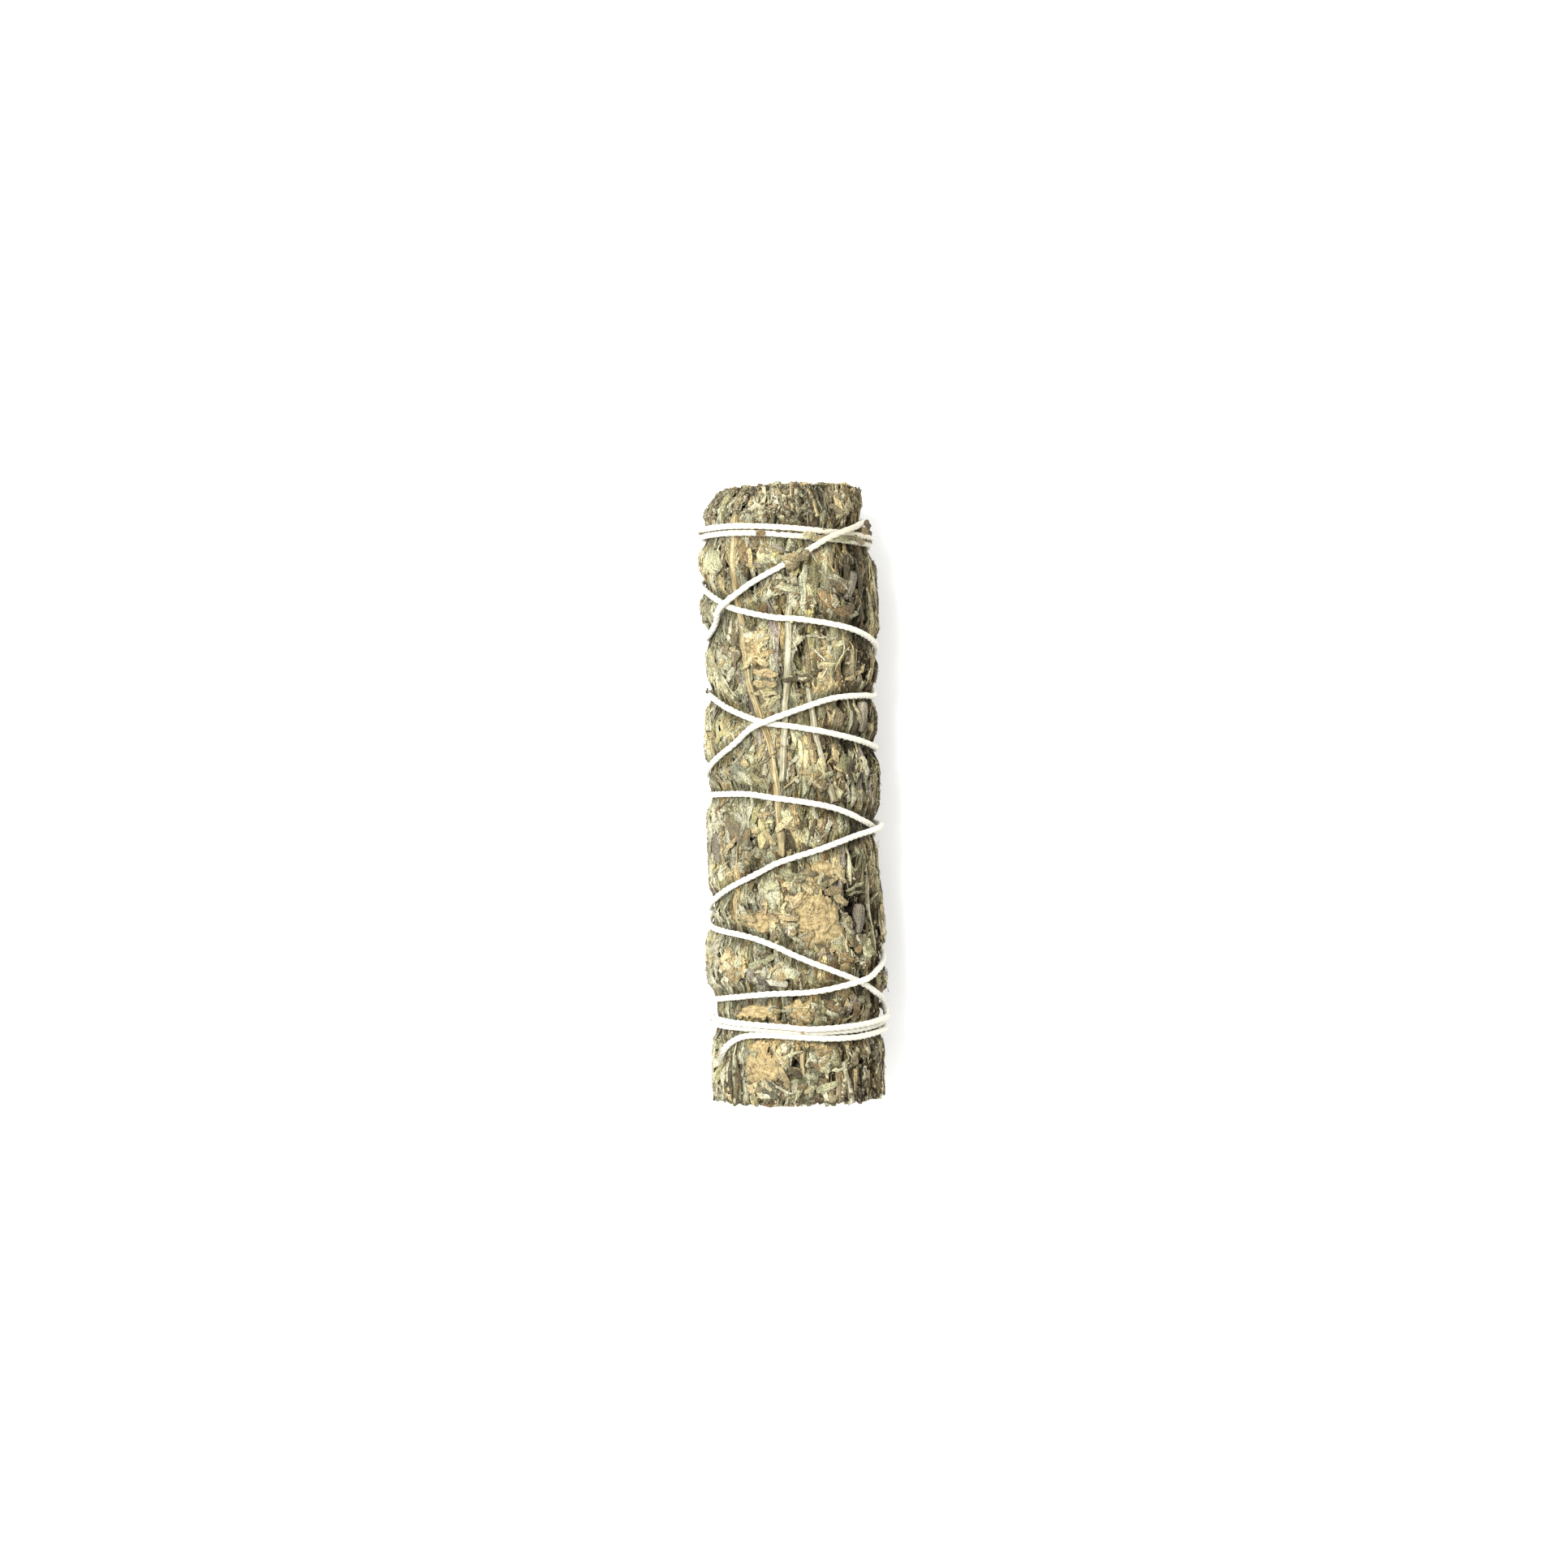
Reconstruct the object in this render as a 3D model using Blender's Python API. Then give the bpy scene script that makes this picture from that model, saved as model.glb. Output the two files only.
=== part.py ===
"""A small bundle of dried lavender, bound along its whole length with one cotton string.

The bundle lies along Y on the plane z = 0. A place on it is an angle about its axis, counted from +X
up towards +Z, and a distance y along it. Leaves, stems and bracts are laid on that surface, and the
string is wound over them from the lower band to the upper one and back.
"""

import math
import random

import bmesh
import bpy
import numpy as np
from mathutils import Vector

MM = 0.001

# Driving dimensions
LENGTH = 100.0 * MM
RADIUS = 13.9 * MM  # the mean leaf surface, at mid length
STRING_DIAMETER = 1.05 * MM
CLEARANCE = 0.3 * MM  # between any two pieces

HALF = LENGTH / 2
STRING_RADIUS = STRING_DIAMETER / 2
REST_GAP = 0.1 * MM  # the string stays this far off the surface that the leaves rest on
AXIS_HEIGHT = RADIUS + STRING_RADIUS + REST_GAP

# The leaf surface at the left and right sides: millimetres along, radius left, radius right
SIDES = (
    (-50.0, 13.7, 13.1), (-43.0, 13.9, 13.6), (-30.0, 14.4, 14.3), (-16.0, 14.0, 13.5),
    (0.0, 13.9, 13.5), (17.0, 13.8, 13.8), (27.0, 13.4, 14.3), (37.0, 14.4, 13.8), (44.0, 14.0, 12.9), (47.0, 13.0, 12.4),
    (50.0, 10.6, 11.8),
)
UNDERSIDE_TAPER = 1.6 * MM  # at both ends, so that only the middle rests
LUMP = 0.22 * MM

# The string's route: degrees about the axis, counted on through every turn, and millimetres along it
STRING_ROUTE = (
    # the hidden start, laid lengthwise and trapped under the lower band
    (-48, -43.0), (-49, -41.0), (-46, -39.3), (-36, -38.4), (-18, -37.9),
    # first turn of the lower band
    (0, -37.7), (24, -38.0), (53, -38.4), (82, -38.5), (100, -38.1), (130, -37.6), (155, -37.4),
    (180, -37.2), (225, -36.9), (270, -36.5), (315, -35.9), (345, -35.2),
    # four crossing turns up the bundle
    (360, -34.8), (386, -32.8), (408, -30.5), (445, -26.7), (466, -24.3), (487, -22.7), (532, -21.0),
    (585, -17.3), (630, -12.6), (675, -8.9), (710, -7.0), (734, -5.8), (756, -4.5), (778, -2.7),
    (795, -1.7), (822, -0.6), (845, 0.2), (880, 0.2), (900, 0.1),
    (945, 1.2), (990, 3.4), (1035, 5.6), (1065, 6.9), (1095, 7.5), (1123, 8.7), (1149, 9.9),
    (1171, 10.9), (1188, 11.6), (1210, 13.4), (1249, 16.5),
    (1305, 17.5), (1350, 18.6), (1395, 20.6), (1420, 21.9), (1440, 23.2), (1460, 24.6),
    (1478, 25.9), (1497, 27.0), (1522, 28.0), (1544, 28.6), (1572, 30.4), (1608, 33.9),
    (1640, 35.6), (1665, 36.6), (1710, 38.2), (1755, 39.5),
    # two turns of the upper band
    (1800, 40.4), (1830, 40.6), (1860, 41.0), (1885, 41.5), (1906, 42.0), (1931, 42.3), (1980, 42.4),
    (2025, 42.2), (2070, 42.0), (2115, 41.8),
    (2160, 41.5), (2190, 41.7), (2221, 42.1), (2239, 42.5), (2252, 42.8), (2266, 43.1), (2291, 43.4),
    (2340, 43.4), (2385, 43.6), (2430, 43.9), (2475, 44.3),
    # four crossing turns back down
    (2520, 44.4), (2542, 43.7), (2564, 42.7), (2581, 41.3), (2598, 38.9), (2613, 36.8), (2637, 33.8),
    (2655, 30.6), (2683, 26.5), (2710, 25.9), (2745, 25.2), (2790, 23.3), (2835, 20.2), (2860, 17.8),
    (2883, 15.8), (2909, 15.7), (2940, 15.3), (2964, 13.7), (2987, 11.6), (3002, 9.9), (3021, 7.1),
    (3049, 4.3), (3080, 2.9), (3105, 1.4), (3150, -1.4), (3195, -3.7), (3230, -5.0),
    (3254, -5.7), (3289, -7.3), (3316, -9.2), (3340, -10.9), (3357, -12.8), (3376, -14.7),
    (3400, -16.9), (3420, -17.9), (3465, -19.6), (3510, -22.0), (3555, -24.4),
    (3600, -26.7), (3625, -28.8), (3652, -30.5), (3678, -31.8), (3710, -32.1), (3739, -32.7),
    (3780, -33.5), (3825, -34.0), (3870, -34.3), (3915, -34.7), (3945, -35.9),
    # last two turns of the lower band, and the loose end in front
    (3960, -36.7), (3984, -37.1), (4013, -37.6), (4042, -37.8), (4060, -37.3), (4090, -36.75),
    (4140, -36.1), (4162, -37.1), (4185, -37.9), (4230, -38.2), (4275, -38.5),
    (4320, -38.8), (4344, -39.05), (4367, -39.5), (4393, -39.4), (4411, -39.0), (4429, -38.6),
    (4445, -38.8), (4458, -39.6), (4470, -41.0), (4476, -42.4),
)

SAMPLE_STEP = 0.8 * MM  # along the string, where its height is worked out
STRING_STEP = 3.9 * MM  # between the points of the string's own curve
CROSSING_GAP = 0.15 * MM
LIFT_REACH = 4.5 * MM  # how far along the string a crossing raises it
SAME_STRAND = 4.0 * MM  # nearer than this along the string is the same pass, and no crossing

# Leaves
LEAF_COLUMNS = 20
LEAF_ROWS = 6
LEAF_LENGTH = 19.0 * MM
LEAF_WIDTH = 4.2 * MM
LEAF_STATIONS = 3
LEAF_KEEL = 2.3 * MM  # how far a leaf is rooted below the leaf surface
PRESSED_HEIGHT = -1.0 * MM  # leaves under the string, against the leaf surface
FREE_HEIGHT = 0.8 * MM  # the most that a leaf stands out away from the string
PRESS_NEAR = 1.2 * MM
PRESS_FAR = 3.4 * MM
TOUCH_NEAR = 1.15 * MM  # a leaf's edges between its stations keep clear of the string this far out
TOUCH_FAR = 1.9 * MM
REST_BULGE = 0.9 * MM  # leaves bulge out between the turns where the bundle rests
LEAF_MARGIN = -0.5 * MM  # of a leaf's edges below the leaf surface
LEAF_ENDS = -1.0 * MM
CORE_DEPTH = 1.7 * MM  # of the core's surface below the leaf surface
CORE_SIDES = 18
CORE_RINGS = 6
END_TUFTS = 22
# Broad leaves under the bundle, between turns of the string: degrees, place and length in millimetres
RESTING_LEAVES = ((268.0, 30.8, 13.0), (271.5, 11.0, 13.0), (268.5, -7.0, 9.0), (271.0, -28.2, 10.5))
RESTING_WIDTH = 4.4 * MM

# Stems on the surface: name, (degrees, millimetres) points, radius in millimetres
SURFACE_STEMS = (
    ("stem_long_straw",
     ((131, 49.8), (129, 42.0), (129, 34.0), (126, 25.5), (122, 20.5), (117, 16.0), (111, 12.0),
      (105, 6.6), (101, -2.0), (99, -10.0)), 0.62),
    ("stem_pale_centre", ((86, 35.3), (90, 29.0), (92, 20.0), (95, 11.5), (98, 2.0)), 0.60),
    ("stem_pale_right", ((78, 17.0), (75, 12.0), (70, 6.5), (60, -1.4)), 0.55),
    ("stem_top_right", ((74, 50.3), (71, 47.5), (67, 44.6)), 0.55),
    ("stem_top_edge", ((34, 50.4), (33, 48.0), (31, 45.6)), 0.60),
    ("stem_top_centre", ((87, 49.6), (86, 45.4)), 0.60),
    ("stem_foot_centre", ((88, -41.3), (88, -45.6)), 0.48),
    ("stem_foot_right", ((58, -43.4), (54, -46.5), (49, -50.2)), 0.60),
    ("stem_foot_left", ((163, -40.2), (161, -45.0), (160, -49.8)), 0.55),
    ("stem_right_low", ((29, -11.5), (27, -17.0), (24, -26.0)), 0.52),
    ("stem_back_left", ((214, 49.6), (218, 38.0), (222, 24.0), (219, 10.0)), 0.60),
    ("stem_back_right", ((322, 30.0), (318, 18.0), (321, 4.0), (326, -8.0)), 0.62),
)
STEM_DEPTH = 0.75 * MM  # of a stem's centre below the leaf surface
STEM_STEP = 5.0 * MM
ROUND_SIDES = 6
CHANNEL_OPENING = 3.0 * MM  # how far a stem's channel is cut outwards

# Stems inside the bundle, which show only at its two cut ends: how many on each ring, and its radius
INNER_RINGS = ((1, 0.6 * MM), (4, 4.6 * MM), (5, 8.2 * MM))
INNER_STEM_RADIUS = (0.8 * MM, 1.2 * MM)
INNER_STEM_SIDES = 6

# Papery bracts and single leaves that lie in the surface:
# name, degrees, millimetres, length and width in millimetres, turn in degrees, finish
SURFACE_BLADES = (
    ("bract_large", 75, -20.8, 9.8, 9.4, 12, "bract"),
    ("bract_side", 113, -20.4, 3.8, 4.4, -60, "bract"),
    ("bract_upper", 71, -12.4, 3.2, 5.6, 175, "bract"),
    ("bract_foot", 117, -44.0, 7.0, 7.4, 25, "bract"),
    ("bract_band_left", 121, -34.9, 2.2, 7.0, 176, "bract"),
    ("bract_band_right", 89, -35.0, 2.8, 5.0, 10, "bract"),
    ("bract_low_left", 139, -28.4, 5.0, 4.2, 10, "bract"),
    ("bract_tip", 76, -42.0, 2.4, 3.6, 110, "bract"),
    ("bract_high", 114, 23.4, 4.2, 3.6, 20, "bract"),
    ("leaf_yellow", 112, -6.6, 5.6, 2.4, 8, "yellow_leaf"),
    ("leaf_pale_curled", 106, -29.6, 5.2, 2.2, -62, "pale_leaf"),
    ("bract_back_high", 236, 31.5, 6.0, 5.0, 30, "bract"),
)
BLADE_THICKNESS = 0.7 * MM
BLADE_TOP = 0.25 * MM  # of a blade's face above the leaf surface
BLADE_WAVE = 0.18 * MM
BLADE_ROWS = 3
VEINS = 3

# Ribbed calyces, the dried flower cups: name, degrees, millimetres, turn in degrees
CALYCES = (
    ("calyx_right_high", 32, 12.2, 12),
    ("calyx_left", 155, -8.6, -12),
    ("calyx_right", 44, 33.4, 25),
    ("calyx_low", 42, -20.6, 12),
    ("calyx_back", 225, -12.0, 8),
)
CALYX_LENGTH = 5.0 * MM
CALYX_RADIUS = 0.95 * MM
CALYX_DEPTH = 0.2 * MM  # of a calyx's centre below the leaf surface
CALYX_RIBS = 5

SEED = 2

# Finishes: base colour, roughness
FINISHES = {
    "leaf": ((0.23, 0.21, 0.15, 1.0), 0.95),
    "string": ((0.86, 0.84, 0.77, 1.0), 0.9),
    "stem": ((0.47, 0.38, 0.24, 1.0), 0.8),
    "bract": ((0.48, 0.32, 0.17, 1.0), 0.75),
    "yellow_leaf": ((0.50, 0.46, 0.21, 1.0), 0.85),
    "pale_leaf": ((0.45, 0.45, 0.37, 1.0), 0.9),
    "calyx": ((0.24, 0.20, 0.22, 1.0), 0.9),
}


def smooth_step(value, low, high):
    """0 below low, 1 above high, and a smooth rise between them."""
    t = np.clip((np.asarray(value, float) - low) / (high - low), 0.0, 1.0)
    return t * t * (3.0 - 2.0 * t)


def leaf_radius(angle, y):
    """Radius of the mean leaf surface at an angle in radians and a distance y along the bundle."""
    angle = np.asarray(angle, float)
    y = np.asarray(y, float)
    along, left, right = np.array(SIDES).T * MM
    share = 0.5 - 0.5 * np.cos(angle)
    sides = np.interp(y, along, left) * share + np.interp(y, along, right) * (1 - share)
    lumps = LUMP * (np.sin(2 * angle + 230 * y + 0.7) + 0.6 * np.sin(3 * angle - 340 * y + 1.9))
    below = RADIUS - UNDERSIDE_TAPER * smooth_step(np.abs(y), HALF - 8 * MM, HALF)
    upper = smooth_step(np.sin(angle), -0.95, -0.2)
    return below + upper * (sides + lumps - below)


def place(angle, y, height=0.0):
    """The point at a height above the leaf surface."""
    radius = leaf_radius(angle, y) + height
    return Vector((radius * math.cos(angle), y, AXIS_HEIGHT + radius * math.sin(angle)))


def walk(angle, y, along, across, turn):
    """The angle and y reached from a place by going along and across a heading turned from +Y."""
    side = along * math.sin(turn) + across * math.cos(turn)
    return angle - side / RADIUS, y + along * math.cos(turn) - across * math.sin(turn)


def rest_bulge(angle):
    """How much further leaves stand out where the bundle rests."""
    return REST_BULGE * float(smooth_step(-math.sin(angle), 0.90, 0.97))


def smooth_route(points, step):
    """Evenly spaced (angle, y) samples of a smooth curve through points in degrees and millimetres."""
    flat = np.array([(math.radians(a) * RADIUS, y * MM) for a, y in points])
    flat = np.vstack([2 * flat[0] - flat[1], flat, 2 * flat[-1] - flat[-2]])
    fine = []
    for p0, p1, p2, p3 in zip(flat, flat[1:], flat[2:], flat[3:]):
        count = max(4, int(np.linalg.norm(p2 - p1) / (0.25 * MM)))
        t = np.linspace(0, 1, count, endpoint=False)[:, None]
        fine.append(
            0.5
            * (
                2 * p1
                + (p2 - p0) * t
                + (2 * p0 - 5 * p1 + 4 * p2 - p3) * t**2
                + (3 * p1 - p0 - 3 * p2 + p3) * t**3
            )
        )
    fine = np.vstack([*fine, flat[-2]])
    run = np.concatenate([[0], np.cumsum(np.linalg.norm(np.diff(fine, axis=0), axis=1))])
    even = np.linspace(0, run[-1], max(2, round(run[-1] / step) + 1))
    return even, np.interp(even, run, fine[:, 0]) / RADIUS, np.interp(even, run, fine[:, 1])


def gap_on_surface(angle_a, y_a, angle_b, y_b):
    """Distance along the surface between every place of a and every place of b."""
    turned = angle_a[:, None] - angle_b[None, :]
    turned = (turned + math.pi) % (2 * math.pi) - math.pi
    return np.hypot(turned * RADIUS, y_a[:, None] - y_b[None, :])


def raised_over(distance, reach, heights):
    """Height needed to clear round things of these heights whose centres must stay reach apart."""
    need = heights + np.sqrt(np.maximum(reach**2 - distance**2, 0))
    return np.where(distance < reach, need, 0.0).max(axis=1)


def string_centre_line():
    """(run, angle, y, height) of the string's centre line, lifted over what it crosses."""
    run, angle, y = smooth_route(STRING_ROUTE, SAMPLE_STEP)
    apart = gap_on_surface(angle, y, angle, y)
    apart[np.abs(run[:, None] - run[None, :]) < SAME_STRAND] = np.inf
    apart[run[:, None] <= run[None, :]] = np.inf
    over_stems = np.zeros(len(run))
    for _, points, radius in SURFACE_STEMS:
        _, stem_angle, stem_y = smooth_route(points, SAMPLE_STEP)
        reach = STRING_RADIUS + radius * MM + CLEARANCE
        depth = np.full(len(stem_y), -STEM_DEPTH)
        distance = gap_on_surface(angle, y, stem_angle, stem_y)
        over_stems = np.maximum(over_stems, raised_over(distance, reach, depth))
    spread = np.abs(run[:, None] - run[None, :]) / LIFT_REACH
    spread = np.where(spread < 1, np.cos(spread * math.pi / 2) ** 2, 0.0)
    height = np.zeros(len(run))
    for _ in range(6):
        over_string = raised_over(apart, STRING_DIAMETER + CROSSING_GAP, height)
        need = np.maximum(over_stems, over_string)
        height = (spread * need[None, :]).max(axis=1)
    return run, angle, y, height


class Wrapping:
    """The wound string, and how near any place on the surface is to it."""

    def __init__(self):
        """Lays the string along its route."""
        self.run, self.angle, self.y, self.height = string_centre_line()

    def distance(self, angle, y):
        """How far along the surface each of these places is from the string."""
        return gap_on_surface(np.atleast_1d(angle), np.atleast_1d(y), self.angle, self.y).min(axis=1)

    def ceiling(self, angle, y, near=PRESS_NEAR, far=PRESS_FAR):
        """The most that a leaf may stand above the leaf surface, pressed down under the string."""
        free = float(smooth_step(self.distance(angle, y)[0], near, far))
        highest = FREE_HEIGHT + rest_bulge(angle)
        return PRESSED_HEIGHT + free * (highest - PRESSED_HEIGHT)

    def press(self, line):
        """Lowers a line of (angle, y, height) until no place between its ends rises into the string."""
        heights = [height for _, _, height in line]
        for _ in range(4):
            for i, ((a0, y0, _), (a1, y1, _)) in enumerate(zip(line, line[1:])):
                for t in (0.2, 0.4, 0.6, 0.8):
                    limit = self.ceiling(a0 + (a1 - a0) * t, y0 + (y1 - y0) * t, TOUCH_NEAR, TOUCH_FAR)
                    excess = heights[i] * (1 - t) + heights[i + 1] * t - limit
                    if excess > 0:
                        weight = (1 - t) ** 2 + t**2
                        heights[i] -= excess * (1 - t) / weight
                        heights[i + 1] -= excess * t / weight
        return heights

    def curve_points(self):
        """Points for the string's curve, each as high as the string gets near it."""
        count = round(self.run[-1] / STRING_STEP)
        points = []
        for at in np.linspace(0, self.run[-1], count + 1):
            near = np.abs(self.run - at) <= STRING_STEP / 2
            angle = float(np.interp(at, self.run, self.angle))
            y = float(np.interp(at, self.run, self.y))
            points.append(place(angle, y, float(self.height[near].max())))
        return points


def link(obj):
    """Puts a new object into the scene."""
    bpy.context.scene.collection.objects.link(obj)
    return obj


def finish_material(name):
    """The material of this finish, made once."""
    found = bpy.data.materials.get(name)
    if found:
        return found
    colour, roughness = FINISHES[name]
    material = bpy.data.materials.new(name)
    material.use_nodes = True
    shader = material.node_tree.nodes["Principled BSDF"]
    shader.inputs["Base Color"].default_value = colour
    shader.inputs["Roughness"].default_value = roughness
    shader.inputs["Metallic"].default_value = 0.0
    return material


def object_from(bm, name, finish=None):
    """Closes a bmesh into an object, with its faces pointing out."""
    bmesh.ops.recalc_face_normals(bm, faces=bm.faces)
    mesh = bpy.data.meshes.new(name)
    bm.to_mesh(mesh)
    bm.free()
    obj = link(bpy.data.objects.new(name, mesh))
    if finish:
        mesh.materials.append(finish_material(finish))
    return obj


def add_loft(bm, rings):
    """Bridges closed rings of points one to the next. A ring of one point is a tip."""
    made = [[bm.verts.new(point) for point in ring] for ring in rings]
    for ring, after in zip(made, made[1:]):
        if len(ring) == 1 and len(after) == 1:
            continue
        count = max(len(ring), len(after))
        for i in range(count):
            j = (i + 1) % count
            if len(ring) == 1:
                bm.faces.new((ring[0], after[j], after[i]))
            elif len(after) == 1:
                bm.faces.new((ring[i], ring[j], after[0]))
            else:
                bm.faces.new((ring[i], ring[j], after[j], after[i]))
    for ring in (made[0], made[-1]):
        if len(ring) > 2:
            bm.faces.new(ring)


def loft(name, rings, finish=None):
    """One closed object lofted through rings of points."""
    bm = bmesh.new()
    add_loft(bm, rings)
    return object_from(bm, name, finish)


def tube(name, points, radius, finish):
    """A round rod along points, with flat ends."""
    rings = []
    side = None
    for i, at in enumerate(points):
        along = (points[min(i + 1, len(points) - 1)] - points[max(i - 1, 0)]).normalized()
        side = side or along.orthogonal()
        side = (side - along * side.dot(along)).normalized()
        other = along.cross(side)
        ring = []
        for k in range(ROUND_SIDES):
            swing = 2 * math.pi * k / ROUND_SIDES
            ring.append(at + radius * (math.cos(swing) * side + math.sin(swing) * other))
        rings.append(ring)
    return loft(name, rings, finish)


def leaf(wrapping, draw, angle, y, name, resting=0.0):
    """One narrow dried leaf that lies on the bundle and is rooted in its core."""
    length = LEAF_LENGTH * draw.uniform(0.8, 1.2)
    width = LEAF_WIDTH * draw.uniform(0.75, 1.15)
    turn = math.radians(draw.gauss(0, 13) if draw.random() < 0.82 else draw.uniform(-65, 65))
    bow = draw.uniform(-1.4, 1.4) * MM
    ridge = draw.uniform(0.05, 0.75) * MM
    lean = draw.uniform(-0.25, 0.25)
    margin = LEAF_MARGIN
    if resting:
        length, width, turn, bow = resting, RESTING_WIDTH, 0.0, 0.0
        margin = ridge
    lines = ([], [], [], [])
    for station in range(LEAF_STATIONS + 1):
        t = station / LEAF_STATIONS
        along = (t - 0.5) * length
        spread = math.sin(math.pi * min(1.0, 0.12 + 0.82 * t)) ** 0.6
        half = 0.5 * width * spread * draw.uniform(0.85, 1.15)
        drift = bow * (1 - (2 * t - 1) ** 2)
        if station in (0, LEAF_STATIONS):
            half, heights = 0.0, (LEAF_ENDS,) * 3
        else:
            heights = (margin, ridge, margin)
        for line, side, height in zip(lines, (-half, lean * half, half), heights):
            at, at_y = walk(angle, y, along, side + drift, turn)
            at_y = max(-HALF * 0.995, min(HALF * 0.995, at_y))
            line.append((at, at_y, min(height + rest_bulge(at), wrapping.ceiling(at, at_y))))
    pressed = [wrapping.press(line) for line in lines[:3]]
    rings = []
    for station in range(LEAF_STATIONS + 1):
        ring = [place(*line[station][:2], top[station]) for line, top in zip(lines, pressed)]
        if station in (0, LEAF_STATIONS):
            rings.append(ring[:1])
            continue
        at, at_y, _ = lines[1][station]
        keel = min(-LEAF_KEEL, min(top[station] for top in pressed) - 0.6 * MM)
        rings.append([*ring, place(at, at_y, keel)])
    return loft(name, rings)


def core():
    """The packed middle that the leaves are rooted in."""
    rings = []
    for y in np.linspace(-HALF + 1.6 * MM, HALF - 1.6 * MM, CORE_RINGS):
        turns = np.linspace(0, 2 * math.pi, CORE_SIDES, endpoint=False)
        rings.append([place(angle, y, -CORE_DEPTH) for angle in turns])
    return loft("leaf_mass", rings, "leaf")


def end_tuft(draw, end, name):
    """The cut end of a leaf or twig that stands out of a cut face of the bundle."""
    angle = draw.uniform(0, 2 * math.pi)
    reach = math.sqrt(draw.uniform(0.01, 0.86)) * (RADIUS - 2.2 * MM)
    outer = (leaf_radius(angle, end * HALF) - 2.2 * MM) / (RADIUS - 2.2 * MM)
    x = reach * outer * math.cos(angle)
    z = AXIS_HEIGHT + reach * outer * math.sin(angle)
    wide = draw.uniform(1.3, 2.6) * MM
    thin = draw.uniform(0.5, 1.0) * MM
    twist = draw.uniform(0, math.pi)
    tip = HALF - draw.uniform(-0.2, 0.9) * MM
    rings = []
    for y, grow in ((HALF - 4.5 * MM, 0.8), (tip, 1.0)):
        ring = []
        for corner in range(4):
            swing = corner * math.pi / 2
            u, v = wide * grow * math.cos(swing), thin * grow * math.sin(swing)
            ring.append(
                Vector((
                    x + u * math.cos(twist) - v * math.sin(twist),
                    end * y,
                    z + u * math.sin(twist) + v * math.cos(twist),
                ))
            )
        rings.append(ring)
    return loft(name, rings)


def boolean(obj, operation, others):
    """Joins or cuts obj with the other objects, which are then removed."""
    tools = bpy.data.collections.new("tools")
    bpy.context.scene.collection.children.link(tools)
    for other in others:
        bpy.context.scene.collection.objects.unlink(other)
        tools.objects.link(other)
    modifier = obj.modifiers.new(operation.lower(), "BOOLEAN")
    modifier.operation = operation
    modifier.operand_type = "COLLECTION"
    modifier.collection = tools
    modifier.solver = "MANIFOLD"
    graph = bpy.context.evaluated_depsgraph_get()
    made = bpy.data.meshes.new_from_object(obj.evaluated_get(graph))
    obj.modifiers.clear()
    obj.data = made
    for other in others:
        bpy.data.objects.remove(other)
    bpy.data.collections.remove(tools)


def keep_one_body(obj):
    """Drops the loose scraps that a cut has left."""
    bm = bmesh.new()
    bm.from_mesh(obj.data)
    left = set(bm.faces)
    bodies = []
    while left:
        body, front = set(), [left.pop()]
        while front:
            face = front.pop()
            body.add(face)
            for edge in face.edges:
                for other in edge.link_faces:
                    if other in left:
                        left.remove(other)
                        front.append(other)
        bodies.append(body)
    largest = max(bodies, key=len)
    scraps = [face for body in bodies if body is not largest for face in body]
    bmesh.ops.delete(bm, geom=scraps, context="FACES")
    bm.to_mesh(obj.data)
    bm.free()


def stem_centre(points):
    """(angle, y) samples along a stem, ends included."""
    _, angle, y = smooth_route(points, STEM_STEP)
    return list(zip(angle, y))


def stem_channel(name, points, radius):
    """What is cut out of the leaves for a stem: open outwards, and clear of it all round."""
    samples = stem_centre(points)
    (a0, y0), (a1, y1) = samples[0], samples[-1]
    (b0, z0), (b1, z1) = samples[1], samples[-2]
    room = radius + CLEARANCE
    length = math.hypot((a0 - b0) * RADIUS, y0 - z0)
    stretch = room / length
    samples[0] = (a0 + (a0 - b0) * stretch, y0 + (y0 - z0) * stretch)
    samples[-1] = (a1 + (a1 - b1) * stretch, y1 + (y1 - z1) * stretch)
    rings = []
    for i, (angle, y) in enumerate(samples):
        before = samples[max(0, i - 1)]
        after = samples[min(len(samples) - 1, i + 1)]
        turn = math.atan2(-(after[0] - before[0]) * RADIUS, after[1] - before[1])
        corners = ((-0.8, -room), (0.8, -room), (1.5, CHANNEL_OPENING), (-1.5, CHANNEL_OPENING))
        ring = []
        for side, height in corners:
            at = walk(angle, y, 0.0, side * room * 1.12, turn)
            ring.append(place(at[0], at[1], height - STEM_DEPTH))
        rings.append(ring)
    return loft(name, rings)


def blade_outline(rows, columns, length, width):
    """(along, across) grid of a bract or leaf: narrow foot, broad past the middle, blunt tip."""
    grid = []
    for row in range(rows + 1):
        t = row / rows
        half = 0.5 * width * (0.30 + 0.70 * math.sin(math.pi * (0.10 + 0.68 * t)))
        line = []
        for column in range(columns + 1):
            s = 2 * column / columns - 1
            fan = 0.16 * length * (1 - s * s) * (t - 0.35)
            notch = 0.05 * length * (column % 2) * (1 if row == rows else 0)
            line.append(((t - 0.5) * length * 0.86 + fan - notch, s * half))
        grid.append(line)
    return grid


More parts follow.
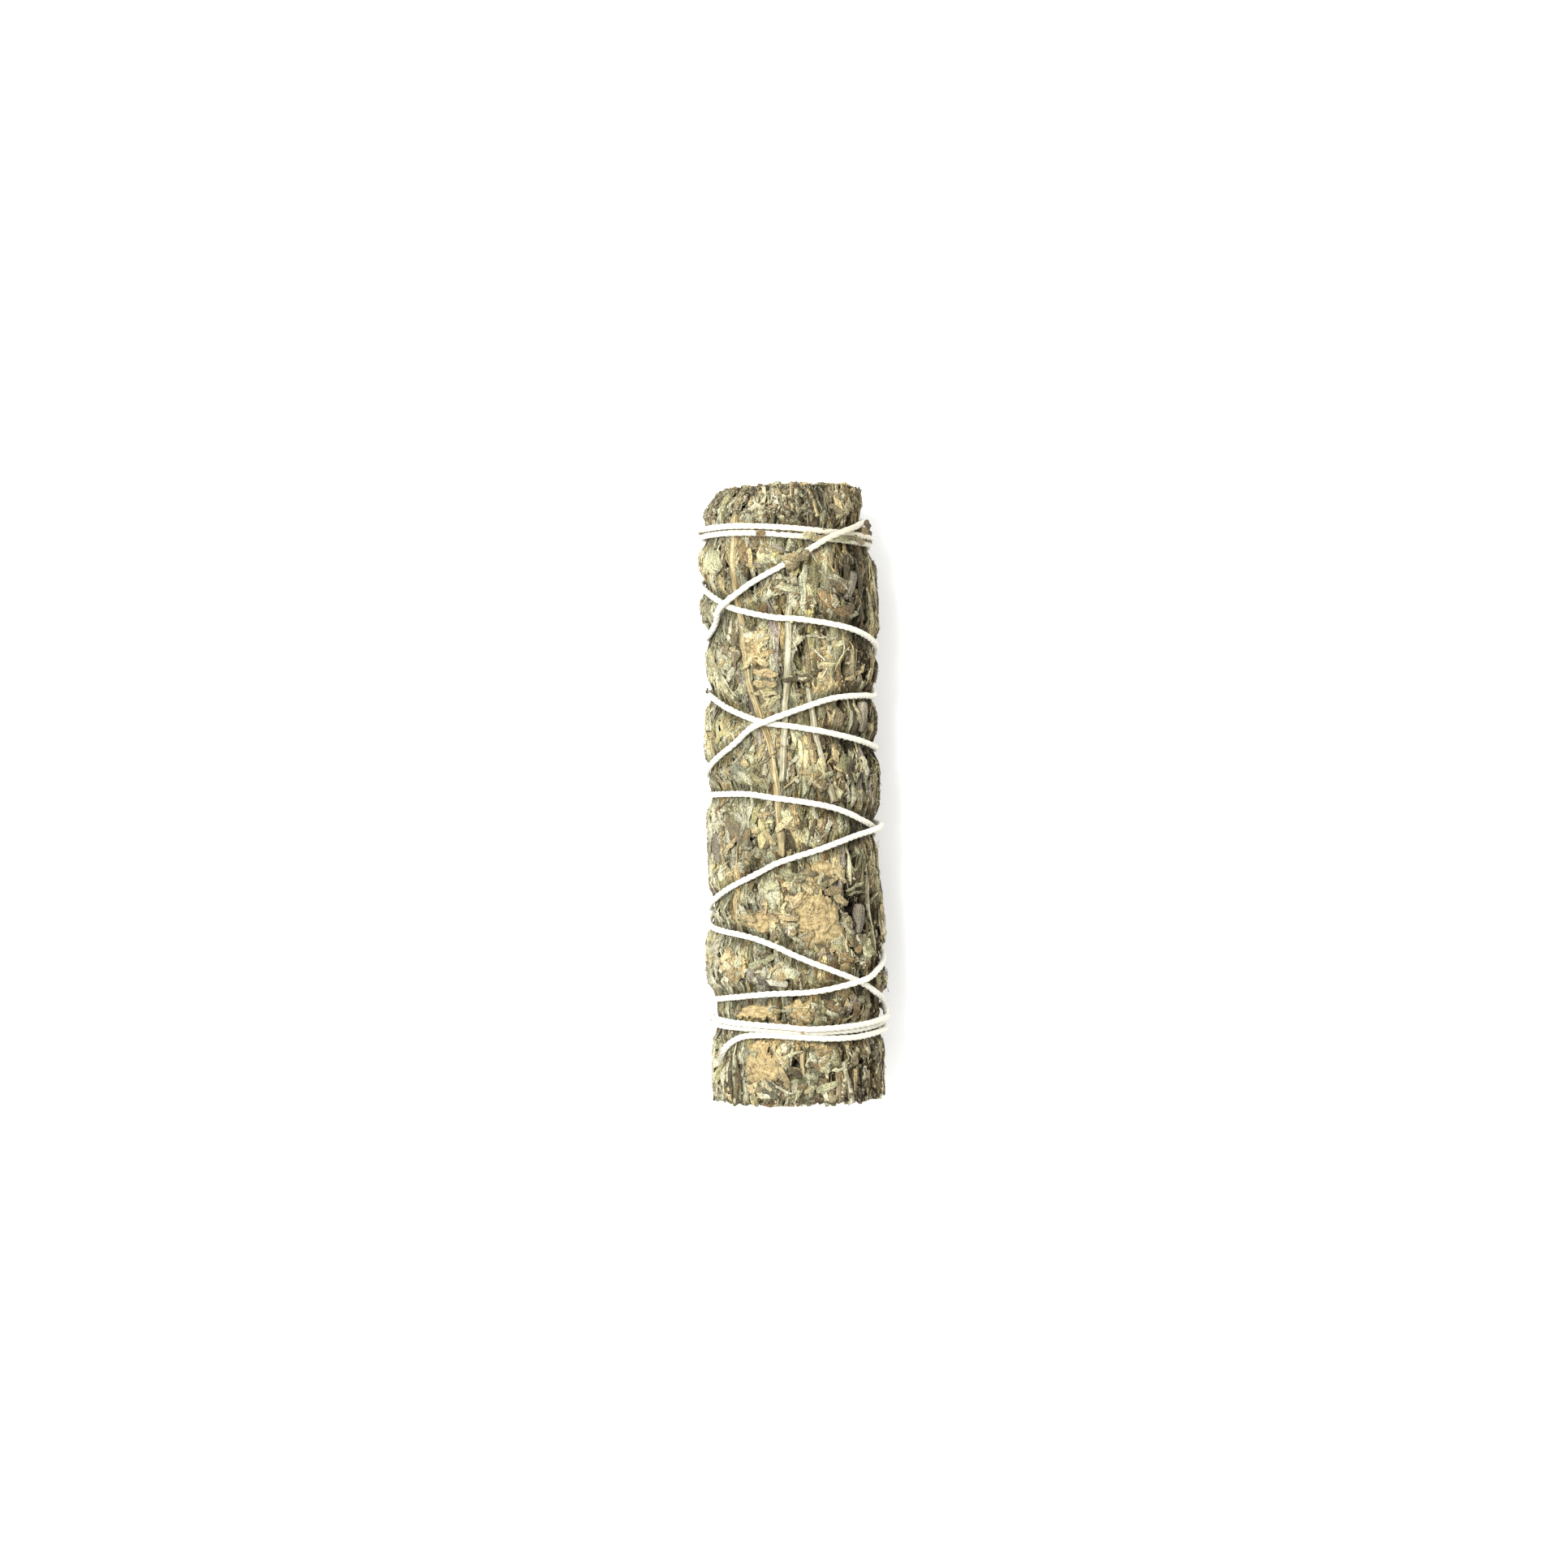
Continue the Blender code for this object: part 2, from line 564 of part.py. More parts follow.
def blade(name, degrees, y, length, width, turn, finish):
    """A papery bract or single leaf: a thin sheet with raised veins that follows the surface."""
    rows, columns = BLADE_ROWS, 2 * VEINS
    grid = blade_outline(rows, columns, length * MM, width * MM)
    bm = bmesh.new()
    faces = []
    for depth in (0.0, -BLADE_THICKNESS):
        layer = []
        for row, line in enumerate(grid):
            verts = []
            for column, (along, across) in enumerate(line):
                vein = BLADE_WAVE * (1 if column % 2 == 0 else -1) * (0.3 + 0.7 * row / rows)
                at = walk(math.radians(degrees), y * MM, along, across, math.radians(turn))
                verts.append(bm.verts.new(place(at[0], at[1], BLADE_TOP + vein + depth)))
            layer.append(verts)
        faces.append(layer)
    upper, lower = faces
    for r in range(rows):
        for c in range(columns):
            for layer in faces:
                a, b = layer[r][c], layer[r][c + 1]
                d, e = layer[r + 1][c], layer[r + 1][c + 1]
                bm.faces.new((a, b, e))
                bm.faces.new((a, e, d))
    rim = [(0, c) for c in range(columns)] + [(r, columns) for r in range(rows)]
    rim += [(rows, c) for c in range(columns, 0, -1)] + [(r, 0) for r in range(rows, 0, -1)]
    for (r0, c0), (r1, c1) in zip(rim, rim[1:] + rim[:1]):
        bm.faces.new((upper[r0][c0], upper[r1][c1], lower[r1][c1], lower[r0][c0]))
    return object_from(bm, name, finish)


def blade_pocket(name, degrees, y, length, width, turn):
    """What is cut out of the leaves for a blade, clear of it all round."""
    rows, columns = BLADE_ROWS, 2
    margin = 2 * CLEARANCE / MM + 0.15
    grid = blade_outline(rows, columns, (length + margin) * MM, (width + margin) * MM)
    low = BLADE_TOP - BLADE_WAVE - BLADE_THICKNESS - 1.8 * CLEARANCE
    rings = []
    for line in grid:
        ring = []
        for height, order in ((low, line), (CHANNEL_OPENING, line[::-1])):
            for along, across in order:
                at = walk(math.radians(degrees), y * MM, along, across, math.radians(turn))
                ring.append(place(at[0], at[1], height))
        rings.append(ring)
    return loft(name, rings)


def calyx_rings(degrees, y, turn, grow):
    """Rings of a ribbed flower cup that lies half sunk in the surface, and its larger pocket."""
    rings = []
    for t, swell in ((0.0, 0.45), (0.25, 0.85), (0.65, 1.0), (1.0, 0.72)):
        along = (t - 0.5) * (CALYX_LENGTH + 2 * grow)
        at = walk(math.radians(degrees), y * MM, along, 0.0, math.radians(turn))
        ring = []
        count = 2 * CALYX_RIBS
        for i in range(count):
            rib = 1.0 if i % 2 == 0 or grow else 0.8
            reach = (CALYX_RADIUS * rib + grow) * swell
            swing = 2 * math.pi * i / count
            side = walk(at[0], at[1], 0.0, reach * math.cos(swing), math.radians(turn))
            ring.append(place(side[0], side[1], reach * math.sin(swing) - CALYX_DEPTH))
        rings.append(ring)
    return rings


def calyx_pocket(name, degrees, y, turn):
    """What is cut out of the leaves for a calyx, open outwards."""
    rings = []
    room = CALYX_RADIUS + 1.3 * CLEARANCE
    for along in (-0.5, 0.0, 0.5):
        ring = []
        for side, height in ((-0.85, -room), (0.85, -room), (1.5, CHANNEL_OPENING),
                             (-1.5, CHANNEL_OPENING)):
            reach = along * (CALYX_LENGTH + 2.2 * CLEARANCE)
            at = walk(math.radians(degrees), y * MM, reach, side * room * 1.06, math.radians(turn))
            ring.append(place(at[0], at[1], height - CALYX_DEPTH))
        rings.append(ring)
    return loft(name, rings)


def inner_stems(draw):
    """(name, x, z, radius, lower end, upper end) of the straight stems inside the bundle."""
    stems = []
    for count, ring in INNER_RINGS:
        start = draw.uniform(0, 2 * math.pi)
        for i in range(count):
            angle = start + 2 * math.pi * i / count
            x, z = ring * math.cos(angle), AXIS_HEIGHT + ring * math.sin(angle)
            radius = draw.uniform(*INNER_STEM_RADIUS)
            ends = [HALF - draw.uniform(-0.2, 0.8) * MM for _ in range(2)]
            stems.append((f"inner_stem_{len(stems) + 1:02d}", x, z, radius, -ends[0], ends[1]))
    return stems


def rod(name, x, z, radius, low, high, sides, finish=None):
    """A straight round rod along Y."""
    bm = bmesh.new()
    bmesh.ops.create_cone(
        bm, cap_ends=True, segments=sides, radius1=radius, radius2=radius, depth=high - low
    )
    for vert in bm.verts:
        vert.co = Vector((x + vert.co.x, (low + high) / 2 + vert.co.z, z - vert.co.y))
    return object_from(bm, name, finish)


def build_leaf_mass(wrapping, draw, stems):
    """The leaves fused to their core, with room cut for the pieces that lie in them."""
    mass = core()
    pieces = []
    for column in range(LEAF_COLUMNS):
        for row in range(LEAF_ROWS):
            angle = 2 * math.pi * (column + draw.uniform(-0.25, 0.25)) / LEAF_COLUMNS
            share = (row + 0.5 * (column % 2) + draw.uniform(0.05, 0.45)) / LEAF_ROWS
            y = (2 * min(share, 0.97) - 1) * (HALF - 4.0 * MM)
            pieces.append(leaf(wrapping, draw, angle, y, f"leaf_{len(pieces):03d}"))
    for i, (degrees, y, length) in enumerate(RESTING_LEAVES):
        name = f"resting_leaf_{i}"
        pieces.append(leaf(wrapping, draw, math.radians(degrees), y * MM, name, length * MM))
    for end in (-1, 1):
        for i in range(END_TUFTS):
            pieces.append(end_tuft(draw, end, f"tuft_{end}_{i:02d}"))
    boolean(mass, "UNION", pieces)
    cutters = [
        stem_channel(f"channel_{name}", points, radius * MM)
        for name, points, radius in SURFACE_STEMS
    ]
    cutters += [blade_pocket(f"pocket_{item[0]}", *item[1:6]) for item in SURFACE_BLADES]
    cutters += [calyx_pocket(f"pocket_{item[0]}", *item[1:]) for item in CALYCES]
    for name, x, z, radius, _, _ in stems:
        room = radius + 1.15 * CLEARANCE
        cutters.append(rod(f"bore_{name}", x, z, room, -2 * HALF, 2 * HALF, INNER_STEM_SIDES))
    bm = bmesh.new()
    bmesh.ops.create_cube(bm, size=1.0)
    for vert in bm.verts:
        vert.co = Vector((vert.co.x * 4 * RADIUS, vert.co.y * 3 * HALF, (vert.co.z - 0.5) * RADIUS))
    cutters.append(object_from(bm, "floor_cut"))
    boolean(mass, "DIFFERENCE", cutters)
    keep_one_body(mass)
    return mass


def main():
    """Builds the bundle: its leaves, the string round them, and what lies among them."""
    for obj in list(bpy.data.objects):
        bpy.data.objects.remove(obj)
    draw = random.Random(SEED)
    wrapping = Wrapping()
    stems = inner_stems(draw)
    build_leaf_mass(wrapping, draw, stems)
    tube("string", wrapping.curve_points(), STRING_RADIUS, "string")
    for name, points, radius in SURFACE_STEMS:
        line = [place(a, y, -STEM_DEPTH) for a, y in stem_centre(points)]
        tube(name, line, radius * MM, "stem")
    for name, x, z, radius, low, high in stems:
        rod(name, x, z, radius, low, high, INNER_STEM_SIDES, "stem")
    for item in SURFACE_BLADES:
        blade(*item)
    for name, degrees, y, turn in CALYCES:
        loft(name, calyx_rings(degrees, y, turn, 0.0), "calyx")


main()
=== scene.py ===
"""A short bunch of dried lavender bound with cotton string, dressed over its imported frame.

Lengths are in metres, apart from those in the tables and ranges that are said to be in millimetres. The
bunch lies along Y on the plane z = 0. A place on it is an angle about its axis, counted from +X up towards
+Z, with a distance along Y and a height above the mean leaf surface.
"""

import logging
import math
from collections.abc import Callable, Iterable
from dataclasses import dataclass, field
from enum import Enum

import bmesh
import bpy
import numpy as np
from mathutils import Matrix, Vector

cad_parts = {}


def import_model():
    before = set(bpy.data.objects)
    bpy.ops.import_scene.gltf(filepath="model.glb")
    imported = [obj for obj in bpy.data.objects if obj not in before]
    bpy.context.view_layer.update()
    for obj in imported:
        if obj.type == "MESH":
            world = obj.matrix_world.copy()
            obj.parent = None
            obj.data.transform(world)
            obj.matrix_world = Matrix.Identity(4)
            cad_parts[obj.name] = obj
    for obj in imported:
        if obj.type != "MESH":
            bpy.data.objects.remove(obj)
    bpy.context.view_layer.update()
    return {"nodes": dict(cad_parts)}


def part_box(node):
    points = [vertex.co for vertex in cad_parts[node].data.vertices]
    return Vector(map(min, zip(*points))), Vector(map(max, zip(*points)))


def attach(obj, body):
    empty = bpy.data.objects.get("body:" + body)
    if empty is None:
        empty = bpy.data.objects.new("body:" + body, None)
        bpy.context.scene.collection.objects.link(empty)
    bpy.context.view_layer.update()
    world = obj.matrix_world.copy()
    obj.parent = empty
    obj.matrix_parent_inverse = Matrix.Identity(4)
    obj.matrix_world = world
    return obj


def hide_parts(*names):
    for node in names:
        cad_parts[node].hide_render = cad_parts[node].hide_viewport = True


LOG = logging.getLogger("lavender")

MM = 0.001
SEED = 7
TAU = 2 * math.pi
Value = float | tuple | bpy.types.NodeSocket

# The string's route: degrees about the axis, counted on through every turn, and millimetres along it
STRING_ROUTE = (
    (-48, -43.0), (-49, -41.0), (-46, -39.3), (-36, -38.4), (-18, -37.9),
    (0, -37.7), (24, -38.0), (53, -38.4), (82, -38.5), (100, -38.1), (130, -37.6), (155, -37.4),
    (180, -37.2), (225, -36.9), (270, -36.5), (315, -35.9), (345, -35.2),
    (360, -34.8), (386, -32.8), (408, -30.5), (445, -26.7), (466, -24.3), (487, -22.7), (532, -21.0),
    (585, -17.3), (630, -12.6), (675, -8.9), (710, -7.0), (734, -5.8), (756, -4.5), (778, -2.7),
    (795, -1.7), (822, -0.6), (845, 0.2), (880, 0.2), (900, 0.1),
    (945, 1.2), (990, 3.4), (1035, 5.6), (1065, 6.9), (1095, 7.5), (1123, 8.7), (1149, 9.9),
    (1171, 10.9), (1188, 11.6), (1210, 13.4), (1249, 16.5),
    (1305, 17.5), (1350, 18.6), (1395, 20.6), (1420, 21.9), (1440, 23.2), (1460, 24.6),
    (1478, 25.9), (1497, 27.0), (1522, 28.0), (1544, 28.6), (1572, 30.4), (1608, 33.9),
    (1640, 35.6), (1665, 36.6), (1710, 38.2), (1755, 39.5),
    (1800, 40.4), (1830, 40.6), (1860, 41.0), (1885, 41.5), (1906, 42.0), (1931, 42.3), (1980, 42.4),
    (2025, 42.2), (2070, 42.0), (2115, 41.8),
    (2160, 41.5), (2190, 41.7), (2221, 42.1), (2239, 42.5), (2252, 42.8), (2266, 43.1), (2291, 43.4),
    (2340, 43.4), (2385, 43.6), (2430, 43.9), (2475, 44.3),
    (2520, 44.4), (2542, 43.7), (2564, 42.7), (2581, 41.3), (2598, 38.9), (2613, 36.8), (2637, 33.8),
    (2655, 30.6), (2683, 26.5), (2710, 25.9), (2745, 25.2), (2790, 23.3), (2835, 20.2), (2860, 17.8),
    (2883, 15.8), (2909, 15.7), (2940, 15.3), (2964, 13.7), (2987, 11.6), (3002, 9.9), (3021, 7.1),
    (3049, 4.3), (3080, 2.9), (3105, 1.4), (3150, -1.4), (3195, -3.7), (3230, -5.0),
    (3254, -5.7), (3289, -7.3), (3316, -9.2), (3340, -10.9), (3357, -12.8), (3376, -14.7),
    (3400, -16.9), (3420, -17.9), (3465, -19.6), (3510, -22.0), (3555, -24.4),
    (3600, -26.7), (3625, -28.8), (3652, -30.5), (3678, -31.8), (3710, -32.1), (3739, -32.7),
    (3780, -33.5), (3825, -34.0), (3870, -34.3), (3915, -34.7), (3945, -35.9),
    (3960, -36.7), (3984, -37.1), (4013, -37.6), (4042, -37.8), (4060, -37.3), (4090, -36.75),
    (4140, -36.1), (4162, -37.1), (4185, -37.9), (4230, -38.2), (4275, -38.5),
    (4320, -38.8), (4344, -39.05), (4367, -39.5), (4393, -39.4), (4411, -39.0), (4429, -38.6),
    (4445, -38.8), (4458, -39.6), (4470, -41.0), (4476, -42.4),
)

# The leaf surface at the left and right sides: millimetres along, radius left, radius right
SIDES = (
    (-50.0, 13.7, 13.1), (-43.0, 13.9, 13.6), (-30.0, 14.4, 14.3), (-16.0, 14.0, 13.5), (0.0, 13.9, 13.5),
    (17.0, 13.8, 13.8), (27.0, 13.4, 14.3), (37.0, 14.4, 13.8), (44.0, 14.0, 12.9), (47.0, 13.0, 12.4),
    (50.0, 10.6, 11.8),
)

# Leaves that stand out: degrees, millimetres along, length, width, heading from +Y, tone
PLACED_LEAVES = (
    (88, 32.6, 6.4, 1.37, -177, "grey"), (79, 33.1, 8, 1.12, -177, "grey"),
    (54, 34, 4.4, 1.56, 118, "grey"), (56, 30, 8.4, 1.73, 128, "orange_brown"),
    (56, 29.9, 4.6, 1.02, 142, "tan"), (96, 30.1, 2.4, 0.97, 92, "straw"),
    (116, 31.1, 2.6, 1.46, 106, "tan"), (50, 46.1, 4.3, 1.5, 168, "tan"), (43, 47, 4.2, 1.69, 173, "taupe"),
    (68, 47.4, 4.5, 0.52, 171, "dark"), (66, 47.5, 4.2, 0.43, 171, "sage"),
    (64, 47.7, 3.8, 0.54, 172, "dark"), (59, 47, 4.2, 0.62, 175, "taupe"),
    (23, 29.1, 7.7, 0.88, 169, "straw"), (12, 34.2, 8, 1.01, 173, "straw"),
    (36, 34.9, 6.7, 0.98, 176, "dark"), (72, 25, 3.3, 0.62, 98, "grey"), (61, 25.4, 2.7, 0.57, 59, "grey"),
    (64, 23.1, 2.2, 0.69, 162, "grey"), (111, 24.9, 2.5, 1.93, 123, "tan"),
    (111, 23.8, 3.2, 0.75, -168, "straw"), (121, 26.9, 2.2, 1.55, 175, "olive"),
    (139, 33.9, 3.5, 1.27, 177, "tan"), (103, 27.4, 1.1, 0.91, -167, "yellow"),
    (165, 39.7, 3.6, 3.16, 172, "tan"), (146, 38.5, 5.3, 4.02, 140, "sage"),
    (120, 38.4, 6.7, 1.53, 171, "brown"), (114, 37.7, 3.6, 0.97, 176, "tan"),
    (105, 37.7, 3.5, 1.37, 178, "sage_pale"), (90, 38.7, 1.9, 1.33, 136, "sage_pale"),
    (55, 34.7, 6.2, 0.81, 177, "brown"), (46, 33.8, 8.9, 1.04, 176, "dark"),
    (77, 30.5, 2.4, 1.36, -173, "brown"), (97, 33.2, 2.4, 1.78, 140, "tan"),
    (145, 18.9, 7.8, 1.01, 144, "sage"), (134, 16.7, 7.5, 0.74, 141, "sage_pale"),
    (159, 21.1, 6.1, 1.83, -170, "olive"), (138, 21.8, 4.7, 2.73, 161, "sage_pale"),
    (131, 21.9, 4.3, 1.76, -170, "taupe"), (107, 19.5, 4.2, 1.25, 99, "tan"),
    (107, 17.8, 3.7, 1.15, 95, "tan"), (107, 16.3, 3.7, 0.89, 93, "straw"),
    (107, 14.3, 2.7, 0.96, 32, "straw"), (101, 14.7, 2.8, 0.85, 36, "straw"),
    (82, 19.2, 6.1, 1.02, 76, "dark"), (85, 18.6, 2.9, 0.58, 100, "grey"), (56, 17.2, 2, 1.23, -167, "tan"),
    (42, 19.4, 4.7, 0.85, 60, "tan"), (143, 10.1, 6.4, 1.2, 62, "olive"),
    (136, 9.7, 5.2, 0.67, 63, "sage_pale"), (141, 3.7, 5.6, 0.83, 164, "sage_pale"),
    (148, 2.7, 3.8, 0.83, 153, "sage"), (129, 4.4, 4.8, 3.32, 153, "blue_grey"),
    (118, 4.1, 5.5, 1.51, 176, "olive"), (93, 3.2, 2.5, 0.62, 9, "white"), (87, 5.2, 3, 0.62, 59, "white"),
    (72, 2.4, 4.1, 3.02, 165, "tan_brown"), (76, 2.3, 4.2, 0.54, 137, "straw"),
    (72, 1.8, 0.9, 0.89, 98, "rust"), (49, 3.6, 3.7, 2.77, 120, "dark"),
    (38, 12.9, 4.6, 0.63, 164, "straw"), (59, 13, 4.6, 0.41, -162, "straw"),
    (59, 6.5, 3.1, 1.08, 172, "tan"), (34, 4.3, 3.1, 1.28, 160, "grey"),
    (77, 10.2, 4.7, 1.11, 108, "brown"), (134, -4.8, 9.1, 3.08, 140, "taupe"),
    (151, -3.7, 4.9, 1.65, 155, "brown"), (135, -3.2, 3.4, 1.56, 166, "olive"),
    (118, -4, 4.9, 1.1, -160, "yellow"), (165, -4.3, 6.2, 1.89, 178, "grey"),
    (157, -6.6, 5.3, 1.36, 177, "grey"), (151, -6.4, 3.1, 0.99, -174, "white"),
    (165, -10.5, 4.6, 1.77, 163, "grey"), (138, -8.4, 3.2, 0.85, 48, "tan"),
    (65, -4.7, 3.7, 1.06, -152, "grey"), (78, -7.9, 6.2, 1.16, -124, "grey"),
    (56, -5.5, 1.5, 0.91, 166, "grey"), (52, -5.9, 1.6, 0.78, 167, "grey"),
    (47, -5.6, 0.8, 0.65, 115, "maroon"), (45, -15.3, 3.7, 0.74, 70, "sage"),
    (43, -16.4, 3.6, 0.54, 86, "sage"), (93, -4.7, 2.2, 1.33, 67, "sage"), (85, -5, 1.9, 1.11, 56, "dark"),
    (93, -12.6, 5, 2.43, 102, "sage"), (112, -13.7, 3.5, 2.72, 110, "sage"),
    (79, -15.7, 2.3, 0.99, 134, "white"), (75, -17.5, 1.3, 0.76, 122, "white"),
    (95, -15, 1.9, 1.33, 136, "tan"), (96, -19.5, 4, 1.02, 173, "straw"), (118, -11.2, 4, 1.11, 91, "sage"),
    (123, -20.1, 6.4, 0.87, 146, "white"), (111, -23.5, 3.4, 0.67, 102, "straw"),
    (102, -23.1, 2, 0.72, 37, "white"), (110, -17.6, 1.1, 0.7, 143, "white"),
    (104, -17.5, 1.4, 0.67, 101, "grey"), (161, -15.6, 2.2, 1.09, 117, "maroon"),
    (153, -19.2, 3.2, 1.05, 146, "grey"), (153, -24.9, 5.8, 1.45, 179, "grey"),
    (162, -25.1, 5.3, 1.64, -174, "straw"), (126, -25.3, 3.1, 0.65, 173, "straw"),
    (127, -20.6, 2.7, 0.61, 173, "straw"), (136, -21, 1.5, 1.23, 156, "sage"),
    (114, -26.6, 4.5, 1.19, 65, "sage"), (115, -29.7, 5.1, 2.56, 122, "purple"),
    (98, -28.8, 3.3, 2.5, -171, "sage"), (86, -27.8, 2, 1.15, 148, "orange"),
    (68, -30.1, 2.6, 1.81, 111, "tan_brown"), (56, -27.4, 2.2, 1.73, 79, "brown"),
    (129, -27.7, 3.2, 1.53, 179, "orange"), (140, -28.7, 4.5, 2.04, -169, "tan_brown"),
    (162, -30.3, 5.1, 3.07, 125, "white"), (39, -25.7, 5.7, 1.75, 161, "sage"),
    (42, -28.1, 2.8, 0.6, 125, "white"), (71, -25.9, 2.4, 1.36, -61, "purple"),
    (88, -23.9, 3.5, 1.99, -128, "tan_brown"), (50, -23.5, 4.6, 1.7, 164, "dark"),
    (10, -21.4, 5.3, 1.89, 177, "grey"), (81, -33.6, 2.1, 1.16, 156, "grey"),
    (91, -33.1, 2.4, 0.88, 91, "rust"), (73, -37.3, 1.9, 0.54, 55, "tan"),
    (67, -34.6, 3.9, 1.64, 134, "brown"), (58, -35.5, 1.8, 1.19, 62, "taupe"),
    (40, -33, 1.2, 1, 124, "sage"), (38, -34.7, 1.2, 0.81, 119, "sage"), (32, -33.9, 1.1, 1, 172, "sage"),
    (170, -42.6, 9.1, 1.64, -180, "grey"), (160, -42.9, 8.8, 1.52, -178, "olive"),
    (152, -45.4, 5.7, 1.13, -179, "grey"), (143, -45.5, 6.9, 0.96, 179, "dark"),
    (137, -45.9, 6.6, 0.78, -179, "brown"), (133, -46.6, 4.9, 0.6, -180, "dark"),
    (128, -47.3, 2.7, 0.61, -178, "sage_pale"), (128, -40.3, 1.6, 1.56, 136, "purple"),
    (121, -39.9, 2.9, 2.02, 149, "purple"), (103, -47.1, 4.3, 0.58, 121, "grey"),
    (95, -41.9, 3.3, 0.66, 70, "sage"), (83, -45.5, 2, 1.11, 106, "pale_green"),
    (95, -45, 2.8, 1.11, 110, "dark"), (63, -44.6, 2.7, 0.62, 87, "sage_pale"),
    (59, -46.1, 3.1, 0.72, -174, "sage_pale"), (71, -48.6, 3.2, 1.45, 160, "straw"),
    (40, -45.5, 2.2, 0.82, -178, "grey"), (55, -41.5, 3.4, 0.53, 158, "grey"),
    (11, -44, 9.7, 0.88, 177, "straw"), (22, -43.5, 4.7, 1.69, 170, "dark"),
    (49, -42.2, 3.5, 1.17, 177, "taupe"), (113, -47.8, 3.6, 2.51, 113, "slate"),
    (25, -40.9, 2.6, 1.88, 121, "grey"), (51, -34.4, 3.5, 1.38, 153, "brown"),
    (88, -47.6, 2.7, 1.77, 96, "brown"), (77, -43.5, 3.2, 2.01, 112, "taupe"),
)

# Gaps between leaves, pressed deep so that the leaves in them are painted dark as shade: degrees, millimetres
# along, length, width, heading from +Y
HOLLOWS = (
    (94, 29.4, 1.2, 0.66, 86), (31, 28.9, 1.9, 0.97, 156), (74, 24.1, 2, 0.58, 95),
    (89, 39.5, 2.3, 0.49, 75), (75, 37, 1.2, 0.55, 159), (57, 45.8, 1.4, 0.52, -167),
    (134, 37.2, 1.3, 0.55, 175), (124, 41.1, 0.9, 0.64, 173), (83, 41.1, 1.6, 0.53, 125),
    (45, 30.7, 1.9, 0.8, 162), (68, 29.4, 1, 0.27, 98), (26, 5.6, 1.8, 2.4, 149), (49, 5.4, 3, 0.5, 82),
    (39, 1.7, 1.3, 0.71, 59), (88, 6, 2.9, 0.44, 69), (31, 20.2, 2.3, 1.51, 149),
    (108, -5.3, 0.9, 0.28, 174), (85, 17.7, 2, 0.44, 98), (121, 6.7, 2.7, 0.57, 171),
    (58, -0.6, 5.2, 0.27, 97), (33, 13.7, 2.8, 1.02, 166), (123, -5.9, 2.2, 0.61, 145),
    (115, -9, 1.8, 0.44, 178), (94, -7.1, 2.3, 0.58, 166), (134, -8.4, 1.4, 0.67, 169),
    (51, -17.7, 3.0, 1.5, 173), (37, -17.9, 3.2, 1.3, 165), (21, -14.5, 2.3, 1.36, -161),
    (46, -19.4, 3.6, 1.2, 174), (39, -20.4, 3.8, 1.1, 168), (60, -19.6, 1, 1.1, 152),
    (88, -17, 1.7, 0.53, 88), (68, -17.4, 2.5, 0.58, 101),
    (88, -12, 2.1, 0.49, 108), (118, -18.2, 3.5, 0.58, 97), (94, -23.1, 2.9, 0.31, 89),
    (83, -23.1, 2.3, 0.31, 100), (118, -31, 2.8, 0.27, 94), (10, -23.5, 2.4, 1.39, -180),
    (50, -25.1, 3.5, 0.97, 163), (34, -25.2, 3.4, 0.86, 169), (121, -14.9, 1.4, 0.55, 72),
    (140, -17.7, 2.1, 0.41, 94), (85, -5.2, 0.8, 0.49, 125), (102, -34.3, 2.8, 0.59, 163),
    (102, -45.5, 3.2, 0.63, 120), (49, -45.3, 1.9, 1.11, 169), (34, -45.4, 1.8, 1.45, 153),
    (93, -43.2, 0.8, 0.66, 58), (58, -42.1, 1.8, 0.42, 173), (111, -42, 0.7, 0.6, 128),
    (115, -42.5, 0.5, 0.29, 157), (65, -45.6, 1.1, 1.01, 116), (139, -45.7, 6.2, 0.34, -179),
    (17, -39.6, 1.9, 1.14, 162), (123, -27.8, 0.7, 0.49, 131),
)

# Groups of leaves that are darker or lighter than the rest: degrees, millimetres along, reach, brightness
LEAF_GROUPS = (
    (132, -5.2, 6.5, 0.5), (104, 30.0, 5.0, 0.74), (125, 17.7, 5.0, 1.18), (148, 7.0, 5.0, 1.16),
    (61, -5.2, 4.5, 1.3), (61, -32.0, 3.5, 1.25), (80, -32.0, 3.0, 1.14), (42, -18.8, 4.0, 0.7),
    (32, 30.0, 7.0, 0.85), (112, -47.0, 3.0, 0.8),
)

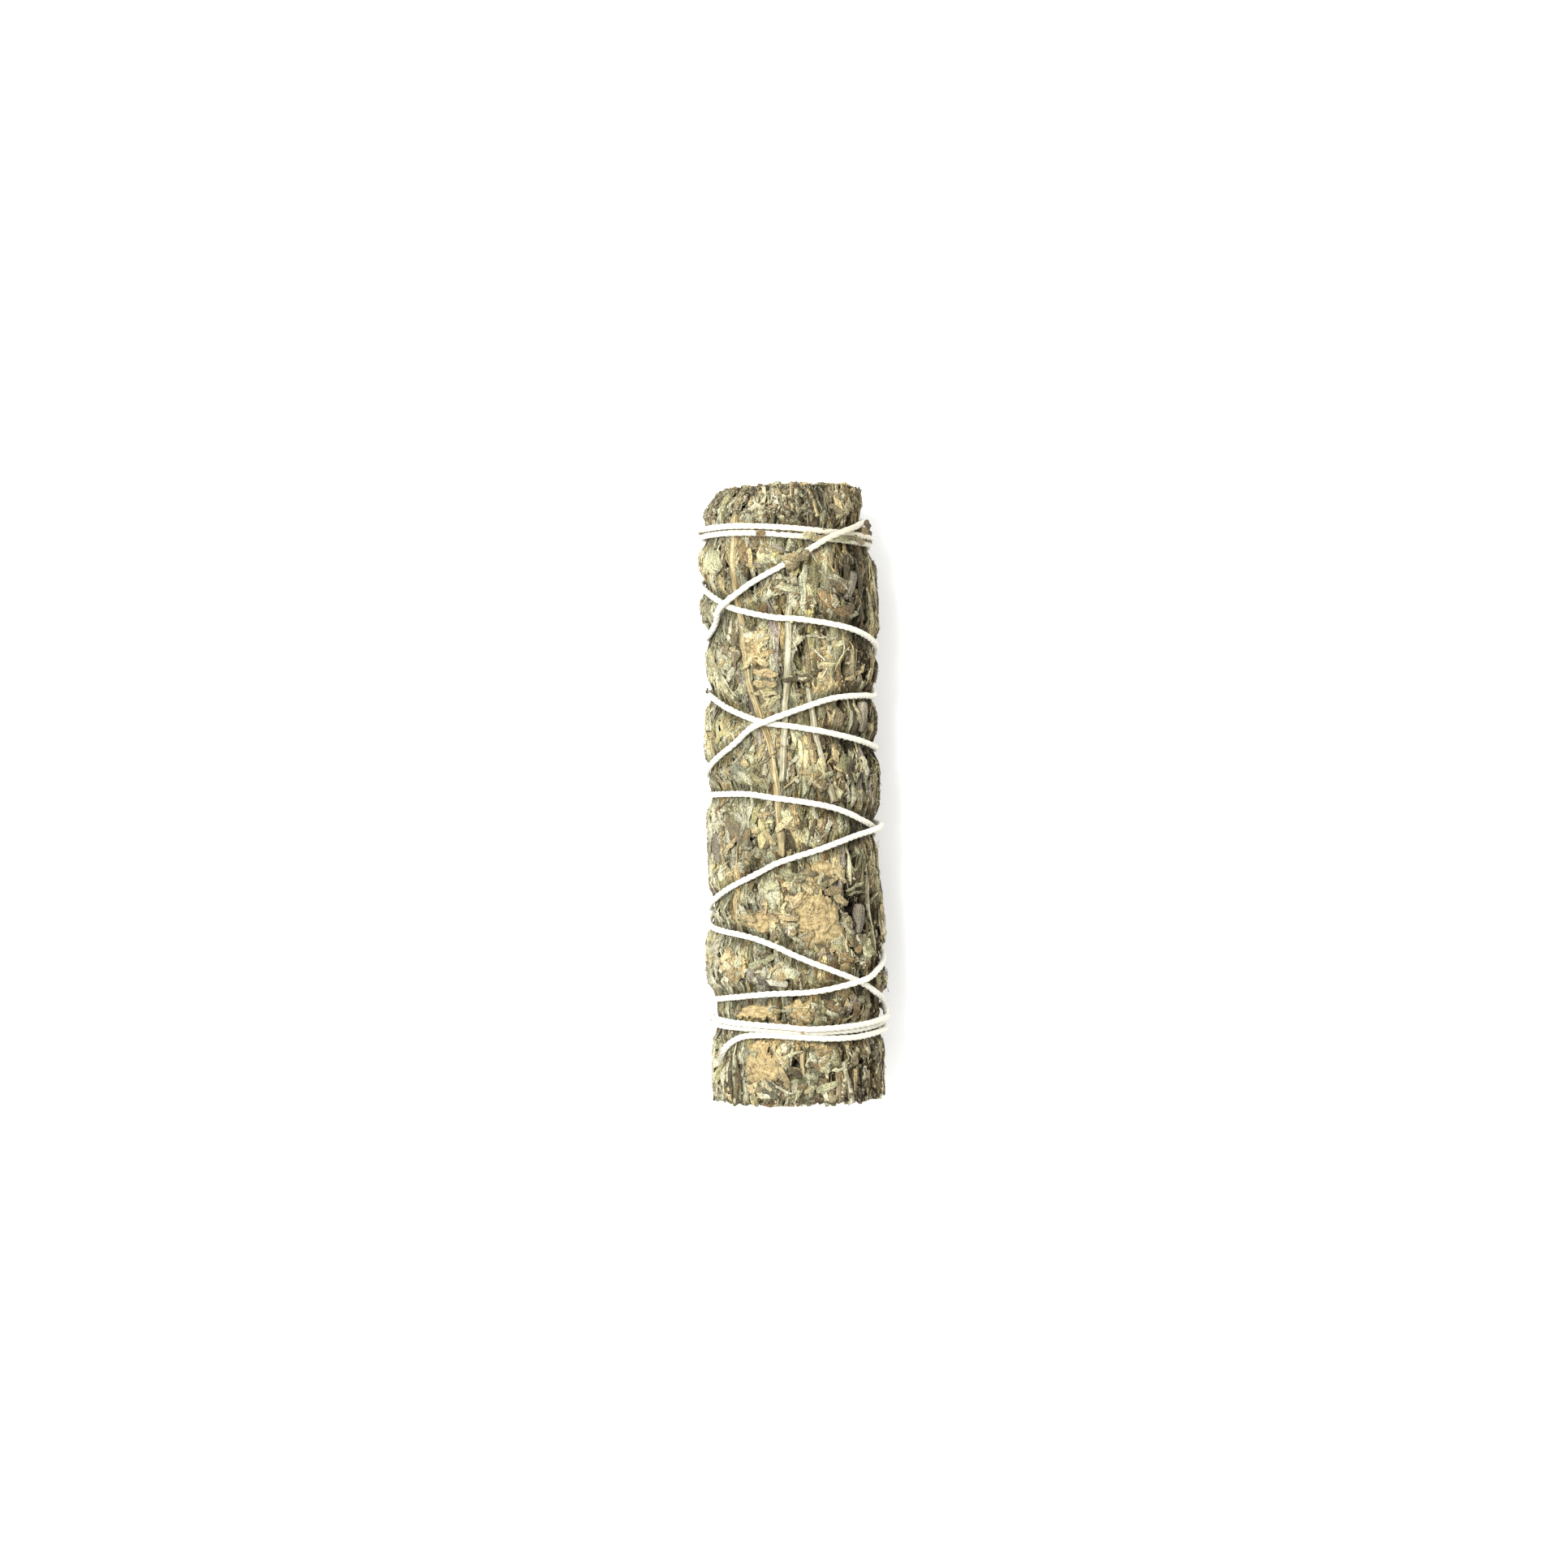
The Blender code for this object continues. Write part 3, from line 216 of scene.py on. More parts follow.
# Scraps that lie over the string: degrees, millimetres along, length, width, heading, tone, millimetres up
SCRAPS_OVER_STRING = (
    (88, 37.8, 2.6, 1.99, 69, "tan_brown", 0.95), (81, 38.2, 2.7, 1.78, 62, "taupe", 0.9),
    (87, 36.7, 2.3, 1.33, 66, "taupe", 0.95), (84, 38.6, 2.4, 0.7, 40, "sage", 0.98),
    (90, 37.2, 2.0, 0.6, 96, "grey", 1.0), (78, 37.6, 1.9, 0.6, 20, "brown", 0.95),
    (162, 43.2, 0.8, 1.89, 164, "brown", 0.65),
    (133, 43.1, 0.5, 0.64, 130, "brown", 0.65), (121, 43, 0.5, 0.6, 105, "tan_brown", 0.65),
    (109, 43, 1.6, 0.75, 87, "orange_brown", 0.65), (107, 42, 1.5, 1.11, 83, "brown", 0.62),
    (96, 42.3, 0.7, 0.53, 91, "dark", 0.65), (88, 42.2, 0.7, 0.53, 106, "brown", 0.65),
    (75, 41.6, 2.1, 1.34, 73, "straw", 0.68), (69, 41, 2.3, 1.12, 78, "tan", 0.68),
    (62, 42, 2.2, 1.14, 103, "tan_brown", 0.7), (51, 41.2, 3.6, 1.6, 98, "sage", 0.72),
    (36, 41.4, 5.2, 1.97, 104, "taupe", 0.72), (19, 41.9, 4.8, 2.09, 112, "brown", 0.72),
    (12, 43, 2.8, 3.16, 163, "dark", 0.7), (89, 27.9, 1.1, 0.57, 145, "tan", 0.62),
    (75, 9.7, 0.7, 0.46, 162, "dark", 0.62), (170, 17.2, 0.9, 1.64, -180, "dark", 0.5),
    (89, -37.2, 1.5, 1.24, 139, "brown", 0.75), (88, -38.7, 1.2, 0.58, 165, "tan_brown", 0.7),
    (94, -37.8, 0.5, 0.49, 134, "tan", 0.65), (102, -36.7, 0.9, 0.49, 108, "brown", 0.6),
    (124, -33, 0.5, 0.37, 168, "brown", 0.6), (103, -23.7, 0.6, 0.45, 70, "white", 0.6),
)


class StemFinish(Enum):
    """How a dry stem looks."""

    STRAW = "straw"
    PALE = "pale"


class BladeFinish(Enum):
    """How a bract or a single leaf looks."""

    BRACT = "bract"
    YELLOW = "yellow_leaf"
    PALE = "pale_leaf"


class LeafTone(Enum):
    """What colour a leaf dried to."""

    GREY = "grey"
    WHITE = "white"
    SAGE = "sage"
    SAGE_PALE = "sage_pale"
    PALE_GREEN = "pale_green"
    OLIVE = "olive"
    TAUPE = "taupe"
    TAN = "tan"
    STRAW = "straw"
    YELLOW = "yellow"
    ORANGE = "orange"
    ORANGE_BROWN = "orange_brown"
    TAN_BROWN = "tan_brown"
    BROWN = "brown"
    RUST = "rust"
    MAROON = "maroon"
    PURPLE = "purple"
    BLUE_GREY = "blue_grey"
    SLATE = "slate"
    DARK = "dark"


def linear(red: float, green: float, blue: float) -> tuple[float, float, float, float]:
    """A colour given as it looks on a screen, 0 to 255, as the linear values that a shader takes."""
    return (*(((c / 255 + 0.055) / 1.055) ** 2.4 for c in (red, green, blue)), 1.0)


def smooth_step(value: np.ndarray, low: float, high: float) -> np.ndarray:
    """0 below low, 1 above high, and a smooth rise between them."""
    t = np.clip((np.asarray(value, float) - low) / (high - low), 0.0, 1.0)
    return t * t * (3.0 - 2.0 * t)


TONES = {
    LeafTone.GREY: linear(212, 210, 188),
    LeafTone.WHITE: linear(216, 212, 190),
    LeafTone.SAGE: linear(172, 170, 138),
    LeafTone.SAGE_PALE: linear(198, 196, 166),
    LeafTone.PALE_GREEN: linear(204, 208, 176),
    LeafTone.OLIVE: linear(148, 142, 100),
    LeafTone.TAUPE: linear(140, 126, 98),
    LeafTone.TAN: linear(206, 182, 132),
    LeafTone.STRAW: linear(222, 208, 160),
    LeafTone.YELLOW: linear(206, 196, 132),
    LeafTone.ORANGE: linear(200, 166, 104),
    LeafTone.ORANGE_BROWN: linear(166, 138, 94),
    LeafTone.TAN_BROWN: linear(174, 151, 109),
    LeafTone.BROWN: linear(128, 104, 68),
    LeafTone.RUST: linear(150, 116, 80),
    LeafTone.MAROON: linear(124, 88, 70),
    LeafTone.PURPLE: linear(158, 146, 142),
    LeafTone.BLUE_GREY: linear(156, 158, 142),
    LeafTone.SLATE: linear(96, 96, 84),
    LeafTone.DARK: linear(84, 72, 46),
}
END_TONES = (LeafTone.OLIVE, LeafTone.TAUPE, LeafTone.BROWN, LeafTone.SAGE, LeafTone.TAN, LeafTone.TAN_BROWN)
TIP_TONES = (LeafTone.DARK, LeafTone.BROWN, LeafTone.TAUPE, LeafTone.GREY, LeafTone.TAN_BROWN, LeafTone.SAGE)
TORN_BRACT_TONES = (LeafTone.TAN_BROWN, LeafTone.ORANGE_BROWN, LeafTone.TAN, LeafTone.TAN)
SPLINTER_TONES = (LeafTone.GREY, LeafTone.WHITE, LeafTone.STRAW, LeafTone.TAN)
HAIR_TONES = (LeafTone.GREY, LeafTone.WHITE, LeafTone.SAGE_PALE)
STEM_TINTS = {StemFinish.STRAW: (1.0, 0.98, 0.92), StemFinish.PALE: (1.0, 0.99, 0.96)}
CRUMB_COLOURS = (
    (206, 194, 152), (168, 150, 112), (220, 204, 160), (104, 86, 58), (180, 152, 106), (186, 180, 146),
)


@dataclass(frozen=True)
class BunchForm:
    """The mean leaf surface of the bunch: its waves are per radian and per metre."""

    radius: float = 13.9 * MM
    half: float = 50.0 * MM
    axis_height: float = 14.525 * MM
    lump: float = 0.22 * MM
    wide_wave: tuple[float, float, float] = (2, 230, 0.7)
    close_wave: tuple[float, float, float] = (3, -340, 1.9)
    close_share: float = 0.6
    underside_taper: float = 1.6 * MM
    taper_reach: float = 8.0 * MM
    underside: tuple[float, float] = (-0.95, -0.2)

    def radius_at(self, angle: np.ndarray, y: np.ndarray) -> np.ndarray:
        """How far the leaf surface is from the axis.

        Args:
            angle: where about the axis, in radians.
            y: where along the bunch.

        Returns:
            The radius at each place.
        """
        angle, y = np.asarray(angle, float), np.asarray(y, float)
        along, left, right = np.array(SIDES).T * MM
        share = 0.5 - 0.5 * np.cos(angle)
        sides = np.interp(y, along, left) * share + np.interp(y, along, right) * (1 - share)
        wide, close = (np.sin(k * angle + w * y + p) for k, w, p in (self.wide_wave, self.close_wave))
        waves = wide + self.close_share * close
        taper = smooth_step(np.abs(y), self.half - self.taper_reach, self.half)
        below = self.radius - self.underside_taper * taper
        upper = smooth_step(np.sin(angle), *self.underside)
        return below + upper * (sides + self.lump * waves - below)

    def place(self, angle: np.ndarray, y: np.ndarray, height: np.ndarray) -> np.ndarray:
        """The points at some heights above the leaf surface.

        Args:
            angle: where about the axis.
            y: where along the bunch.
            height: how high above the surface.

        Returns:
            One row of coordinates for each place.
        """
        radius = self.radius_at(angle, y) + height
        z = self.axis_height + radius * np.sin(angle)
        return np.stack([radius * np.cos(angle), np.broadcast_to(y, radius.shape), z], axis=-1)

    def walk(
        self, angle: float, y: float, along: np.ndarray, across: np.ndarray, turn: float
    ) -> tuple[np.ndarray, np.ndarray]:
        """Where one gets by going along and across a heading.

        Args:
            angle: where one starts, about the axis.
            y: where one starts, along the bunch.
            along: how far one goes along the heading.
            across: how far one goes across it.
            turn: the heading, turned from +Y, in radians.

        Returns:
            The angles and the distances along the bunch.
        """
        side = along * math.sin(turn) + across * math.cos(turn)
        return angle - side / self.radius, y + along * math.cos(turn) - across * math.sin(turn)

    def walk_from(
        self, spot: tuple[float, float, float], along: np.ndarray, across: np.ndarray
    ) -> tuple[np.ndarray, np.ndarray]:
        """The same from a spot as the tables give it: degrees, millimetres along, and heading in degrees."""
        degrees, at, turn = spot
        return self.walk(math.radians(degrees), at * MM, along, across, math.radians(turn))


def smooth_route(
    points: tuple, step: float, radius: float, fine_step: float = 0.15 * MM
) -> tuple[np.ndarray, np.ndarray, np.ndarray]:
    """Evenly spaced places on a smooth curve through given points.

    Args:
        points: (degrees, millimetres) pairs.
        step: distance between the places.
        radius: radius at which the degrees are turned into a distance.
        fine_step: how closely the curve is first worked out.

    Returns:
        The run along the curve, the angles in radians, and the distances along the bunch.
    """
    flat = np.array([(math.radians(a) * radius, y * MM) for a, y in points])
    flat = np.vstack([2 * flat[0] - flat[1], flat, 2 * flat[-1] - flat[-2]])
    fine = []
    for p0, p1, p2, p3 in zip(flat, flat[1:], flat[2:], flat[3:]):
        count = max(4, int(np.linalg.norm(p2 - p1) / fine_step))
        t = np.linspace(0, 1, count, endpoint=False)[:, None]
        rise = (p2 - p0) * t + (2 * p0 - 5 * p1 + 4 * p2 - p3) * t**2 + (3 * p1 - p0 - 3 * p2 + p3) * t**3
        fine.append(p1 + 0.5 * rise)
    fine = np.vstack([*fine, flat[-2]])
    run = np.concatenate([[0], np.cumsum(np.linalg.norm(np.diff(fine, axis=0), axis=1))])
    even = np.linspace(0, run[-1], max(2, round(run[-1] / step) + 1))
    return even, np.interp(even, run, fine[:, 0]) / radius, np.interp(even, run, fine[:, 1])


@dataclass
class PressMap:
    """The most that leaves may stand above the surface at each place, under what binds or lies on them."""

    form: BunchForm
    open_height: float = 0.55 * MM
    tie_depth: float = 0.3 * MM
    half: float = 53.0 * MM
    angle_cells: int = 768
    cell: float = 0.14 * MM
    ceiling: np.ndarray = field(init=False)
    tied: np.ndarray = field(init=False)

    def __post_init__(self) -> None:
        """Starts with nothing pressed."""
        self.y_cells = int(2 * self.half / self.cell)
        self.ceiling = np.full((self.angle_cells, self.y_cells), self.open_height)
        self.tied = np.zeros(self.ceiling.shape, bool)

    def _cells(self, angle: np.ndarray, y: np.ndarray) -> tuple[np.ndarray, np.ndarray]:
        """The map's row and column at each of these places."""
        rows = (np.asarray(angle) / TAU * self.angle_cells).astype(int) % self.angle_cells
        return rows, np.clip(((np.asarray(y) + self.half) / self.cell).astype(int), 0, self.y_cells - 1)

    def remember_ties(self) -> None:
        """Marks what is pressed so far as lying under the string."""
        self.tied = self.ceiling < self.open_height - self.tie_depth

    def bound(self, angle: np.ndarray, y: np.ndarray) -> np.ndarray:
        """Whether these places lie under the string."""
        return self.tied[self._cells(angle, y)]

    def at(self, angle: np.ndarray, y: np.ndarray) -> np.ndarray:
        """The ceiling at these places."""
        return self.ceiling[self._cells(angle, y)]

    def press(self, angle: np.ndarray, y: np.ndarray, level: np.ndarray, near: float, far: float) -> None:
        """Lowers the ceiling round each of some places.

        Args:
            angle: where about the axis.
            y: where along the bunch.
            level: the ceiling's height there.
            near: how far round a place it is that low.
            far: where it is open again.
        """
        width = TAU * self.form.radius / self.angle_cells
        reach_a, reach_y = int(far / width) + 1, int(far / self.cell) + 1
        steps_a, steps_y = np.arange(-reach_a, reach_a + 1), np.arange(-reach_y, reach_y + 1)
        ease = smooth_step(np.hypot(steps_a[:, None] * width, steps_y[None, :] * self.cell), near, far)
        for a, at, low in zip(angle, y, np.broadcast_to(level, np.shape(angle))):
            rows = (int(a / TAU * self.angle_cells) + steps_a) % self.angle_cells
            columns = int(self._cells(a, at)[1]) + steps_y
            inside = (columns >= 0) & (columns < self.y_cells)
            patch = np.ix_(rows, columns[inside])
            lowered = low + (self.open_height - low) * ease[:, inside]
            self.ceiling[patch] = np.minimum(self.ceiling[patch], lowered)

    def press_line(
        self, spot: tuple[float, float, float], length: float, spacing: float, level: float, near: float,
        far: float,
    ) -> None:
        """Lowers the ceiling along a short straight line.

        Args:
            spot: the line's middle and heading, as the tables give them.
            length: the line's length in millimetres.
            spacing: the most between two places on it, in millimetres.
            level: the ceiling's height there, in millimetres.
            near: how far round the line it is that low, in millimetres.
            far: where it is open again, in millimetres.
        """
        along = np.linspace(-0.5, 0.5, 2 + int(length / spacing)) * length * MM
        angle, y = self.form.walk_from(spot, along, np.zeros(along.size))
        self.press(angle, y, np.full(along.size, level * MM), near * MM, far * MM)


@dataclass
class Pattern:
    """One modelled shape that is copied: across x, along y and up z, each from -0.5 to 0.5."""

    points: np.ndarray
    loops: np.ndarray
    sizes: np.ndarray

    @classmethod
    def from_object(cls, shape: bpy.types.Object) -> "Pattern":
        """Takes the mesh of an object and removes the object.

        Args:
            shape: the modelled object.

        Returns:
            Its mesh as a pattern.
        """
        mesh = shape.data
        points = np.empty(len(mesh.vertices) * 3)
        mesh.vertices.foreach_get("co", points)
        loops = np.empty(len(mesh.loops), int)
        mesh.loops.foreach_get("vertex_index", loops)
        sizes = np.array([len(face.vertices) for face in mesh.polygons])
        bpy.data.objects.remove(shape)
        return cls(points.reshape(-1, 3), loops, sizes)


@dataclass
class Batch:
    """Collects the copies that make up one piece."""

    points: list = field(default_factory=list)
    loops: list = field(default_factory=list)
    sizes: list = field(default_factory=list)
    marks: list = field(default_factory=list)
    tones: list = field(default_factory=list)
    shades: list = field(default_factory=list)
    count: int = 0

    def add(
        self, shape: Pattern, points: np.ndarray, marks: np.ndarray, tone: np.ndarray,
        shade: np.ndarray | float,
    ) -> None:
        """Adds one copy of a pattern.

        Args:
            shape: the pattern whose faces the copy has.
            points: where the copy's points are.
            marks: its texture places, (across, along) for each point.
            tone: its colour, one for the copy or one for each point.
            shade: how open to the light each point lies, 0 to 1, from which the finishes paint shade; the
                string's plies keep how clean they are in it instead.
        """
        total = len(points)
        self.points.append(points)
        self.loops.append(shape.loops + self.count)
        self.sizes.append(shape.sizes)
        self.marks.append(marks)
        self.tones.append(np.broadcast_to(tone, (total, 3)))
        self.shades.append(np.broadcast_to(shade, (total,)))
        self.count += total

    def build(self, name: str, material: bpy.types.Material) -> bpy.types.Object:
        """Makes the piece, with its texture places, its tones and its shades as attributes.

        Args:
            name: the piece's name.
            material: what it is dressed in.

        Returns:
            The piece.
        """
        points = np.vstack(self.points)
        loops = np.concatenate(self.loops).astype(np.int32)
        sizes = np.concatenate(self.sizes)
        mesh = bpy.data.meshes.new(name)
        mesh.vertices.add(len(points))
        mesh.vertices.foreach_set("co", points.astype(np.float32).ravel())
        mesh.loops.add(len(loops))
        mesh.loops.foreach_set("vertex_index", loops)
        mesh.polygons.add(len(sizes))
        starts = np.concatenate([[0], np.cumsum(sizes)[:-1]]).astype(np.int32)
        mesh.polygons.foreach_set("loop_start", starts)
        mesh.update(calc_edges=True)
        mesh.validate()
        marks = np.vstack(self.marks)
        mesh.uv_layers.new(name="marks").data.foreach_set("uv", marks[loops].astype(np.float32).ravel())
        tones = mesh.color_attributes.new(name="tone", type="FLOAT_COLOR", domain="POINT")
        rgba = np.hstack([np.vstack(self.tones), np.ones((len(points), 1))])
        tones.data.foreach_set("color", rgba.astype(np.float32).ravel())
        shades = mesh.attributes.new(name="shade", type="FLOAT", domain="POINT")
        shades.data.foreach_set("value", np.concatenate(self.shades).astype(np.float32))
        mesh.polygons.foreach_set("use_smooth", np.full(len(sizes), True))
        mesh.materials.append(material)
        piece = bpy.data.objects.new(name, mesh)
        bpy.context.scene.collection.objects.link(piece)
        LOG.info("%s: %d points, %d faces", name, len(points), len(sizes))
        return piece


class Bench:
    """Shapes primitives in edit mode."""

    NEAR = 1e-3

    @staticmethod
    def clear() -> None:
        """Selects nothing."""
        for other in bpy.context.selected_objects:
            other.select_set(False)

    @staticmethod
    def rod(name: str, sides: int) -> bpy.types.Object:
        """A rod of unit length and width along Y, open in edit mode.

        Args:
            name: the rod's name.
            sides: how many sides it has.

        Returns:
            The rod.
        """
        Bench.clear()
        bpy.ops.mesh.primitive_cylinder_add(
            vertices=sides, radius=0.5, depth=1.0, end_fill_type="TRIFAN", rotation=(math.pi / 2, 0, 0)
        )
        shape = bpy.context.object
        shape.name = name
        bpy.ops.object.transform_apply(location=True, rotation=True, scale=True)
        bpy.ops.object.mode_set(mode="EDIT")
        return shape

    @staticmethod
    def sheet(name: str, cells: int) -> Pattern:
        """A closed sheet of unit length and width, extruded from a grid: z is 1 on its face and 0 behind.

        Args:
            name: the sheet's name.
            cells: how many cells it has each way.

        Returns:
            The sheet as a pattern.
        """
        Bench.clear()
        bpy.ops.mesh.primitive_grid_add(x_subdivisions=cells, y_subdivisions=cells, size=1.0)
        shape = bpy.context.object
        shape.name = name
        bpy.ops.object.mode_set(mode="EDIT")
        bpy.ops.mesh.select_all(action="SELECT")
        bpy.ops.mesh.extrude_region_move(TRANSFORM_OT_translate={"value": (0, 0, 1)})
        return Bench.done(shape)

    @staticmethod
    def cut(stations: tuple[float, ...]) -> None:
        """Cuts a ring of edges across the open shape at each of these places along Y.

        Args:
            stations: the places, from -0.5 to 0.5.
        """
        for station in stations:
            bpy.ops.mesh.select_all(action="SELECT")
            bpy.ops.mesh.bisect(plane_co=(0, station, 0), plane_no=(0, 1, 0))

    @staticmethod
    def take(shape: bpy.types.Object, wanted: Callable[[Vector], bool]) -> int:
        """Selects points of the open shape.

        Args:
            shape: the shape.
            wanted: says of a point whether it is selected.

        Returns:
            How many points were selected.
        """
        bpy.ops.mesh.select_all(action="DESELECT")
        bpy.ops.mesh.select_mode(type="VERT")
        mesh = bmesh.from_edit_mesh(shape.data)
        found = [vert for vert in mesh.verts if wanted(vert.co)]
        for vert in found:
            vert.select = True
        mesh.select_flush_mode()
        bmesh.update_edit_mesh(shape.data)
        return len(found)

    @staticmethod
    def scale_rings(shape: bpy.types.Object, stations: tuple[float, ...], scales: Iterable[tuple]) -> None:
        """Scales the rings of points at some places along Y.

        Args:
            shape: the open shape.
            stations: where the rings are.
            scales: how wide and how high each ring becomes.
        """
        for station, (width, height) in zip(stations, scales):
            if Bench.take(shape, lambda co: abs(co.y - station) < Bench.NEAR):
                bpy.ops.transform.resize(value=(width, 1.0, height), center_override=(0, station, 0))

    @staticmethod
    def sink_mouth(shape: bpy.types.Object, depth: float) -> None:
        """Pulls the middle of the far end in by this depth."""
        if Bench.take(shape, lambda co: co.y > 0.49 and math.hypot(co.x, co.z) < 0.05):
            bpy.ops.transform.translate(value=(0, -depth, 0))

    @staticmethod
    def done(shape: bpy.types.Object) -> Pattern:
        """Closes the shape, with its faces turned outwards.

        Args:
            shape: the open shape.

        Returns:
            The shape as a pattern.
        """
        bpy.ops.mesh.select_all(action="SELECT")
        bpy.ops.mesh.normals_make_consistent(inside=False)
        bpy.ops.object.mode_set(mode="OBJECT")
        return Pattern.from_object(shape)


@dataclass
class StringRun:
    """The centre line of the string, lifted over what it crosses."""

    form: BunchForm
    diameter: float = 1.05 * MM
    step: float = 0.4 * MM
    stem_gap: float = 0.2 * MM
    crossing_gap: float = 0.15 * MM
    lift_reach: float = 4.5 * MM
    same_strand: float = 4.0 * MM
    rounds: int = 5

    def __post_init__(self) -> None:
        """Works the centre line out."""
        self.run, self.angle, self.y = smooth_route(STRING_ROUTE, self.step, self.form.radius)
        self.height = np.zeros(len(self.run))

    def apart(self, angle: np.ndarray, y: np.ndarray) -> np.ndarray:
        """Distance along the surface from every place of the string to each of these."""
        turned = (self.angle[:, None] - angle[None, :] + math.pi) % TAU - math.pi
        return np.hypot(turned * self.form.radius, self.y[:, None] - y[None, :])

    def lift_over(self, stems: list["Stem"]) -> None:
        """Raises the string where it passes over stems and over its own earlier turns.

        Args:
            stems: the stems that lie in the surface.
        """
        over_stems = np.zeros(len(self.run))
        for stem in stems:
            reach = self.diameter / 2 + stem.radius + self.stem_gap
            distance = self.apart(stem.angle, stem.y)
            rise = stem.height + np.sqrt(np.maximum(reach**2 - distance**2, 0))
            over_stems = np.maximum(over_stems, np.where(distance < reach, rise, 0).max(axis=1))
        distance = self.apart(self.angle, self.y)
        behind = self.run[:, None] - self.run[None, :]
        distance[behind < self.same_strand] = np.inf
        reach = self.diameter + self.crossing_gap
        spread = np.abs(behind) / self.lift_reach
        spread = np.where(spread < 1, np.cos(np.minimum(spread, 1) * math.pi / 2) ** 2, 0)
        close = distance < reach
        root = np.sqrt(np.maximum(reach**2 - np.where(close, distance, reach) ** 2, 0))
        for _ in range(self.rounds):
            over_self = np.where(close, self.height[None, :] + root, 0).max(axis=1)
            need = np.maximum(over_stems, over_self)
            self.height = (spread * need[None, :]).max(axis=1)

    def points(self) -> np.ndarray:
        """The centre line's points."""
        return self.form.place(self.angle, self.y, self.height)


def carried_frames(points: np.ndarray) -> tuple[np.ndarray, np.ndarray, np.ndarray]:
    """A steady cross-section along a line.

    Args:
        points: the line's points.

    Returns:
        The direction of the line at each point, and two directions square to it that don't spin.
    """
    along = np.gradient(points, axis=0)
    along /= np.linalg.norm(along, axis=1)[:, None]
    side = np.cross(along[0], (0.3, 0.5, 0.8))
    sides = []
    for direction in along:
        side = side - direction * side.dot(direction)
        side /= np.linalg.norm(side)
        sides.append(side)
    sides = np.array(sides)
    return along, sides, np.cross(along, sides)


def tube_pattern(rings: int, sides: int) -> Pattern:
    """The faces of a closed tube, with a fan of faces at each end.

    Args:
        rings: how many rings of points it has.
        sides: how many points each ring has.

    Returns:
        A pattern without places for its points.
    """
    loops, sizes = [], []
    for i in range(rings - 1):
        for k in range(sides):
            a, b = i * sides + k, i * sides + (k + 1) % sides
            loops += [a, b, b + sides, a + sides]
            sizes.append(4)
    first, last = rings * sides, rings * sides + 1
    for k in range(sides):
        after = (k + 1) % sides
        loops += [after, k, first, (rings - 1) * sides + k, (rings - 1) * sides + after, last]
        sizes += [3, 3]
    return Pattern(np.empty((rings * sides + 2, 3)), np.array(loops), np.array(sizes))


def tube_points(line: np.ndarray, sides: int, reach: np.ndarray) -> tuple[np.ndarray, np.ndarray, np.ndarray]:
    """Points of a closed tube round a line.

    Args:
        line: the centre line.
        sides: points in each ring.
        reach: radius at each ring and side.

    Returns:
        The points, and how far round and how far along each of them is.
    """
    _, side, other = carried_frames(line)
    swing = np.arange(sides) / sides * TAU
    ring = np.cos(swing)[None, :, None] * side[:, None, :] + np.sin(swing)[None, :, None] * other[:, None, :]
    points = (line[:, None, :] + ring * np.broadcast_to(reach, (len(line), sides))[:, :, None]).reshape(-1, 3)
    run = np.concatenate([[0], np.cumsum(np.linalg.norm(np.diff(line, axis=0), axis=1))])
    round_to = np.tile(np.arange(sides) / sides, len(line))
    along_to = np.repeat(run, sides)
    points = np.vstack([points, line[:1], line[-1:]])
    return points, np.append(round_to, (0.5, 0.5)), np.append(along_to, (0.0, run[-1]))


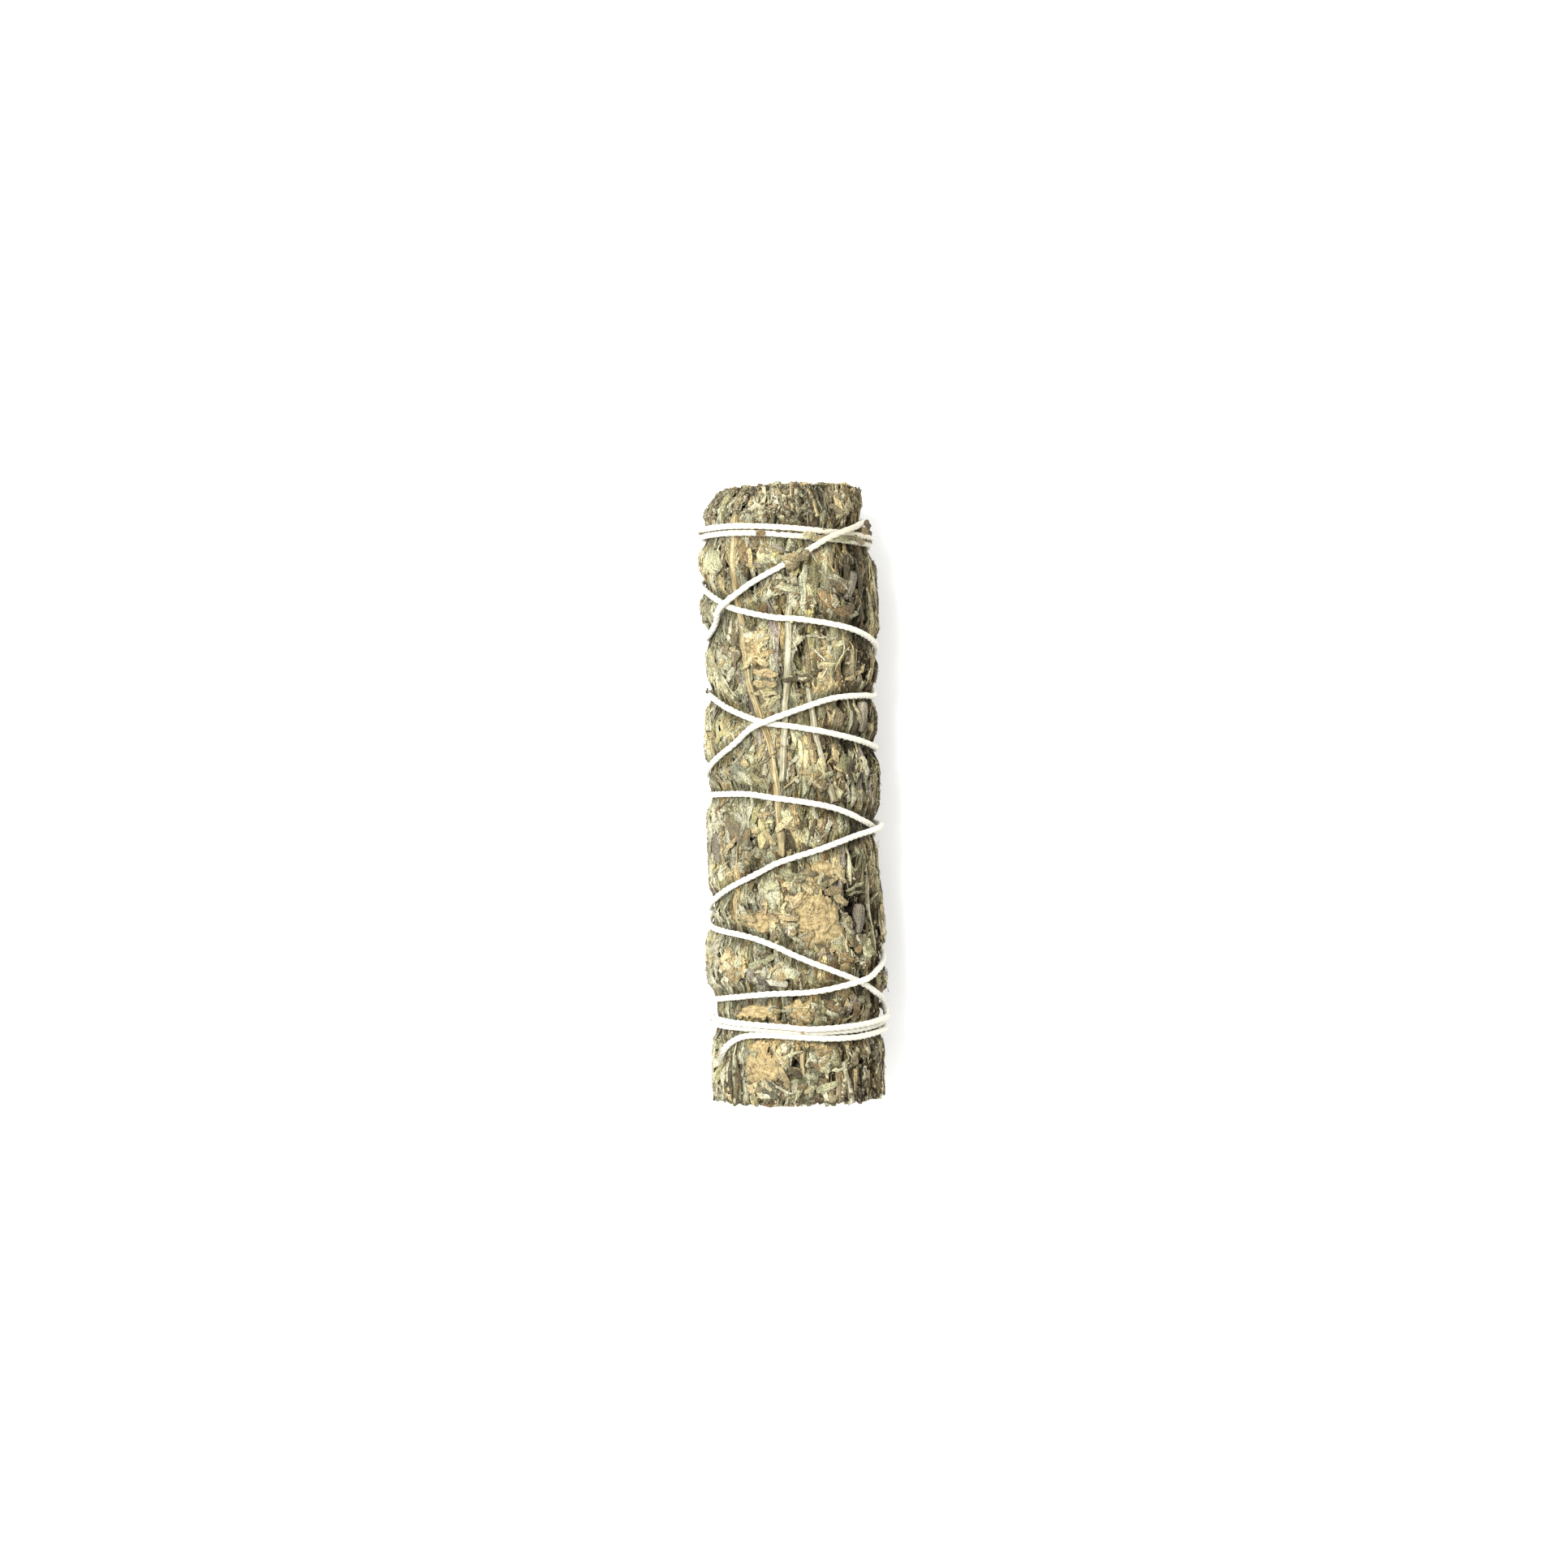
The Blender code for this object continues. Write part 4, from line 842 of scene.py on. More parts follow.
class NodeGraph:
    """Adds nodes to a material or group and links them in one call each."""

    def __init__(self, tree: bpy.types.NodeTree) -> None:
        """Works on this tree."""
        self.tree = tree

    def feed(self, socket: bpy.types.NodeSocket, value: Value) -> None:
        """Links a socket to its source, or sets it to a value.

        Args:
            socket: the input.
            value: the source or the value.
        """
        if isinstance(value, bpy.types.NodeSocket):
            self.tree.links.new(value, socket)
        else:
            socket.default_value = value

    def add(self, kind: str, settings: dict | None = None, **inputs: Value) -> bpy.types.Node:
        """Adds a node.

        Args:
            kind: the node's type name.
            settings: its own properties.
            inputs: value or source for each input: its name with _ for a space, or i and its number.

        Returns:
            The node.
        """
        node = self.tree.nodes.new(kind)
        for key, value in (settings or {}).items():
            setattr(node, key, value)
        for key, value in inputs.items():
            numbered = key[0] == "i" and key[1:].isdigit()
            self.feed(node.inputs[int(key[1:]) if numbered else key.replace("_", " ")], value)
        return node

    def math(self, operation: str, first: Value, second: Value) -> bpy.types.NodeSocket:
        """A Math node's result."""
        return self.add("ShaderNodeMath", {"operation": operation}, i0=first, i1=second).outputs[0]

    def times(self, first: Value, second: Value) -> bpy.types.NodeSocket:
        """The product of two numbers."""
        return self.math("MULTIPLY", first, second)

    def plus(self, first: Value, second: Value) -> bpy.types.NodeSocket:
        """The sum of two numbers."""
        return self.math("ADD", first, second)

    def mix(self, factor: Value, first: Value, second: Value, blend: str = "MIX") -> bpy.types.NodeSocket:
        """The colour that a Mix node gives.

        Args:
            factor: how much of the second colour there is.
            first: the first colour.
            second: the second colour.
            blend: how they are mixed.

        Returns:
            The colour.
        """
        node = self.add("ShaderNodeMix", {"data_type": "RGBA", "blend_type": blend})
        for number, value in ((0, factor), (6, first), (7, second)):
            self.feed(node.inputs[number], value)
        return node.outputs[2]

    def span(self, value: Value, low: float, high: float, to_low: Value = 0.0, to_high: Value = 1.0) -> Value:
        """A number mapped smoothly from one range to another.

        Args:
            value: the number.
            low: where the first range starts.
            high: where it ends.
            to_low: what the start becomes.
            to_high: what the end becomes.

        Returns:
            The mapped number.
        """
        settings = {"interpolation_type": "SMOOTHSTEP"}
        node = self.add("ShaderNodeMapRange", settings, i0=value, i1=low, i2=high, i3=to_low, i4=to_high)
        return node.outputs[0]

    def noise(self, place: Value, scale: Value, detail: float, **inputs: Value) -> bpy.types.Node:
        """A noise texture."""
        return self.add("ShaderNodeTexNoise", Vector=place, Scale=scale, Detail=detail, **inputs)

    def effect(self, group: bpy.types.NodeTree, place: Value, **inputs: Value) -> bpy.types.NodeOutputs:
        """The outputs of a shared effect."""
        return self.add("ShaderNodeGroup", {"node_tree": group}, Vector=place, **inputs).outputs

    def place(self) -> bpy.types.NodeSocket:
        """Where a point is, in metres."""
        return self.add("ShaderNodeTexCoord").outputs["Object"]

    def marks(self) -> bpy.types.NodeSocket:
        """The texture places that run along each copy."""
        return self.add("ShaderNodeUVMap", {"uv_map": "marks"}).outputs[0]

    def stored(self, name: str, output: str) -> bpy.types.NodeSocket:
        """An attribute of the mesh."""
        return self.add("ShaderNodeAttribute", {"attribute_name": name}).outputs[output]


class Effects:
    """The node groups that several finishes share, each made once."""

    @staticmethod
    def shared(
        name: str, inputs: dict[str, float], outputs: tuple[str, ...], fill: Callable
    ) -> bpy.types.NodeTree:
        """Makes a group with a vector input and some numbers, or finds it.

        Args:
            name: the group's name.
            inputs: its number inputs, with what they are unless something is fed to them.
            outputs: the names of the numbers that it gives.
            fill: adds its nodes, given its graph and the sockets of its inputs and outputs.

        Returns:
            The group.
        """
        found = bpy.data.node_groups.get(name)
        if found:
            return found
        group = bpy.data.node_groups.new(name, "ShaderNodeTree")
        group.interface.new_socket(name="Vector", in_out="INPUT", socket_type="NodeSocketVector")
        for key, value in inputs.items():
            socket = group.interface.new_socket(name=key, in_out="INPUT", socket_type="NodeSocketFloat")
            socket.default_value = value
        for key in outputs:
            group.interface.new_socket(name=key, in_out="OUTPUT", socket_type="NodeSocketFloat")
        graph = NodeGraph(group)
        fill(graph, graph.add("NodeGroupInput").outputs, graph.add("NodeGroupOutput").inputs)
        return group

    @staticmethod
    def felt() -> bpy.types.NodeTree:
        """Short matted hairs and dust on dry leaves: a mask of pale specks, a broad mottle and a height.

        Returns:
            The group.
        """

        def fill(graph: NodeGraph, given: bpy.types.NodeOutputs, result: bpy.types.NodeInputs) -> None:
            """Adds the nodes.

            Args:
                graph: the group's own graph.
                given: the sockets of its inputs.
                result: the sockets of its outputs.
            """
            fine = graph.noise(given["Vector"], given["Grain"], 5.0, Roughness=0.8).outputs[0]
            broad = graph.noise(given["Vector"], given["Patch"], 5.0, Roughness=0.65, Distortion=0.6)
            broad = broad.outputs[0]
            graph.feed(result["Speck"], graph.span(fine, 0.40, 0.63))
            graph.feed(result["Mottle"], graph.span(broad, 0.34, 0.66))
            graph.feed(result["Height"], graph.plus(graph.times(fine, 0.55), graph.times(broad, 0.8)))

        return Effects.shared("felt", {"Grain": 3600.0, "Patch": 620.0}, ("Speck", "Mottle", "Height"), fill)

    @staticmethod
    def pebbles() -> bpy.types.NodeTree:
        """The puckered skin of a dry leaf: a mask of the creases, which the finishes darken as painted shade,
        and a height.

        Returns:
            The group.
        """

        def fill(graph: NodeGraph, given: bpy.types.NodeOutputs, result: bpy.types.NodeInputs) -> None:
            """Adds the nodes.

            Args:
                graph: the group's own graph.
                given: the sockets of its inputs.
                result: the sockets of its outputs.
            """
            bend = graph.noise(given["Vector"], 1400.0, 2.0).outputs[1]
            settings = {"operation": "MULTIPLY_ADD"}
            shift = graph.add("ShaderNodeVectorMath", settings, i0=bend, i1=(0.0004,) * 3, i2=given["Vector"])
            cells = graph.add(
                "ShaderNodeTexVoronoi", Vector=shift.outputs[0], Scale=given["Cells"], Detail=1.0,
                Roughness=0.6,
            ).outputs["Distance"]
            graph.feed(result["CreaseShade"], graph.span(cells, 0.38, 0.78))
            graph.feed(result["Height"], graph.math("SUBTRACT", 1.0, cells))

        return Effects.shared("pebbles", {"Cells": 2600.0}, ("CreaseShade", "Height"), fill)

    @staticmethod
    def fibres() -> bpy.types.NodeTree:
        """Streaks that run along a piece: a mask and a height.

        Returns:
            The group.
        """

        def fill(graph: NodeGraph, given: bpy.types.NodeOutputs, result: bpy.types.NodeInputs) -> None:
            """Adds the nodes.

            Args:
                graph: the group's own graph.
                given: the sockets of its inputs.
                result: the sockets of its outputs.
            """
            apart = graph.add("ShaderNodeSeparateXYZ", Vector=given["Vector"]).outputs
            across = graph.times(apart[0], given["Lines"])
            along = graph.times(apart[1], given["Stretch"])
            at = graph.add("ShaderNodeCombineXYZ", X=across, Y=along, Z=0.0).outputs[0]
            streak = graph.noise(at, 1.0, 3.0, Roughness=0.6).outputs[0]
            graph.feed(result["Streak"], graph.span(streak, 0.36, 0.64))
            graph.feed(result["Height"], streak)

        return Effects.shared("fibres", {"Lines": 14.0, "Stretch": 0.5}, ("Streak", "Height"), fill)


@dataclass(frozen=True)
class Finish:
    """What every finish of the bunch has: its name, how it shines, how deep its relief is, and its felt."""

    name: str
    roughness: float = 0.9
    specular: float = 0.25
    relief: float = 0.16 * MM
    relief_strength: float = 0.8
    grain: float = 5200.0
    patch: float = 700.0

    def start(self) -> tuple[bpy.types.Material, NodeGraph, bpy.types.Node, bpy.types.NodeSocket]:
        """A new material, its graph, its shader and the place of each point.

        Returns:
            The material, its graph, its shader and the place that its textures read.
        """
        material = bpy.data.materials.new(self.name)
        material.use_nodes = True
        graph = NodeGraph(material.node_tree)
        shader = material.node_tree.nodes["Principled BSDF"]
        shader.inputs["Roughness"].default_value = self.roughness
        shader.inputs["Specular IOR Level"].default_value = self.specular
        return material, graph, shader, graph.place()

    def felted(self, graph: NodeGraph, place: Value) -> bpy.types.NodeOutputs:
        """The felt effect with this finish's grain."""
        return graph.effect(Effects.felt(), place, Grain=self.grain, Patch=self.patch)

    def end(self, graph: NodeGraph, shader: bpy.types.Node, colour: Value, height: Value) -> None:
        """Feeds the shader.

        Args:
            graph: the material's graph.
            shader: its shader.
            colour: the colour it is fed.
            height: the relief it is fed.
        """
        bump = graph.add("ShaderNodeBump", Strength=self.relief_strength, Distance=self.relief, Height=height)
        graph.feed(shader.inputs["Base Color"], colour)
        graph.feed(shader.inputs["Normal"], bump.outputs[0])


@dataclass(frozen=True)
class LeafFinish(Finish):
    """Dry, felted leaves: each has its own tone, pale hairs and a lighter midrib; creases and leaves that lie
    deep are painted dark as shade.
    """

    cells: float = 3000.0
    grain_shape: tuple = (1.0, 0.5, 1.0)
    lines: float = 9.0
    stretch: float = 1.3
    crease_shade_share: float = 0.9
    mottle_share: float = 0.5
    streak_share: float = 0.4
    # the colour of painted shade for leaves that lie deep, for creases and for gaps
    hollow: tuple = linear(34, 27, 14)
    felt: tuple = linear(224, 220, 194)
    felt_share: float = 0.68
    felt_from: float = 0.45
    felt_over_dark_to_light: tuple = (0.06, 0.58, 0.12, 0.45)
    painted_depth_shade: tuple = (0.05, 0.86, 0.96, 0.0)
    drift: float = 165.0
    drift_range: tuple = (0.68, 1.30)
    rib_relief: float = 0.4
    pebble_relief: float = 0.9

    def make(self) -> bpy.types.Material:
        """Makes the material.

        Returns:
            The material.
        """
        material, graph, shader, place = self.start()
        felt = self.felted(graph, place)
        drawn = graph.add("ShaderNodeVectorMath", {"operation": "MULTIPLY"}, i0=place, i1=self.grain_shape)
        pebbles = graph.effect(Effects.pebbles(), drawn.outputs[0], Cells=self.cells)
        fibres = graph.effect(Effects.fibres(), graph.marks(), Lines=self.lines, Stretch=self.stretch)
        own, shade = graph.stored("tone", "Color"), graph.stored("shade", "Fac")
        light = graph.span(graph.noise(place, self.drift, 2.0).outputs[0], 0.38, 0.62, *self.drift_range)
        tone = graph.add("ShaderNodeVectorMath", {"operation": "SCALE"}, i0=own, i3=light).outputs[0]
        bright = graph.add("ShaderNodeRGBToBW", Color=tone).outputs[0]
        # dark: the painted shade colour, the tone darkened towards the hollow colour; the random mottle also
        # darkens towards it
        dusk = graph.mix(1.0, tone, self.hollow, "MULTIPLY")
        dark = graph.mix(0.5, dusk, self.hollow)
        mottle = graph.mix(graph.times(felt["Mottle"], self.mottle_share), tone, dark)
        # painted shade in the creases of the puckered skin
        grained = graph.mix(graph.times(pebbles["CreaseShade"], self.crease_shade_share), mottle, dark)
        streaked = graph.mix(graph.times(fibres["Streak"], self.streak_share), grained, tone)
        # the pale felt specks fade out on leaves that lie deep: real hairs with painted shade over them
        share = graph.times(felt["Speck"], graph.span(shade, self.felt_from, 1.0, 0.0, self.felt_share))
        hairs = graph.mix(graph.span(bright, *self.felt_over_dark_to_light), tone, self.felt)
        haired = graph.mix(share, streaked, hairs)
        # painted shade: the deeper a leaf lies, the more of the dark colour it takes
        colour = graph.mix(graph.span(shade, *self.painted_depth_shade), haired, dark)
        raised = graph.plus(felt["Height"], graph.times(fibres["Height"], self.rib_relief))
        height = graph.plus(raised, graph.times(pebbles["Height"], self.pebble_relief))
        self.end(graph, shader, colour, height)
        return material


@dataclass(frozen=True)
class StalkFinish(Finish):
    """Dry stems with fine ridges, dark flecks and a dusty sheen of their own tone."""

    relief: float = 0.12 * MM
    grain: float = 4200.0
    patch: float = 900.0
    ridge: tuple = linear(207, 196, 157)
    groove: tuple = linear(114, 96, 62)
    fleck: tuple = linear(64, 52, 33)
    lines: float = 15.0
    stretch: float = 0.9
    mottle_share: float = 0.4
    fleck_share: float = 0.3
    felt_relief: float = 0.3

    def make(self) -> bpy.types.Material:
        """Makes the material.

        Returns:
            The material.
        """
        material, graph, shader, place = self.start()
        felt = self.felted(graph, place)
        fibres = graph.effect(Effects.fibres(), graph.marks(), Lines=self.lines, Stretch=self.stretch)
        tone = graph.stored("tone", "Color")
        bark = graph.mix(fibres["Streak"], self.groove, self.ridge)
        toned = graph.mix(1.0, bark, tone, "MULTIPLY")
        mottled = graph.mix(graph.times(felt["Mottle"], self.mottle_share), toned, self.groove)
        flecks = graph.times(graph.math("SUBTRACT", 1.0, felt["Speck"]), self.fleck_share)
        colour = graph.mix(flecks, mottled, self.fleck)
        height = graph.plus(fibres["Height"], graph.times(felt["Height"], self.felt_relief))
        self.end(graph, shader, colour, height)
        return material


@dataclass(frozen=True)
class PaperFinish(Finish):
    """Papery bracts: fanned veins, fine cross wrinkles, brown patches, pale ribs and specks that are partly
    rubbed paper and partly painted highlight, and painted shade in the creases and where they tuck under.
    """

    patch: float = 420.0
    cells: float = 3200.0
    body: tuple = linear(181, 152, 92)
    brown: tuple = linear(128, 101, 56)
    vein: tuple = linear(48, 36, 20)
    wear_and_highlight: tuple = linear(208, 190, 143)
    veins: float = 15.0
    wrinkles: float = 2.4
    wrinkle_stretch: float = 11.0
    vein_share: float = 0.7
    crease_shade_share: float = 0.5
    wear_and_highlight_share: float = 0.33
    painted_depth_shade: tuple = (0.0, 0.6, 0.85, 0.0)
    wrinkle_relief: float = 0.7
    pebble_relief: float = 0.5

    def make(self) -> bpy.types.Material:
        """Makes the material.

        Returns:
            The material.
        """
        material, graph, shader, place = self.start()
        felt = self.felted(graph, place)
        pebbles = graph.effect(Effects.pebbles(), place, Cells=self.cells)
        marks = graph.marks()
        fibres = graph.effect(Effects.fibres(), marks, Lines=self.veins, Stretch=1.0)
        wrinkles = graph.effect(Effects.fibres(), marks, Lines=self.wrinkles, Stretch=self.wrinkle_stretch)
        tone, shade = graph.stored("tone", "Color"), graph.stored("shade", "Fac")
        patched = graph.mix(felt["Mottle"], self.body, self.brown)
        veined = graph.mix(graph.times(fibres["Streak"], self.vein_share), patched, self.vein)
        # the creases take the vein colour: painted shade in them, partly also the dark cracks of the bracts
        grained = graph.mix(graph.times(pebbles["CreaseShade"], self.crease_shade_share), veined, self.vein)
        toned = graph.mix(1.0, grained, tone, "MULTIPLY")
        # pale on the wrinkle ribs and in specks: partly rubbed paper, partly painted highlight on the raised
        # ribs
        wear_and_highlight = graph.times(graph.plus(felt["Speck"], wrinkles["Streak"]), self.wear_and_highlight_share)
        pale = graph.mix(wear_and_highlight, toned, self.wear_and_highlight)
        # painted shade: the foot and the margins, which tuck under, take the vein colour
        colour = graph.mix(graph.span(shade, *self.painted_depth_shade), pale, self.vein)
        lines = graph.plus(fibres["Height"], graph.times(wrinkles["Height"], self.wrinkle_relief))
        height = graph.plus(lines, graph.times(pebbles["Height"], self.pebble_relief))
        self.end(graph, shader, colour, height)
        return material


@dataclass(frozen=True)
class CottonFinish(Finish):
    """Off-white spun cotton with fine fibres and a trace of leaf dust."""

    relief: float = 0.08 * MM
    patch: float = 1500.0
    cotton: tuple = linear(206, 204, 190)
    hollow: tuple = linear(164, 157, 131)
    dust: tuple = linear(157, 145, 111)
    lines: float = 9.0
    stretch: float = 1.6
    streak_share: float = 0.3
    settling: tuple = (0.0, 1.0, 0.35, 1.0)
    dusty_to_clean: tuple = (0.0, 1.0, 0.85, 0.05)
    sheen: float = 0.25

    def make(self) -> bpy.types.Material:
        """Makes the material.

        Returns:
            The material.
        """
        material, graph, shader, place = self.start()
        felt = self.felted(graph, place)
        fibres = graph.effect(Effects.fibres(), graph.marks(), Lines=self.lines, Stretch=self.stretch)
        shade = graph.stored("shade", "Fac")
        spun = graph.mix(graph.times(fibres["Streak"], self.streak_share), self.cotton, self.hollow)
        settled = graph.span(felt["Speck"], *self.settling)
        colour = graph.mix(graph.times(settled, graph.span(shade, *self.dusty_to_clean)), spun, self.dust)
        shader.inputs["Sheen Weight"].default_value = self.sheen
        self.end(graph, shader, colour, graph.plus(fibres["Height"], felt["Height"]))
        return material


@dataclass(frozen=True)
class FloorFinish(Finish):
    """The plain pale surface under the bunch."""

    relief_strength: float = 0.02
    pale: tuple = linear(253, 253, 252)
    clouded: tuple = linear(240, 240, 238)
    cloud_share: float = 0.02
    clouds: float = 40.0

    def make(self) -> bpy.types.Material:
        """Makes the material.

        Returns:
            The material.
        """
        material, graph, shader, place = self.start()
        noise = graph.noise(place, self.clouds, 2.0).outputs[0]
        colour = graph.mix(graph.times(noise, self.cloud_share), self.pale, self.clouded)
        self.end(graph, shader, colour, noise)
        return material


@dataclass
class Tones:
    """Draws the tones of leaves, which keep together in patches: the groups' radius is in millimetres."""

    rng: np.random.Generator
    warmth: tuple = (1.03, 1.01, 0.84)
    lightness: tuple = (0.86, 1.16)
    hue: tuple = (0.97, 1.03)
    crumb_lightness: tuple = (0.63, 0.9)
    end_lightness: float = 1.2
    group_radius: float = 14.5

    def __post_init__(self) -> None:
        """Sets the patches."""
        draw = self.rng
        self.waves = [
            (int(draw.integers(1, 5)), draw.uniform(60, 420), draw.uniform(0, TAU)) for _ in range(7)
        ]

    def patch(self, angle: float, y: float, kind: int) -> float:
        """A slow variation over the surface, about -1 to 1."""
        picked = self.waves[kind::2]
        return sum(math.sin(k * angle + w * y + p) for k, w, p in picked) / len(picked)

    def leaf(self, angle: float, y: float) -> np.ndarray:
        """A leaf's colour by its place and by chance: paler and greyer at the left and darker at the right,
        mostly painted light and shade of a lamp at the left, partly browner leaves on the right.

        Args:
            angle: where the leaf lies about the axis.
            y: where it lies along the bunch.

        Returns:
            The colour.
        """
        warm, grey = self.patch(angle, y, 0), self.patch(angle, y, 1)
        # painted light and shade: leaves facing the left are paler and those facing the right darker, most of
        # all at the far right
        left, right = max(0.0, -math.cos(angle)), max(0.0, math.cos(angle))
        weights = {
            LeafTone.GREY: 0.20 + 0.45 * left + 0.14 * grey - 0.16 * right,
            LeafTone.SAGE_PALE: 0.20 + 0.10 * left - 0.12 * right,
            LeafTone.SAGE: 0.16 + 0.06 * grey,
            LeafTone.OLIVE: 0.09 + 0.10 * right,
            LeafTone.TAUPE: 0.10 + 0.22 * right,
            LeafTone.TAN: 0.10 + 0.10 * warm,
            LeafTone.STRAW: 0.07 + 0.05 * warm,
            LeafTone.TAN_BROWN: 0.08 + 0.07 * warm + 0.06 * right,
            LeafTone.BROWN: 0.05 + 0.26 * right,
            LeafTone.DARK: 0.02 + 0.12 * right + 0.55 * right * right,
            LeafTone.PURPLE: 0.03 + 0.03 * grey,
            LeafTone.YELLOW: 0.012,
        }
        shares = np.array(list(weights.values())).clip(0.005)
        picked = list(weights)[self.rng.choice(len(shares), p=shares / shares.sum())]
        return np.clip(self.vary(picked) * self.group(angle, y), 0, 0.9)

    def group(self, angle: float, y: float) -> float:
        """How light the group of leaves at a place is.

        Args:
            angle: where about the axis.
            y: where along the bunch.

        Returns:
            1 where there is no group, less in a dark one and more in a light one.
        """
        light = 1.0
        for degrees, at, reach, brightness in LEAF_GROUPS:
            round_by = (angle - math.radians(degrees) + math.pi) % TAU - math.pi
            apart = math.hypot(round_by * self.group_radius, y / MM - at) / reach
            light *= 1 + (brightness - 1) * math.exp(-apart * apart)
        return light

    def vary(self, tone: LeafTone) -> np.ndarray:
        """That tone, a little lighter, darker or warmer by chance."""
        near = np.array(TONES[tone][:3]) * self.warmth * self.rng.uniform(*self.lightness)
        return np.clip(near * self.rng.uniform(*self.hue, 3), 0, 0.86)

    def one_of(self, tones: tuple[LeafTone, ...]) -> LeafTone:
        """One of these tones by chance."""
        return tones[self.rng.integers(len(tones))]

    def end(self) -> np.ndarray:
        """The colour of a cut leaf or twig."""
        return np.clip(self.end_lightness * self.vary(self.one_of(END_TONES)), 0, 1)

    def crumb(self) -> np.ndarray:
        """The colour of a broken bit of leaf, bract or stem."""
        colour = linear(*CRUMB_COLOURS[self.rng.integers(len(CRUMB_COLOURS))])[:3]
        return np.array(colour) * self.rng.uniform(*self.crumb_lightness)


@dataclass
class Stem:
    """One dry stem that lies in the surface, with its joints as ranges in millimetres."""

    name: str
    route: tuple
    radius: float
    finish: StemFinish
    form: BunchForm
    sink: float = 0.63 * MM
    sides: int = 14
    step: float = 0.5 * MM
    sway: float = 0.06 * MM
    sway_turns: float = 900.0
    ridge: float = 0.09
    first_joint: tuple = (3.0, 7.0)
    joint_gap: tuple = (9.0, 13.0)
    joint_swell: float = 0.22
    joint_reach: float = 0.7 * MM
    roughness: float = 0.05
    slimmer: float = 0.92
    fray: float = 0.12 * MM
    lightness: tuple = (0.9, 1.05)
    mark_scale: float = 150.0

    def __post_init__(self) -> None:
        """Works out where its centre runs."""
        self.run, self.angle, self.y = smooth_route(self.route, self.step, self.form.radius)
        self.height = np.full(len(self.run), -self.sink)

    def build(self, material: bpy.types.Material, rng: np.random.Generator) -> bpy.types.Object:
        """Makes the stem: ridged, swollen at its joints, and ragged where it was cut.

        Args:
            material: what it is dressed in.
            rng: draws its joints and its raggedness.

        Returns:
            The piece.
        """
        line = self.form.place(self.angle, self.y, self.height)
        line[:, 0] += self.sway * np.sin(self.run * self.sway_turns + rng.uniform(0, TAU))
        swing = np.arange(self.sides) / self.sides * TAU
        ridges = 1 + self.ridge * np.sign(np.sin(swing * self.sides / 2))[None, :]
        swell = np.ones(len(self.run))
        first, gap = rng.uniform(*self.first_joint) * MM, rng.uniform(*self.joint_gap) * MM
        for joint in np.arange(first, self.run[-1], gap):
            swell += self.joint_swell * np.exp(-(((self.run - joint) / self.joint_reach) ** 2))
        rough = 1 + self.roughness * rng.standard_normal((len(self.run), self.sides))
        reach = self.radius * self.slimmer * ridges * swell[:, None] * rough
        points, round_to, along_to = tube_points(line, self.sides, reach)
        points[:self.sides] += rng.normal(0, self.fray, (self.sides, 3))
        points[-self.sides - 2:-2] += rng.normal(0, self.fray, (self.sides, 3))
        tone = np.array(STEM_TINTS[self.finish]) * rng.uniform(*self.lightness)
        marks = np.stack([round_to, along_to * self.mark_scale], axis=1)
        batch = Batch()
        batch.add(tube_pattern(len(line), self.sides), points, marks, tone, 1.0)
        piece = batch.build(f"{self.name}_dressed", material)
        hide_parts(self.name)
        return piece


